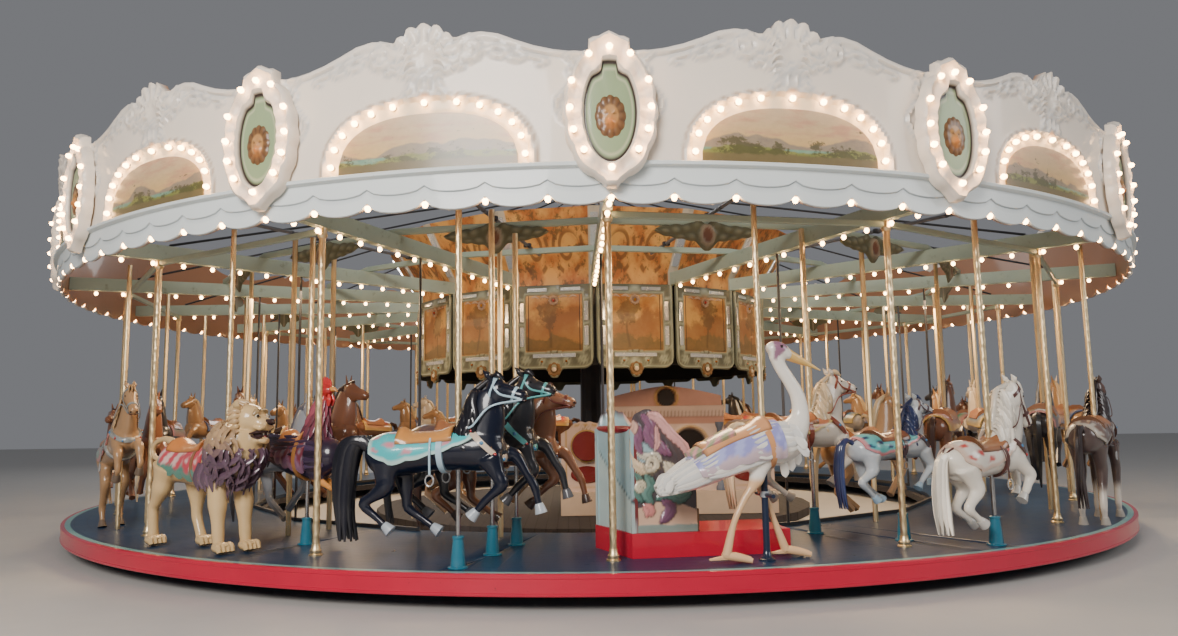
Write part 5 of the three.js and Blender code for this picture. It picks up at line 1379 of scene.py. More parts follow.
def horse(shape, look):
    """Body, head, hooves, eyes, mane, tail and tack of one horse, in its own frame, facing +X."""
    coat, mane = np.array(look["coat"]), look["mane"]
    trunk, neck, head = Loft(*shape["trunk"]), Loft(*shape["neck"]), head_loft(shape)
    legs, hooves = [], []
    for root, knee, ankle, toe in look.get("legs", shape["legs"]):
        reach = np.array(ankle[:2]) - np.array(toe)
        share = min(0.9, 0.085 / np.linalg.norm(reach))
        start = np.array(toe) + reach * share
        legs.append(limb(root, knee, ankle, (*(start - reach * share * 0.3), 0.031, 0.033, ankle[4])))
        hooves.append(hoof(start, toe, ankle[4], look["hoof"]))

    def paint(points):
        """The coat, the socks under their height and a painted shade along the underside of the belly."""
        low = soft(points[:, 2], look.get("sock_high", 0.5), look.get("sock_high", 0.5) - 0.12)
        tone = tint(coat, look.get("sock", look["coat"]), low)
        # Painted shade under the belly, between the legs.
        return tint(tone, coat * 0.55, soft(np.abs(points[:, 1]), 0.06, 0.0) * soft(points[:, 2], 1.12, 0.98) * 0.6)

    skins = [skin(trunk, 20, 20), skin(neck, 16, 16), skin(head, 20, 14)] + [skin(leg, 22, 12) for leg in legs]
    parts = [cast(skins, paint), *hooves]
    ahead = np.array(shape["nose"]) - np.array(shape["poll"])
    ahead /= np.linalg.norm(ahead)
    for side in (-1, 1):
        eye = head.at(0.36, side * math.radians(62), -0.006)
        parts.append(
            ribbon([eye + [0, 0, 0.012], eye, eye - [0, 0, 0.012]], [0.004, 0.015, 0.004], 8, (0.01, 0.01, 0.012), 1)
        )
        ear = head.at(0.10, side * math.radians(30), -0.01)
        tip = ear + [-0.055 + 0.02 * ahead[1], side * 0.020, 0.080]
        parts.append(
            ribbon([ear, (ear + tip) / 2 + [0.006, side * 0.008, 0], tip], [0.018, 0.026, 0.004], 8, look["coat"])
        )
        nostril = head.at(0.93, side * math.radians(75), -0.004)
        parts.append(ribbon([nostril - [0.012, 0, 0], nostril + [0.012, 0, 0]], 0.010, 6, (0.02, 0.01, 0.01), 1))
        mouth = [head.at(t, side * math.radians(a), 0.001) for t, a in ((0.99, 150), (0.88, 128), (0.78, 118))]
        parts.append(ribbon(mouth, 0.005, 5, (0.05, 0.01, 0.01), 1))
    parts += mane_locks(neck, head, mane, look.get("mane_fall", 0.42))
    parts += tail_locks(shape["tail"], look.get("tail", mane), look.get("tail_girth", 0.045))
    return parts + tack(trunk, neck, head, look)


def mane_locks(neck, head, colour, fall):
    """A roll along the crest, and wavy tapered locks that leave it and run down the neck on both sides."""
    crest = [neck.at(share, 0.0, -0.004) for share in np.linspace(0.10, 1.0, 6)] + [head.at(0.10, 0.0, 0.0)]
    locks = [ribbon(crest, [0.040, 0.052, 0.046, 0.020], 8, np.array(colour) * 0.8, 0, 0.9, 22)]
    for side, number in ((-1, 13), (1, 9)):
        for k, share in enumerate(np.linspace(0.14, 1.0, number)):
            wave, reach = 0.10 * math.sin(k * 2.4), fall + 0.10 * (k % 2)
            path = [
                (0.0, 0.15, 0.010), (0.10, 0.62, 0.020), (0.42, 0.98 + wave, 0.022), (0.75, 1.20 - wave, 0.018),
                (1.0, 1.38, 0.010),
            ]
            steps = [neck.at(max(share - reach * along, 0.0), side * turn, lift) for along, turn, lift in path]
            steps[-1] = steps[-1] + np.array([0.0, side * 0.006, -0.04])
            shade = np.array(colour) * (0.75 + 0.5 * ((k * 7) % 5) / 5)
            locks.append(ribbon(steps, [0.022, 0.036, 0.038, 0.030, 0.006], 6, shade, 0, 0.42, 13))
    top = head.at(0.10, 0.0, 0.0)
    for side in (-0.7, 0.0, 0.7):
        tip = head.at(0.36, side * 0.6, 0.012)
        locks.append(
            ribbon([top, (top + tip) / 2 + [0, side * 0.01, 0.030], tip], [0.020, 0.026, 0.006], 6, colour, 0, 0.5, 9)
        )
    return locks


def tail_locks(path, colour, girth):
    """Strands that start together and wave apart down the tail."""
    path, locks = np.array(path, float), []
    for k in range(9):
        turn = k * math.pi / 4.5
        aside = np.array([[girth * 1.15 * math.cos(turn), girth * 0.95 * math.sin(turn), 0.0]])
        swing = np.linspace(0.1, 1, len(path))[:, None] * aside
        wave = 0.022 * np.sin(np.linspace(0, 5, len(path)) + turn)[:, None] * np.array([[1.0, 0.6, 0.0]])
        girths = np.array([0.55, 0.62, 0.66, 0.52, 0.12]) * girth
        locks.append(ribbon(path + swing + wave, girths, 7, np.array(colour) * (0.7 + 0.3 * (k % 4)), 0, 0.8, 18))
    return locks


def tack(trunk, neck, head, look):
    """Blanket, saddle, girth, breast band, crupper, stirrups, bridle and reins."""
    main, trim, pad = (np.array(look[key]) for key in ("blanket", "trim", "saddle"))
    flower = np.array(look.get("flower", look["trim"]))

    def blanket_tone(along, over):
        """Rows of round flowers on the main colour, inside a hem of the trim."""
        hem = np.maximum(soft(np.abs(over), 0.86, 0.92), np.maximum(soft(along, 0.07, 0.03), soft(along, 0.93, 0.97)))
        bloom = soft(np.sin(along * 19) * np.sin(over * 14), 0.45, 0.65)
        return tint(tint(main, flower, bloom), trim, hem)

    def saddle_swell(along, over):
        """A low seat between a high cantle and pommel, with a roll near each lower edge."""
        bow = 0.032 * np.exp(-(((along - 0.95) / 0.13) ** 2)) + 0.042 * np.exp(-(((along - 0.03) / 0.13) ** 2))
        return 0.022 + bow * (1 - np.abs(over) ** 2.2) + 0.008 * np.exp(-(((np.abs(over) - 0.8) / 0.12) ** 2))

    def saddle_tone(along, over):
        """The leather, dark along every edge."""
        edge = np.maximum(soft(np.abs(over), 0.88, 0.95), np.maximum(soft(along, 0.06, 0.02), soft(along, 0.94, 0.98)))
        return tint(pad, pad * 0.35, edge)

    leather, metal = np.array(look["strap"]), (0.30, 0.30, 0.30)
    drop = np.interp(np.linspace(0, 1, 26), [0, 0.25, 0.6, 1], [78, 112, 96, 58])[:, None]
    parts = [
        cloth(trunk, 0.15, 0.75, drop, 0.018, blanket_tone, 26, 30, 0.012, 0.05),
        cloth(trunk, 0.33, 0.62, 62, saddle_swell, saddle_tone, 18, 20, 0.03),
        strap(trunk, 0.56, 0.0, 0.030, 0.024, leather),
        strap(trunk, 0.84, -0.14, 0.055, 0.024, np.array(look.get("band", look["strap"]))),
        strap(head, 0.62, 0.02, 0.05, 0.007, leather, 0, 18),
        strap(head, 0.20, -0.06, 0.05, 0.007, leather, 0, 18),
    ]
    for side in (-1, 1):
        cheek = [
            head.at(t, side * math.radians(a), 0.006) for t, a in ((0.16, 70), (0.4, 96), (0.66, 112), (0.84, 118))
        ]
        parts.append(ribbon(cheek, 0.009, 6, leather, 0, 0.5))
        rein = [
            head.at(0.84, side * 2.0, 0.01), neck.at(0.72, side * 1.9, 0.03), neck.at(0.35, side * 1.3, 0.04),
            trunk.at(0.66, side * 0.25, 0.06),
        ]
        parts.append(ribbon(rein, 0.008, 6, leather, 0, 0.6, 20))
        crupper = [trunk.at(t, side * a, 0.008) for t, a in ((0.36, 0.55), (0.24, 0.45), (0.12, 0.25), (0.05, 0.1))]
        parts.append(ribbon(crupper, 0.010, 6, leather, 0, 0.5))
        stirrup = trunk.at(0.52, side * 1.45, 0.030)
        foot = stirrup + [0.01, side * 0.02, -0.20]
        parts.append(ribbon([trunk.at(0.52, side * 0.9, 0.034), stirrup, foot], 0.009, 6, leather, 0, 0.5, 9))
        hoop_turn = np.linspace(0, 2 * np.pi, 9)[:-1]
        hoop = foot + np.column_stack([0.035 * np.sin(hoop_turn), 0 * hoop_turn, -0.045 + 0.045 * np.cos(hoop_turn)])
        parts.append(ribbon(np.vstack([hoop, hoop[:1]]), 0.007, 5, metal, 1, 1.0, 22))
        for k, turn in enumerate(np.radians([40, 75, 110, 145])):
            spot = trunk.at(0.84 - 0.14 * math.cos(turn), side * turn, 0.024)
            away = spot + [0, side * 0.010, 0]
            stone = look.get("jewels", ((0.40, 0.02, 0.02), (0.05, 0.18, 0.35)))[k % 2]
            parts.append(
                ribbon(
                    [spot - [0, side * 0.004, 0], (spot + away) / 2, away], [0.017, 0.017, 0.006], 8, stone, 1, 1.0, 4
                )
            )
    return parts


POLE_HEAD, THIN_POLE, THICK_POLE, POLE_PITCH = 3.40, 0.0265, 0.0295, 0.24
SCALE_HEIGHT = 1.2


def mount_pole(low=1.15):
    """The twisted pole above the saddle and the plain rod below the belly."""
    rod = [(0, DECK_TOP + 0.09), (0.0185, DECK_TOP + 0.09), (0.0195, DECK_TOP + 0.095), (0.0195, 1.19), (0, 1.19)]
    return [rope_twist(low, POLE_HEAD, THICK_POLE, POLE_PITCH), turned(rod, 14)]


def standing_figure(name, turn, radius, carving, slot, low=0.0, ahead=0.0):
    """One figure fixed to the turntable, and its thinner brass pole from the deck or from above it."""
    figure = stood_at(carving, turn, radius)
    build("carved_" + name, figure, [coat_finish, glass_finish], "turntable", slot, name, crease=50.0)
    post = stood_at([rope_twist(pole_base + low, POLE_HEAD, THIN_POLE, POLE_PITCH, ahead)], turn, radius)
    build("pole_of_" + name, post, [brass.material], "turntable", "brass")


coat_finish = enamel("carousel_gloss", 0.26, 0.10, 5.0, 0.6, 0.35, 0.05, (0.28, 0.22, 0.17))
glass_finish = enamel("glass_and_metal", 0.10, 0.05, 9.0, 1.0, 0.0, 0.05)
steel = Finish("lower_rod_steel")
steel.finish(steel.tinted((0.45, 0.45, 0.46), 0.6, 1.1, steel.noise(20.0, 4.0)), 0.22, Metallic=1.0)
BLACK, WHITE_COAT = (0.002, 0.004, 0.014), (0.74, 0.69, 0.60)
TURQUOISE, NAVY, ROSE_PINK = (0.05, 0.42, 0.45), (0.02, 0.03, 0.09), (0.55, 0.20, 0.24)
RISERS = [
    ("black_horse", -10.1, 7.34, 0.0, HORSE, "black_coat", dict(
        coat=BLACK, mane=(0.006, 0.006, 0.010), hoof=(0.36, 0.40, 0.44), blanket=TURQUOISE, trim=(0.42, 0.60, 0.56),
        flower=ROSE_PINK,
        saddle=(0.55, 0.24, 0.06), strap=(0.36, 0.50, 0.58), band=(0.55, 0.44, 0.34), mane_fall=0.6, tail_girth=0.085)),
    ("dark_horse_second_row", -9.2, 6.66, 0.06, HORSE, "black_coat", dict(
        coat=(0.016, 0.016, 0.020), mane=(0.012, 0.012, 0.016), hoof=(0.10, 0.10, 0.11), blanket=(0.09, 0.05, 0.05),
        trim=(0.20, 0.12, 0.05),
        saddle=(0.30, 0.12, 0.05), strap=(0.10, 0.34, 0.34))),
    ("brown_horse_third_row", -8.4, 6.05, -0.04, HORSE, "brown_coat", dict(
        coat=(0.20, 0.085, 0.045), mane=(0.05, 0.022, 0.015), hoof=(0.08, 0.05, 0.04), blanket=(0.08, 0.12, 0.13),
        trim=(0.40, 0.26, 0.10),
        saddle=(0.25, 0.10, 0.05), strap=(0.12, 0.03, 0.02))),
    ("white_horse", 28.8, 7.34, -0.06, REARING, "white_coat", dict(
        coat=WHITE_COAT, mane=(0.74, 0.68, 0.58), hoof=(0.52, 0.50, 0.46), blanket=(0.62, 0.57, 0.50),
        trim=(0.56, 0.42, 0.34),
        flower=(0.46, 0.06, 0.05), saddle=(0.30, 0.13, 0.06), strap=(0.09, 0.035, 0.03), mane_fall=0.5,
        tail_girth=0.062)),
    ("grey_horse_second_row", 25.0, 6.70, -0.04, HORSE, "white_coat", dict(
        size=0.76, coat=(0.42, 0.46, 0.49), mane=NAVY, hoof=(0.30, 0.42, 0.52), blanket=(0.10, 0.38, 0.40),
        trim=(0.50, 0.20, 0.22), flower=NAVY,
        saddle=(0.22, 0.09, 0.05), strap=(0.08, 0.05, 0.06))),
    ("white_horse_third_row", 21.3, 5.90, 0.08, HORSE, "white_coat", dict(
        coat=(0.60, 0.54, 0.46), mane=(0.55, 0.42, 0.26), hoof=(0.30, 0.26, 0.22), blanket=(0.42, 0.16, 0.08),
        trim=(0.50, 0.38, 0.16),
        saddle=(0.30, 0.12, 0.05), strap=(0.20, 0.05, 0.03))),
]  # fmt: skip
for name, turn, radius, lift, shape, slot, look in RISERS:
    size = look.get("size", 1.0)
    carving = [
        sheet.moved(np.diag([size, 1.0, size]), (0.0, 0.0, SCALE_HEIGHT * (1 - size))) for sheet in horse(shape, look)
    ]
    figure = stood_at(carving, turn, radius, lift)
    build("carved_" + name, figure, [coat_finish, glass_finish], name + "_rider", slot, name, crease=50.0)
    upright, lower = mount_pole()
    rod_piece = stood_at([upright, lower], turn, radius, lift)
    rod_piece[1].kind = 1
    build("pole_of_" + name, rod_piece, [brass.material, steel.material], name + "_rider", "brass")


# Standing horses. They are fixed to the deck by their hooves and carry a twisted brass pole to the sweeps.
STANDING = [
    ("brown_horse_standing", 49.0, 7.33, HORSE, "brown_coat", dict(
        coat=(0.080, 0.055, 0.050), mane=(0.03, 0.02, 0.02), hoof=(0.35, 0.32, 0.28), blanket=(0.16, 0.10, 0.08),
        trim=(0.42, 0.38, 0.32),
        saddle=(0.34, 0.15, 0.07), strap=(0.10, 0.05, 0.04), sock=(0.55, 0.50, 0.44), sock_high=0.72,
        legs=STANDING_LEGS)),
    ("tan_horse_standing", -52.4, 7.08, PRANCING, "tan_coat", dict(
        coat=(0.34, 0.20, 0.10), mane=(0.42, 0.27, 0.14), hoof=(0.14, 0.10, 0.07), blanket=(0.24, 0.30, 0.26),
        trim=(0.46, 0.20, 0.18),
        saddle=(0.30, 0.14, 0.07), strap=(0.24, 0.25, 0.24))),
]  # fmt: skip
for name, turn, radius, shape, slot, look in STANDING:
    standing_figure(name, turn, radius, horse(shape, look), slot)
# Lion. A standing carved lion, tan with a deep mane of separate locks that turn violet-brown at the chest; it has an
# open mouth, heavy paws and a curled tail, with a striped cloth and an orange saddle carved on its back.
def paw(x, y, colour):
    """A broad foot with four toes."""
    foot = Loft((x - 0.060, 0.352, 0.050, 0.042, y), (x - 0.03, 0.360, 0.078, 0.056, y),
                (x + 0.045, 0.355, 0.084, 0.052, y),
                (x + 0.07, 0.342, 0.06, 0.038, y))  # fmt: skip
    toes = [
        ribbon([(x + 0.00, y + k * 0.038, 0.384), (x + 0.055, y + k * 0.044, 0.380), (x + 0.085, y + k * 0.044, 0.324)],
               [0.018, 0.030, 0.023], 7, colour, 0, 1.0, 7)
        for k in (-1.5, -0.5, 0.5, 1.5)
    ]  # fmt: skip
    return [skin(foot, 8, 12, colour), *toes]


def lion():
    """The lion in its own frame, facing +X, with its head and jaw turned a little outwards."""
    tan, violet, brown = np.array((0.62, 0.43, 0.21)), np.array((0.105, 0.060, 0.088)), np.array((0.42, 0.27, 0.145))
    trunk = Loft(
        (-0.54, 1.10, 0.06, 0.08), (-0.50, 1.11, 0.13, 0.15), (-0.38, 1.11, 0.180, 0.190), (-0.20, 1.095, 0.174, 0.180),
        (0.0, 1.09, 0.178, 0.192), (0.20, 1.095, 0.188, 0.205), (0.36, 1.11, 0.19, 0.215), (0.50, 1.15, 0.165, 0.19),
        (0.58, 1.17, 0.08, 0.09),
    )  # fmt: skip
    mane = Loft(
        (0.44, 1.00, 0.17, 0.17), (0.52, 1.10, 0.215, 0.235), (0.58, 1.22, 0.238, 0.265), (0.625, 1.35, 0.222, 0.235),
        (0.66, 1.47, 0.165, 0.180),
    )
    head = Loft(
        (0.64, 1.53, 0.11, 0.125), (0.70, 1.54, 0.140, 0.150), (0.77, 1.53, 0.138, 0.140), (0.83, 1.505, 0.112, 0.108),
        (0.875, 1.486, 0.098, 0.084), (0.915, 1.480, 0.096, 0.072), (0.945, 1.478, 0.064, 0.050),
    )  # fmt: skip
    jaw = Loft(
        (0.70, 1.38, 0.10, 0.060), (0.82, 1.355, 0.082, 0.044), (0.90, 1.335, 0.068, 0.036),
        (0.935, 1.335, 0.040, 0.026),
    )
    legs = [
        limb((0.48, 1.08, 0.105, 0.15, 0.12), (0.56, 0.76, 0.088, 0.092, 0.12), (0.595, 0.47, 0.058, 0.060, 0.12),
             (0.605, 0.36, 0.064, 0.056, 0.12)),
        limb((0.47, 1.08, 0.105, 0.15, -0.12), (0.50, 0.76, 0.088, 0.092, -0.12), (0.525, 0.47, 0.058, 0.060, -0.12),
             (0.54, 0.36, 0.064, 0.056, -0.12)),
        limb((-0.31, 1.09, 0.12, 0.18, 0.12), (-0.21, 0.83, 0.092, 0.105, 0.12), (-0.20, 0.58, 0.052, 0.056, 0.12),
             (-0.10, 0.36, 0.060, 0.054, 0.12)),
        limb((-0.36, 1.09, 0.12, 0.18, -0.12), (-0.44, 0.87, 0.094, 0.105, -0.12), (-0.575, 0.66, 0.052, 0.056, -0.12),
             (-0.555, 0.36, 0.060, 0.054, -0.12)),
    ]
    turn_in = turned_by(24)
    pivot = np.array([0.66, 0.0, 0.0]) - turn_in @ np.array([0.66, 0.0, 0.0])
    body = [skin(trunk, 22, 22), skin(mane, 14, 20)] + [skin(leg, 22, 14) for leg in legs]
    body += [part.moved(turn_in, pivot) for part in (skin(head, 18, 18), skin(jaw, 10, 10))]

    def paint(points):
        """Tan, with brown and violet under the mane and darker paws."""
        low_mane = soft(points[:, 0], 0.30, 0.40) * soft(points[:, 2], 0.90, 1.00) * soft(points[:, 0], 0.78, 0.70)
        tone = tint(tan, tint(brown, violet, soft(points[:, 2], 1.34, 1.20)), low_mane)
        return tint(tone, tan * 0.55, soft(points[:, 2], 0.42, 0.31) * 0.3)

    parts = [cast(body, paint, 0.0135, 3, 0.34)]
    for x, y in ((0.63, 0.12), (0.57, -0.12), (-0.07, 0.12), (-0.55, -0.12)):
        parts += paw(x, y, tan)
    for row, (share, number) in enumerate(((1.0, 30), (0.86, 30), (0.72, 28), (0.58, 26), (0.44, 22), (0.30, 18))):
        for k in range(number):
            turn = (k + 0.5 * (row % 2)) * 2 * math.pi / number
            if row < 2 and abs(turn - math.pi) < 0.8:
                continue
            sway, under = 0.20 * math.sin(k * 2.7 + row), abs(turn - math.pi) < 1.1
            steps = [
                mane.at(
                    np.clip(share - 0.085 * n, 0, 1), turn + sway * math.sin(n * 1.6), 0.010 + 0.026 * math.sin(n * 0.9)
                )
                for n in range(4)
            ]
            steps.append(steps[-1] + np.array([-0.03, 0, -0.10 if under else -0.04]))
            height = steps[2][2]
            shade = tint(brown, violet, soft(np.array(height), 1.38, 1.16)) * (0.85 + 0.3 * ((k * 5 + row) % 4) / 4)
            parts.append(ribbon(steps, [0.022, 0.033, 0.033, 0.024, 0.005], 6, shade, 0, 0.45, 9))
    for side in (-1, 1):
        for k in range(5):
            lock = [
                (0.53 - 0.05 * k, side * (0.19 + 0.004 * k), 1.13), (0.51 - 0.06 * k, side * 0.207, 0.99),
                (0.53 - 0.055 * k, side * 0.195, 0.87 + 0.02 * (k % 2)),
            ]
            parts.append(ribbon(lock, [0.030, 0.042, 0.010], 6, violet * (0.9 + 0.4 * (k % 2)), 0, 0.55, 9))
    face = []
    for k in range(15):
        turn = math.radians(-112 + 16 * k)
        steps = [
            head.at(0.20, turn, 0.0), head.at(0.10, turn, 0.030),
            head.at(0.0, turn, 0.030) + np.array([-0.05, 0, -0.02]),
        ]
        face.append(ribbon(steps, [0.014, 0.030, 0.008], 6, tint(tan, brown, np.array(0.3 + 0.4 * (k % 2))), 0, 0.6, 8))
    for side in (-1, 1):
        eye = head.at(0.52, side * math.radians(48), -0.004)
        face.append(
            ribbon([eye + [0.0, 0, 0.026], eye, eye - [0, 0, 0.024]], [0.006, 0.032, 0.006], 8, (0.75, 0.68, 0.52))
        )
        pupil = eye + [0.014, side * 0.012, 0]
        face.append(
            ribbon(
                [pupil + [0.0, 0, 0.017], pupil, pupil - [0, 0, 0.017]], [0.004, 0.021, 0.004], 8, (0.02, 0.012, 0.01),
                1,
            )
        )
        brow = [head.at(0.44, side * math.radians(a), 0.012) for a in (14, 36, 60)]
        face.append(ribbon(brow, [0.014, 0.030, 0.010], 7, tan * 0.55, 0, 0.8))
        ear = head.at(0.14, side * math.radians(52), 0.0)
        face.append(
            ribbon(
                [ear, ear + [0, side * 0.03, 0.04], ear + [0.005, side * 0.045, 0.08]], [0.036, 0.042, 0.012], 9,
                tan * 0.8, 0, 0.5,
            )
        )
        cheek = [head.at(t, side * math.radians(104), 0.006) for t in (0.60, 0.80, 0.96)]
        face.append(ribbon(cheek, [0.018, 0.034, 0.016], 8, tan * 1.1, 0, 0.9))
        lip = [
            (0.79, side * 0.100, 1.400), (0.86, side * 0.094, 1.416), (0.91, side * 0.070, 1.418),
            (0.938, side * 0.018, 1.420),
        ]
        face.append(ribbon(lip, [0.008, 0.014, 0.014, 0.010], 6, (0.035, 0.015, 0.015)))
        low_lip = [(0.79, side * 0.092, 1.390), (0.86, side * 0.072, 1.360), (0.90, side * 0.038, 1.352)]
        face.append(ribbon(low_lip, 0.011, 6, (0.035, 0.015, 0.015)))
        for x, z, reach in ((0.905, 1.420, -0.034), (0.880, 1.356, 0.032)):
            face.append(
                ribbon(
                    [(x, side * 0.036, z), (x + 0.004, side * 0.036, z + reach)], [0.010, 0.003], 6, (0.75, 0.70, 0.58),
                    1,
                )
            )
    mouth = Loft((0.74, 1.392, 0.070, 0.044), (0.84, 1.385, 0.074, 0.042), (0.895, 1.385, 0.060, 0.032))
    face.append(skin(mouth, 6, 10, (0.035, 0.012, 0.014)))
    face.append(
        ribbon(
            [(0.82, 0, 1.378), (0.87, 0, 1.366), (0.912, 0, 1.366)], [0.036, 0.036, 0.016], 8, (0.42, 0.08, 0.07), 0,
            0.45,
        )
    )
    face.append(
        ribbon(
            [(0.925, -0.042, 1.518), (0.968, 0, 1.508), (0.925, 0.042, 1.518)], [0.018, 0.034, 0.018], 7,
            (0.04, 0.018, 0.015), 1,
        )
    )
    parts += [part.moved(turn_in, pivot) for part in face]
    tail = [
        (-0.50, 0, 1.16), (-0.66, 0, 1.135), (-0.80, 0, 1.17), (-0.835, 0, 1.25), (-0.76, 0, 1.32), (-0.62, 0, 1.350),
        (-0.48, 0, 1.325), (-0.38, 0, 1.28),
    ]
    parts.append(ribbon(tail, [0.036, 0.027, 0.024, 0.024, 0.025, 0.030, 0.040, 0.012], 9, tan * 0.95, 0, 1.0, 40))
    look = dict(
        blanket=(0.50, 0.06, 0.08), trim=(0.08, 0.22, 0.17), flower=(0.66, 0.44, 0.40), saddle=(0.56, 0.20, 0.05),
        strap=(0.24, 0.11, 0.05),
    )
    return parts + saddle_cloths(trunk, look, 0.20, 0.66, 0.13)


def saddle_cloths(trunk, look, low, high, scallop=0.0):
    """A cloth with slanting stripes and a flower ground over a second colour at its scalloped hem, under a saddle."""
    main, trim, pad, flower = (np.array(look[key]) for key in ("blanket", "trim", "saddle", "flower"))

    def tone(along, over):
        """Slanting stripes behind, round flowers ahead and a waved border of the trim."""
        stripes = soft(np.sin(along * 34 + np.abs(over) * 9), -0.1, 0.35) * soft(along, 0.62, 0.55)
        bloom = soft(np.sin(along * 30) * np.sin(over * 19), 0.25, 0.5) * soft(along, 0.5, 0.62)
        return tint(
            tint(main, flower, np.maximum(stripes, bloom)), trim,
            soft(np.abs(over) + 0.05 * np.sin(along * 25), 0.74, 0.79),
        )

    def bow(along, over):
        """Rises at the cantle and pommel and falls to both sides."""
        ends = 0.046 * np.exp(-(((along - 0.95) / 0.16) ** 2)) + 0.050 * np.exp(-(((along - 0.04) / 0.15) ** 2))
        return 0.024 + ends * (1 - np.abs(over) ** 2.4)

    def edge(along, over):
        """The saddle's colour, dark along every edge."""
        return tint(pad, pad * 0.45, np.maximum(soft(np.abs(over), 0.88, 0.95), soft(np.abs(along - 0.5), 0.45, 0.49)))

    def fold(along, over):
        """Shallow folds near the hem."""
        return 0.018 + 0.010 * np.abs(np.sin(along * 17)) * soft(np.abs(over), 0.70, 0.80)

    span = high - low
    return [
        cloth(trunk, low, high + 0.06, 98 + 26 * np.linspace(0, 1, 30)[:, None], fold, tone, 30, 30, 0.014, scallop),
        cloth(trunk, low + span * 0.16, high - span * 0.02, 50, bow, edge, 18, 20, 0.03),
        strap(trunk, high - span * 0.10, 0.0, 0.034, 0.026, look["strap"]),
    ]


# Crane. A tall white bird on thin jointed legs, with a violet crown, a long beak and feathers carved into wings that
# slope to the tail; a violet cloth and an orange saddle are carved on it, and a dark post bears it.
def feather(root, tip, wide, colour, droop=0.02):
    """A long flat plate that widens and then narrows to its tip."""
    root, tip = np.array(root, float), np.array(tip, float)
    middle = (root + tip) / 2 + [0, 0, droop]
    return ribbon(
        [root, middle, root * 0.2 + tip * 0.8, tip], [wide * 0.5, wide, wide * 0.9, wide * 0.15], 7, colour, 0, 0.28, 9
    )


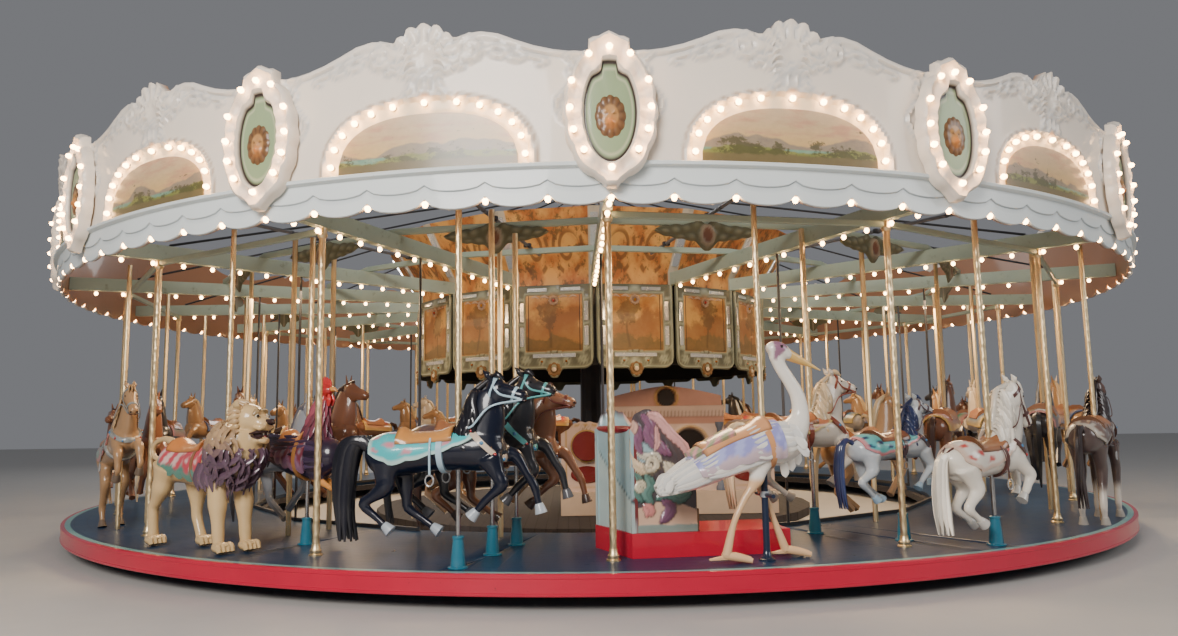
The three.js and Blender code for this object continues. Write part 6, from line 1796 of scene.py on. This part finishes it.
def crane():
    """The crane in its own frame, facing +X."""
    white, grey, leg_tone = np.array((0.80, 0.76, 0.68)), np.array((0.50, 0.52, 0.54)), np.array((0.70, 0.44, 0.24))
    trunk = Loft(
        (-0.94, 0.875, 0.045, 0.035), (-0.79, 0.95, 0.125, 0.090), (-0.57, 1.05, 0.18, 0.135),
        (-0.30, 1.17, 0.205, 0.165),
        (-0.02, 1.25, 0.205, 0.180), (0.16, 1.28, 0.18, 0.180), (0.27, 1.31, 0.13, 0.15), (0.35, 1.34, 0.06, 0.08),
    )  # fmt: skip
    neck = Loft(
        (0.20, 1.28, 0.12, 0.16), (0.31, 1.40, 0.095, 0.115), (0.355, 1.52, 0.072, 0.078), (0.335, 1.67, 0.060, 0.064),
        (0.265, 1.80, 0.054, 0.058), (0.195, 1.91, 0.052, 0.056), (0.145, 2.03, 0.058, 0.062),
    )  # fmt: skip
    head = Loft(
        (0.085, 2.055, 0.045, 0.052), (0.13, 2.075, 0.068, 0.072), (0.195, 2.065, 0.070, 0.072),
        (0.25, 2.035, 0.050, 0.052), (0.29, 2.010, 0.030, 0.034),
    )
    thighs = [
        limb((-0.02, 1.14, 0.08, 0.11, 0.09), (-0.01, 0.95, 0.052, 0.060, 0.09), (0.02, 0.84, 0.035, 0.038, 0.09)),
        limb((-0.05, 1.14, 0.08, 0.11, -0.09), (-0.11, 0.97, 0.056, 0.066, -0.09), (-0.17, 0.88, 0.036, 0.040, -0.09)),
    ]
    body = [skin(trunk, 22, 20), skin(neck, 24, 14), skin(head, 10, 12)] + [skin(thigh, 10, 12) for thigh in thighs]

    def paint(points):
        """White, with a grey painted shade low on the rear of the body under the tail, a violet crown and bare legs."""
        x, z = points[:, 0], points[:, 2]
        crown = soft(z - 0.9 * (x - 0.13), 1.975, 1.995) * soft(x, 0.105, 0.125) * soft(z, 1.95, 1.98)
        legs = soft(z, 1.01, 0.95) * soft(x, -0.28, -0.22) * soft(x, 0.14, 0.08)
        tone = tint(white, (0.27, 0.13, 0.20), crown)
        # Grey painted shade under the rear of the body.
        return tint(tint(tone, grey, soft(z, 1.08, 0.95) * soft(x, 0.0, -0.2) * 0.35), leg_tone, legs)

    parts = [cast(body, paint, 0.013, 4, 0.36)]
    shins = [
        (((0.01, 0.86), (0.06, 0.76), (0.12, 0.60), (0.21, 0.36)), 0.09),
        (((-0.16, 0.90), (-0.23, 0.80), (-0.32, 0.62), (-0.39, 0.37)), -0.09),
    ]
    for points, y in shins:
        path = [(x, y, z) for x, z in points]
        parts.append(ribbon(path, [0.036, 0.030, 0.026, 0.040], 9, leg_tone, 0, 1.0, 24))
        heel = np.array([points[-1][0], y, 0.350])
        for swing in (-0.42, 0.0, 0.42):
            toe = heel + np.array([0.21 * math.cos(swing), 0.21 * math.sin(swing), -0.020])
            parts.append(
                ribbon(
                    [heel + [-0.03, 0, 0.02], (heel + toe) / 2 + [0, 0, 0.012], toe], [0.034, 0.032, 0.020], 8,
                    leg_tone, 0, 0.7,
                )
            )
        parts.append(ribbon([heel, heel + [-0.15, 0, -0.012]], [0.026, 0.010], 6, leg_tone))
    for side in (-1, 1):
        for layer, (start, number, reach) in enumerate(
            ((0.34, 7, 0.30), (0.48, 8, 0.34), (0.66, 8, 0.36), (0.80, 7, 0.28))
        ):
            for k in range(number):
                turn = math.radians(34 + k * 92 / number)
                root = trunk.at(start, side * turn, 0.004)
                tip = trunk.at(
                    max(start - reach, 0.03), side * turn * 0.94, 0.014 + 0.005 * layer
                ) + np.array([-0.03, 0, -0.012])
                parts.append(feather(root, tip, 0.036, tint(white, grey, np.array(0.12 + 0.42 * (k % 2))), 0.006))
        eye = head.at(0.42, side * math.radians(70), -0.004)
        parts.append(ribbon([eye - [0.010, 0, 0], eye + [0.010, 0, 0]], 0.013, 8, (0.02, 0.01, 0.01), 1))
        for k in range(4):
            root = trunk.at(0.80, side * math.radians(40 + 22 * k), 0.006)
            parts.append(
                feather(
                    root, root + np.array([0.09, side * 0.02, -0.09]), 0.040,
                    tint(white, grey, np.array(0.2 + 0.3 * (k % 2))), 0.01,
                )
            )
    for k in range(7):
        root = trunk.at(0.14, math.radians(-66 + 22 * k), 0.0)
        parts.append(
            feather(
                root, root + np.array([-0.10, 0.010 * (k - 3), -0.085]), 0.038,
                tint(white, grey, np.array(0.2 + 0.3 * (k % 2))),
            )
        )
    for k in range(3):
        drop = np.array([0.16 + 0.07 * k, 0.02 * (k - 1), 1.13 + 0.05 * k])
        parts.append(feather(drop, drop + [0.03, 0, -0.15], 0.042, white * 0.95))
    parts.append(
        ribbon(
            [(0.24, 0, 2.050), (0.34, 0, 2.000), (0.45, 0, 1.945), (0.56, 0, 1.890)], [0.046, 0.036, 0.022, 0.005], 9,
            (0.66, 0.42, 0.13), 0, 0.75,
        )
    )
    parts.append(
        ribbon(
            [(0.24, 0, 2.012), (0.33, 0, 1.975), (0.44, 0, 1.928)], [0.030, 0.022, 0.005], 8, (0.56, 0.30, 0.09), 0, 0.6
        )
    )
    look = dict(
        blanket=(0.27, 0.27, 0.56), trim=(0.52, 0.40, 0.44), flower=(0.36, 0.38, 0.66), saddle=(0.62, 0.30, 0.14),
        strap=(0.58, 0.28, 0.12),
    )

    def pad_tone(along, over):
        """Slanting green and rose stripes."""
        return tint((0.30, 0.34, 0.20), (0.62, 0.30, 0.32), soft(np.sin(along * 21 + np.abs(over) * 8), 0.1, 0.4))

    parts += saddle_cloths(trunk, look, 0.26, 0.62, 0.05)
    parts.append(cloth(trunk, 0.27, 0.46, 34, 0.058, pad_tone, 12, 16, 0.03))
    navy = (0.012, 0.020, 0.045)
    parts.append(
        turned(
            [(0, 0), (0.070, 0), (0.070, 0.012), (0.040, 0.03), (0.029, 0.09), (0.029, 0.83), (0, 0.83)], 14, navy, 0,
            (0, 0, pole_base),
        )
    )
    parts.append(turned([(0, 0), (0.040, 0), (0.040, 0.05), (0, 0.05)], 12, (0.30, 0.33, 0.36), 1, (0, 0, 0.82)))
    return parts + [ribbon([(0, -0.18, 0.84), (0, 0.18, 0.84)], 0.018, 8, navy)]


standing_figure("lion", -34.2, 7.13, lion(), "tan_coat", 0.6, 0.44)
standing_figure("crane", 10.3, 7.19, crane(), "white_coat", 0.6)


# Rooster. A near-black plum bird that strides as it rises: hackle feathers down a red neck, a comb and wattles, a
# low fan of sickle feathers and one orange leg stretched ahead; a dark cloth and an orange saddle are on it.
def rooster():
    """The rooster in its own frame, facing +X."""
    plum, ink, red, orange = np.array((0.20, 0.045, 0.065)), np.array((0.022, 0.014, 0.030)), (
        0.50, 0.03, 0.03
    ), (0.62, 0.27, 0.07)
    trunk = Loft(
        (-0.62, 1.30, 0.04, 0.045), (-0.52, 1.27, 0.09, 0.10), (-0.36, 1.21, 0.150, 0.160), (-0.15, 1.165, 0.185, 0.20),
        (0.06, 1.155, 0.188, 0.215), (0.22, 1.16, 0.172, 0.21), (0.36, 1.185, 0.125, 0.155), (0.43, 1.20, 0.06, 0.08),
    )  # fmt: skip
    neck = Loft(
        (0.11, 1.24, 0.145, 0.21), (0.11, 1.38, 0.110, 0.150), (0.13, 1.51, 0.084, 0.105), (0.165, 1.64, 0.064, 0.074),
        (0.20, 1.75, 0.052, 0.056),
    )
    head = Loft(
        (0.15, 1.79, 0.040, 0.048), (0.205, 1.815, 0.058, 0.064), (0.265, 1.815, 0.048, 0.052),
        (0.305, 1.812, 0.028, 0.030),
    )
    thighs = [
        limb((0.06, 1.05, 0.085, 0.11, 0.08), (0.14, 0.95, 0.058, 0.064, 0.08), (0.20, 0.91, 0.036, 0.038, 0.08)),
        limb((0.10, 1.05, 0.085, 0.11, -0.08), (0.20, 0.96, 0.058, 0.064, -0.08), (0.27, 0.915, 0.036, 0.038, -0.08)),
    ]
    body = [skin(trunk, 20, 20), skin(neck, 18, 16), skin(head, 10, 12)] + [skin(thigh, 10, 12) for thigh in thighs]

    def tone(points):
        """Near black below, plum on the neck, red on the head and orange on the legs."""
        face = tint(ink, plum, soft(points[:, 2], 1.28, 1.42))
        face = tint(face, np.array(red) * 0.8, soft(points[:, 2], 1.50, 1.72))
        return tint(face, np.array(orange), soft(points[:, 2], 0.95, 0.92) * soft(points[:, 0], 0.14, 0.18))

    parts = [cast(body, tone, 0.014, 4, 0.34)]
    for side in (-1, 1):
        for row, share in enumerate((0.95, 0.75, 0.55, 0.35)):
            for k in range(6):
                turn = math.radians(16 + 30 * k + 12 * (row % 2))
                root, tip = neck.at(share, side * turn, 0.0), neck.at(max(share - 0.33, 0), side * turn * 0.97, 0.020)
                shade = tint(plum * 1.2, ink, np.array((0.0, 0.25, 0.55, 0.85)[row])) * (0.8 + 0.25 * ((k + row) % 3))
                parts.append(feather(root, tip + [-0.01, 0, -0.02], 0.028, shade, 0.0))
        for row, (start, number) in enumerate(((0.80, 6), (0.62, 7), (0.45, 7), (0.28, 6))):
            for k in range(number):
                turn = math.radians(40 + k * 96 / number)
                root, tip = trunk.at(start, side * turn, 0.006), trunk.at(
                    max(start - 0.30, 0.0), side * turn * 0.93, 0.022
                )
                parts.append(feather(root, tip + [-0.03, 0, 0.0], 0.038, ink * (0.9 + 0.9 * ((k + row) % 3)), 0.008))
        for k in range(5):
            plume = [
                (-0.42, side * 0.03, 1.29), (-0.52, side * (0.04 + 0.01 * k), 1.34 - 0.03 * k),
                (-0.60, side * 0.06, 1.35 - 0.05 * k), (-0.68 + 0.01 * k, side * 0.07, 1.28 - 0.06 * k),
            ]
            parts.append(ribbon(plume, [0.03, 0.046, 0.040, 0.010], 7, ink * (0.8 + 0.4 * (k % 3)), 0, 0.35, 12))
        eye = head.at(0.40, side * math.radians(72), -0.003)
        parts.append(ribbon([eye - [0.008, 0, 0], eye + [0.008, 0, 0]], 0.011, 8, (0.02, 0.01, 0.01), 1))
        parts.append(
            ribbon(
                [(0.275, side * 0.020, 1.775), (0.285, side * 0.026, 1.72), (0.275, side * 0.026, 1.66)],
                [0.014, 0.032, 0.014], 8, red, 0, 0.6,
            )
        )
    for k in range(5):
        base = np.array([0.155 + 0.030 * k, 0, 1.862 - 0.002 * k])
        peak = 0.02 * math.sin(k * 0.8)
        parts.append(
            ribbon(
                [base, base + [-0.006, 0, 0.045 + peak * 0.6], base + [-0.016, 0, 0.078 + peak]], [0.020, 0.022, 0.006],
                7, red, 0, 0.6,
            )
        )
    parts.append(
        ribbon([(0.29, 0, 1.826), (0.335, 0, 1.822), (0.375, 0, 1.798)], [0.030, 0.022, 0.003], 8, orange, 0, 0.9)
    )
    for (points, y) in (((0.19, 0.915), (0.26, 0.88), (0.32, 0.85)), 0.08), (
        ((0.26, 0.92), (0.34, 0.88), (0.42, 0.85)), -0.08
    ):
        path = [(x, y, z) for x, z in points]
        parts.append(ribbon(path, [0.034, 0.028, 0.030], 8, orange, 0, 1.0, 12))
        heel = np.array([points[-1][0], y, points[-1][1]])
        for swing in (-0.5, 0.0, 0.5):
            toe = heel + np.array([0.09 * math.cos(swing), 0.09 * math.sin(swing), -0.03])
            parts.append(
                ribbon([heel, (heel + toe) / 2 + [0, 0, 0.012], toe], [0.026, 0.022, 0.010], 7, orange, 0, 0.9)
            )
    look = dict(
        blanket=(0.14, 0.030, 0.045), trim=(0.20, 0.10, 0.16), flower=(0.20, 0.16, 0.20), saddle=(0.58, 0.22, 0.06),
        strap=(0.36, 0.16, 0.05),
    )
    return parts + saddle_cloths(trunk, look, 0.28, 0.56, 0.08)


build(
    "carved_rooster", stood_at(rooster(), -27.6, 6.46), [coat_finish, glass_finish], "rooster_rider", "plumage",
    "rooster", crease=50.0,
)
rooster_pole = stood_at(mount_pole(1.10), -27.6, 6.46)
rooster_pole[1].kind = 1
build("pole_of_rooster", rooster_pole, [brass.material, steel.material], "rooster_rider", "brass")


# Chariot. A bench on a red plinth between carved sides: a pale blue back shell with a dark red roll leads into a
# cream scroll, a violet and pink crest and green leaves, over a peach panel and a grey-green skirting.
CHARIOT_TURN, CHARIOT_RADIUS = 8.6, 6.42
RED_PLINTH, SHELL_BLUE, PEACH, CREAM = (0.50, 0.012, 0.035), (0.30, 0.44, 0.47), (0.62, 0.40, 0.28), (0.66, 0.50, 0.32)
CREST_VIOLET, CREST_PINK, LEAF_GREEN, SKIRT_GREEN = (0.20, 0.085, 0.15), (0.62, 0.32, 0.30), (
    0.10, 0.20, 0.17
), (0.22, 0.27, 0.24)
PLINTH = [(-0.870, -0.450), (0.560, -0.450), (0.560, 0.270), (-1.060, 0.270)]
SIDE_X = (-0.745, -0.72, -0.70, -0.64, -0.56, -0.48, -0.40, -0.30, -0.21, -0.16, -0.14)
SIDE_Z = (1.405, 1.470, 1.515, 1.558, 1.570, 1.545, 1.455, 1.350, 1.270, 1.120, 0.900)
SIDE_CARVING = [
    (arc((-0.745, 1.30), (-0.745, 1.17), (-0.69, 1.08), (-0.59, 1.045), (-0.49, 1.065)), 0.034, 0.042, CREAM),
    (arc((-0.68, 1.30), (-0.66, 1.20), (-0.58, 1.16), (-0.50, 1.18), (-0.46, 1.12)), 0.020, 0.026, (0.62, 0.56, 0.44)),
    (arc((-0.70, 1.46), (-0.66, 1.36), (-0.68, 1.28), (-0.64, 1.20)), 0.034, 0.036, CREST_VIOLET),
    (arc((-0.62, 1.52), (-0.55, 1.44), (-0.56, 1.34), (-0.46, 1.24), (-0.38, 1.18)), 0.040, 0.036, CREST_VIOLET),
    (arc((-0.56, 1.53), (-0.46, 1.49), (-0.36, 1.38), (-0.25, 1.27), (-0.20, 1.16)), 0.042, 0.044, CREST_PINK),
    (arc((-0.50, 1.42), (-0.49, 1.30), (-0.51, 1.22)), 0.018, 0.030, CREST_PINK),
    (coil(-0.735, 1.43, 0.055, 1.1, 90, 1), 0.026, 0.034, (0.60, 0.36, 0.28)),
    (coil(-0.55, 1.10, 0.06, 1.2, 200, 1), 0.018, 0.030, (0.60, 0.52, 0.38)),
    (arc((-0.42, 1.10), (-0.36, 1.02), (-0.34, 0.90), (-0.38, 0.82)), 0.045, 0.030, (0.60, 0.52, 0.38)),
    (arc((-0.70, 1.02), (-0.66, 0.94), (-0.70, 0.86), (-0.64, 0.78)), 0.030, 0.038, LEAF_GREEN),
    (arc((-0.60, 1.00), (-0.56, 0.92), (-0.60, 0.84), (-0.55, 0.76)), 0.034, 0.042, LEAF_GREEN),
    (coil(-0.655, 0.905, 0.03, 1.0, 0, 1), 0.022, 0.044, (0.62, 0.56, 0.40)),
    (arc((-0.50, 0.80), (-0.40, 0.84), (-0.30, 0.80), (-0.20, 0.84)), 0.036, 0.034, LEAF_GREEN),
    (arc((-0.45, 0.78), (-0.38, 0.72), (-0.42, 0.65), (-0.47, 0.60)), 0.034, 0.034, CREST_VIOLET),
    (arc((-0.34, 0.88), (-0.26, 0.90), (-0.19, 0.88)), 0.026, 0.034, (0.55, 0.14, 0.10)),
    (arc((-0.62, 0.74), (-0.58, 0.70), (-0.60, 0.66)), 0.036, 0.024, (0.58, 0.22, 0.20)),
]


def chariot_side():
    """One carved side facing -Y, its relief and colours taken from the nearest carved curve."""
    x = (np.linspace(0, 1, 78) * 0.603 - 0.744)[:, None] + np.zeros((1, 72))
    top = np.interp(x, SIDE_X, SIDE_Z) + 0.012 * np.abs(np.sin((x + 0.16) * 26)) * soft(
        x, -0.74, -0.70
    ) * soft(x, -0.30, -0.50)
    z = 0.512 + (np.minimum(top, 1.574) - 0.512) * np.linspace(0, 1, 72)[None, :]
    lower = soft(0.70 + 0.07 * np.sin((x + 0.72) * 5.5) - z, -0.003, 0.003)
    ground = tint((0.07, 0.055, 0.06), PEACH, lower)
    ground = tint(ground, SHELL_BLUE, soft(np.hypot((x + 0.60) / 0.10, (z - 1.20) / 0.09), 1.05, 0.95))
    tone = tint(ground, SKIRT_GREEN, soft(z, 0.578, 0.572))
    rise = 0.008 * soft(z, 0.578, 0.572)
    for curve, width, tall, colour in SIDE_CARVING:
        away = np.hypot(x[..., None] - curve[:, 0], z[..., None] - curve[:, 1])
        place, away = away.argmin(axis=-1), away.min(axis=-1)
        leaf = width * (0.40 + 0.85 * np.sin(place / (len(curve) - 1) * math.pi) ** 0.7) * (
            1 + 0.18 * np.abs(np.sin(place * 0.55))
        )
        # A dark rim just outside each carving, in a darker copy of its colour: painted shade at the foot of the relief.
        tone = tint(tone, np.array(colour) * 0.25, np.exp(-(((away - leaf * 1.12) / 0.009) ** 2)) * 0.8)
        tone = tint(tone, colour, soft(away, leaf * 1.10, leaf * 0.96))
        tone = tint(tone, np.array(colour) * 0.55, np.exp(-((away / 0.006) ** 2)) * 0.7)
        vein = 1 - 0.40 * np.abs(np.sin(place * 0.9)) * soft(away, leaf * 0.3, leaf)
        rise = np.maximum(rise, 0.50 * tall * vein * np.sqrt(np.clip(1 - (away / (leaf * 1.15)) ** 2, 0, 1)))
    rise = rise + 0.004 * np.sin(x * 120 + z * 60) * soft(z, 0.85, 1.0)
    return board_slab(np.stack([x, -rise, z], -1), np.stack([x, 0.030 + 0 * x, z], -1)[:, ::6], tone, 0, SHELL_BLUE)


def back_shell():
    """The hollowed back board facing -Y: a blue ground, and a paler lower part under a dark falling line."""
    x = np.linspace(-1, 1, 33)[:, None] * 0.366 + np.zeros((1, 34))
    z = 0.512 + 0.890 * np.linspace(0, 1, 34)[None, :] + 0 * x
    curve_line = 1.30 - 0.52 * ((x + 0.366) / 0.732) ** 0.7
    tone = tint(SHELL_BLUE, (0.42, 0.52, 0.50), soft(z, curve_line - 0.004, curve_line - 0.010))
    tone = tint(tone, (0.06, 0.10, 0.11), np.exp(-(((z - curve_line) / 0.009) ** 2)))
    hollow = 0.012 + 0.018 * (x / 0.366) ** 2
    return board_slab(
        np.stack([x, -hollow, z], -1), np.stack([x, 0.030 + 0 * x, z], -1)[:, ::5], tone, 0, (0.17, 0.03, 0.03)
    )


def footprint(points, low, high, colour):
    """A closed block over a plan of four points."""
    plan = np.array(points, float)
    rings = [np.column_stack([np.repeat(plan.mean(axis=0)[None], 4, axis=0), np.full(4, low)])]
    rings += [np.column_stack([plan, np.full(4, level)]) for level in (low, high)]
    rings.append(np.column_stack([np.repeat(plan.mean(axis=0)[None], 4, axis=0), np.full(4, high)]))
    return Sheet(np.stack(rings), around=True, colour=colour)


stretch = np.diag([0.982, 1.0, 1.0])
near_side = chariot_side().moved(stretch, (-0.140, -0.420, 0))
far_side = chariot_side().moved(stretch @ np.diag([1.0, -1.0, 1.0]), (-0.312, 0.240, 0))
end_turn = turned_by(math.degrees(math.atan2(0.190, 0.720)) - 90)
end_middle = np.array([-0.965 + 0.034, -0.090 + 0.009, 0.0])
chariot = [
    footprint(PLINTH, 0.3005, 0.5105, RED_PLINTH),
    footprint([(-0.845, -0.385), (-0.250, -0.385), (-0.250, 0.205), (-0.985, 0.205)], 0.5105, 0.700,
              (0.20, 0.12, 0.07)),
    near_side, far_side, back_shell().moved(end_turn, end_middle),
]  # fmt: skip
roll_red = (0.24, 0.015, 0.03)
end_roll = [end_turn @ np.array([x, 0.0, 1.395 + 0.02 * abs(x)]) + end_middle for x in (-0.33, -0.16, 0.0, 0.16, 0.33)]
chariot.append(ribbon(end_roll, [0.026, 0.036, 0.038, 0.036, 0.026], 10, roll_red, 0, 1.0, 22))
chariot_finish = enamel("chariot_enamel", 0.3, 0.14, 5.0, 0.5, 0.6)
build(
    "carved_chariot", stood_at(chariot, CHARIOT_TURN, CHARIOT_RADIUS), [chariot_finish], "turntable", "chariot_paint",
    "chariot", crease=40.0,
)


# Crankshafts and inner rows. Each section has a steel crankshaft above its braces, in bearing blocks; the horses
# behind the front ones hang from its throws on brass poles.
CRANK_HEIGHT, INNER_PITCH = 3.596, 0.30
ROWS = (7.30, 6.70, 6.10, 5.55)
COATS = [
    ((0.16, 0.065, 0.035), (0.04, 0.02, 0.015)), ((0.55, 0.47, 0.37), (0.46, 0.36, 0.24)),
    ((0.035, 0.03, 0.03), (0.02, 0.02, 0.02)),
    ((0.34, 0.19, 0.09), (0.50, 0.36, 0.20)), ((0.26, 0.27, 0.29), (0.10, 0.10, 0.12)),
    ((0.24, 0.10, 0.05), (0.60, 0.50, 0.36)),
]  # fmt: skip
CLOTHS = [
    ((0.30, 0.04, 0.04), (0.46, 0.30, 0.10)), ((0.05, 0.16, 0.30), (0.48, 0.36, 0.14)),
    ((0.06, 0.24, 0.16), (0.50, 0.22, 0.20)),
    ((0.36, 0.18, 0.05), (0.10, 0.14, 0.26)), ((0.22, 0.06, 0.20), (0.44, 0.40, 0.30)),
]  # fmt: skip


def crankshaft():
    """The shaft with cheeks at each row and a bearing block on each brace ring."""
    shaft = ribbon(
        [(0, -7.55, CRANK_HEIGHT), (0, -5.6, CRANK_HEIGHT), (0, -3.70, CRANK_HEIGHT)], 0.021, 8, (0.16, 0.16, 0.17), 1,
        1.0, 6,
    )
    parts = [shaft]
    for radius in ROWS:
        for side in (-0.05, 0.05):
            cheek = turned(
                [(0, -0.012), (0.024, -0.012), (0.024, 0.012), (0, 0.012)], 8, (0.10, 0.10, 0.11), 1,
                (0, -radius + side, CRANK_HEIGHT), True,
            )
            parts.append(cheek)
    for radius in (4.325, 5.775):
        parts.append(
            rounded_box(
                (-0.045, -radius - 0.025, 3.5705), (0.045, -radius + 0.025, 3.620), (0.05, 0.05, 0.055), 1, 0.006
            )
        )
    return parts


def plain_horse(number):
    """A jumper of the inner rows, with the same build as the front ones and fewer faces."""
    coat, mane = (np.array(tone) for tone in COATS[number % 6])
    main, trim = (np.array(tone) for tone in CLOTHS[number % 5])
    trunk, neck, head = Loft(*HORSE["trunk"]), Loft(*HORSE["neck"]), head_loft(HORSE)
    parts = [skin(trunk, 9, 9, coat), skin(neck, 5, 8, coat), skin(head, 8, 7, coat)]
    for root, knee, ankle, toe in HORSE["legs"]:
        parts.append(skin(limb(root, knee, ankle, (toe[0], toe[1], 0.042, 0.046, ankle[4])), 8, 6, coat))

    def tone(along, over):
        """The main colour, with the trim at the hem and at both ends."""
        return tint(main, trim, np.maximum(soft(np.abs(over), 0.7, 0.8), soft(np.abs(along - 0.5), 0.40, 0.46)))

    def bow(along, over):
        """Rises towards both ends and falls to the sides."""
        return 0.03 + 0.05 * np.abs(along * 2 - 1) ** 3 * (1 - over**2)

    saddle = (0.30, 0.13, 0.06)
    parts.append(cloth(trunk, 0.20, 0.66, 98, 0.020, tone, 6, 9, 0.018))
    parts.append(cloth(trunk, 0.33, 0.62, 60, bow, saddle, 5, 6, 0.03))
    parts.append(
        ribbon(
            [neck.at(t, 0.0, 0.012) for t in (0.05, 0.5, 1.0)] + [head.at(0.2, 0.0, 0.02)], [0.045, 0.05, 0.04, 0.02],
            6, mane, 0, 0.7, 7,
        )
    )
    parts.append(ribbon(HORSE["tail"], [0.03, 0.05, 0.055, 0.045, 0.01], 6, mane, 0, 0.9, 7))
    for side in (-1, 1):
        ear = head.at(0.10, side * 0.5, -0.01)
        parts.append(ribbon([ear, ear + [0.0, side * 0.02, 0.10]], [0.022, 0.004], 4, coat, 0, 1.0, 3))
    return parts


plain_horses = [plain_horse(number) for number in range(6)]
steel_finish = enamel("crank_steel", 0.4, 0.2, 9.0, 0.1, 0.4)
build(
    "crankshaft_01", stood_at(crankshaft(), SECTION / 2), [steel_finish, steel_finish], "turntable", "iron",
    "crankshaft_section_01",
)
for section in range(1, 16):
    rows = {1: (3,), 2: (1, 3), 13: (1, 3), 14: (2, 3), 15: (3,)}.get(section, (0, 2, 3) if section % 2 else (0, 1, 3))
    mid_turn = (section + 0.5) * SECTION
    herd = stood_at(crankshaft(), mid_turn)
    for row in rows:
        lift = (-0.12, 0.09, -0.03, 0.13)[(row + section) % 4]
        herd += stood_at(plain_horses[(section * 3 + row * 2) % 6], mid_turn, ROWS[row], lift)
        pole = rope_twist(pole_base, CRANK_HEIGHT, THICK_POLE, INNER_PITCH, sides=6, steps=4)
        pole.kind = 2
        herd += stood_at([pole], mid_turn, ROWS[row])
    build(f"inner_horses_section_{section + 1:02d}", herd, [coat_finish, steel_finish, brass.material], "turntable",
          "horse_paint", f"horses_section_{section + 1:02d}", crease=55.0)  # fmt: skip
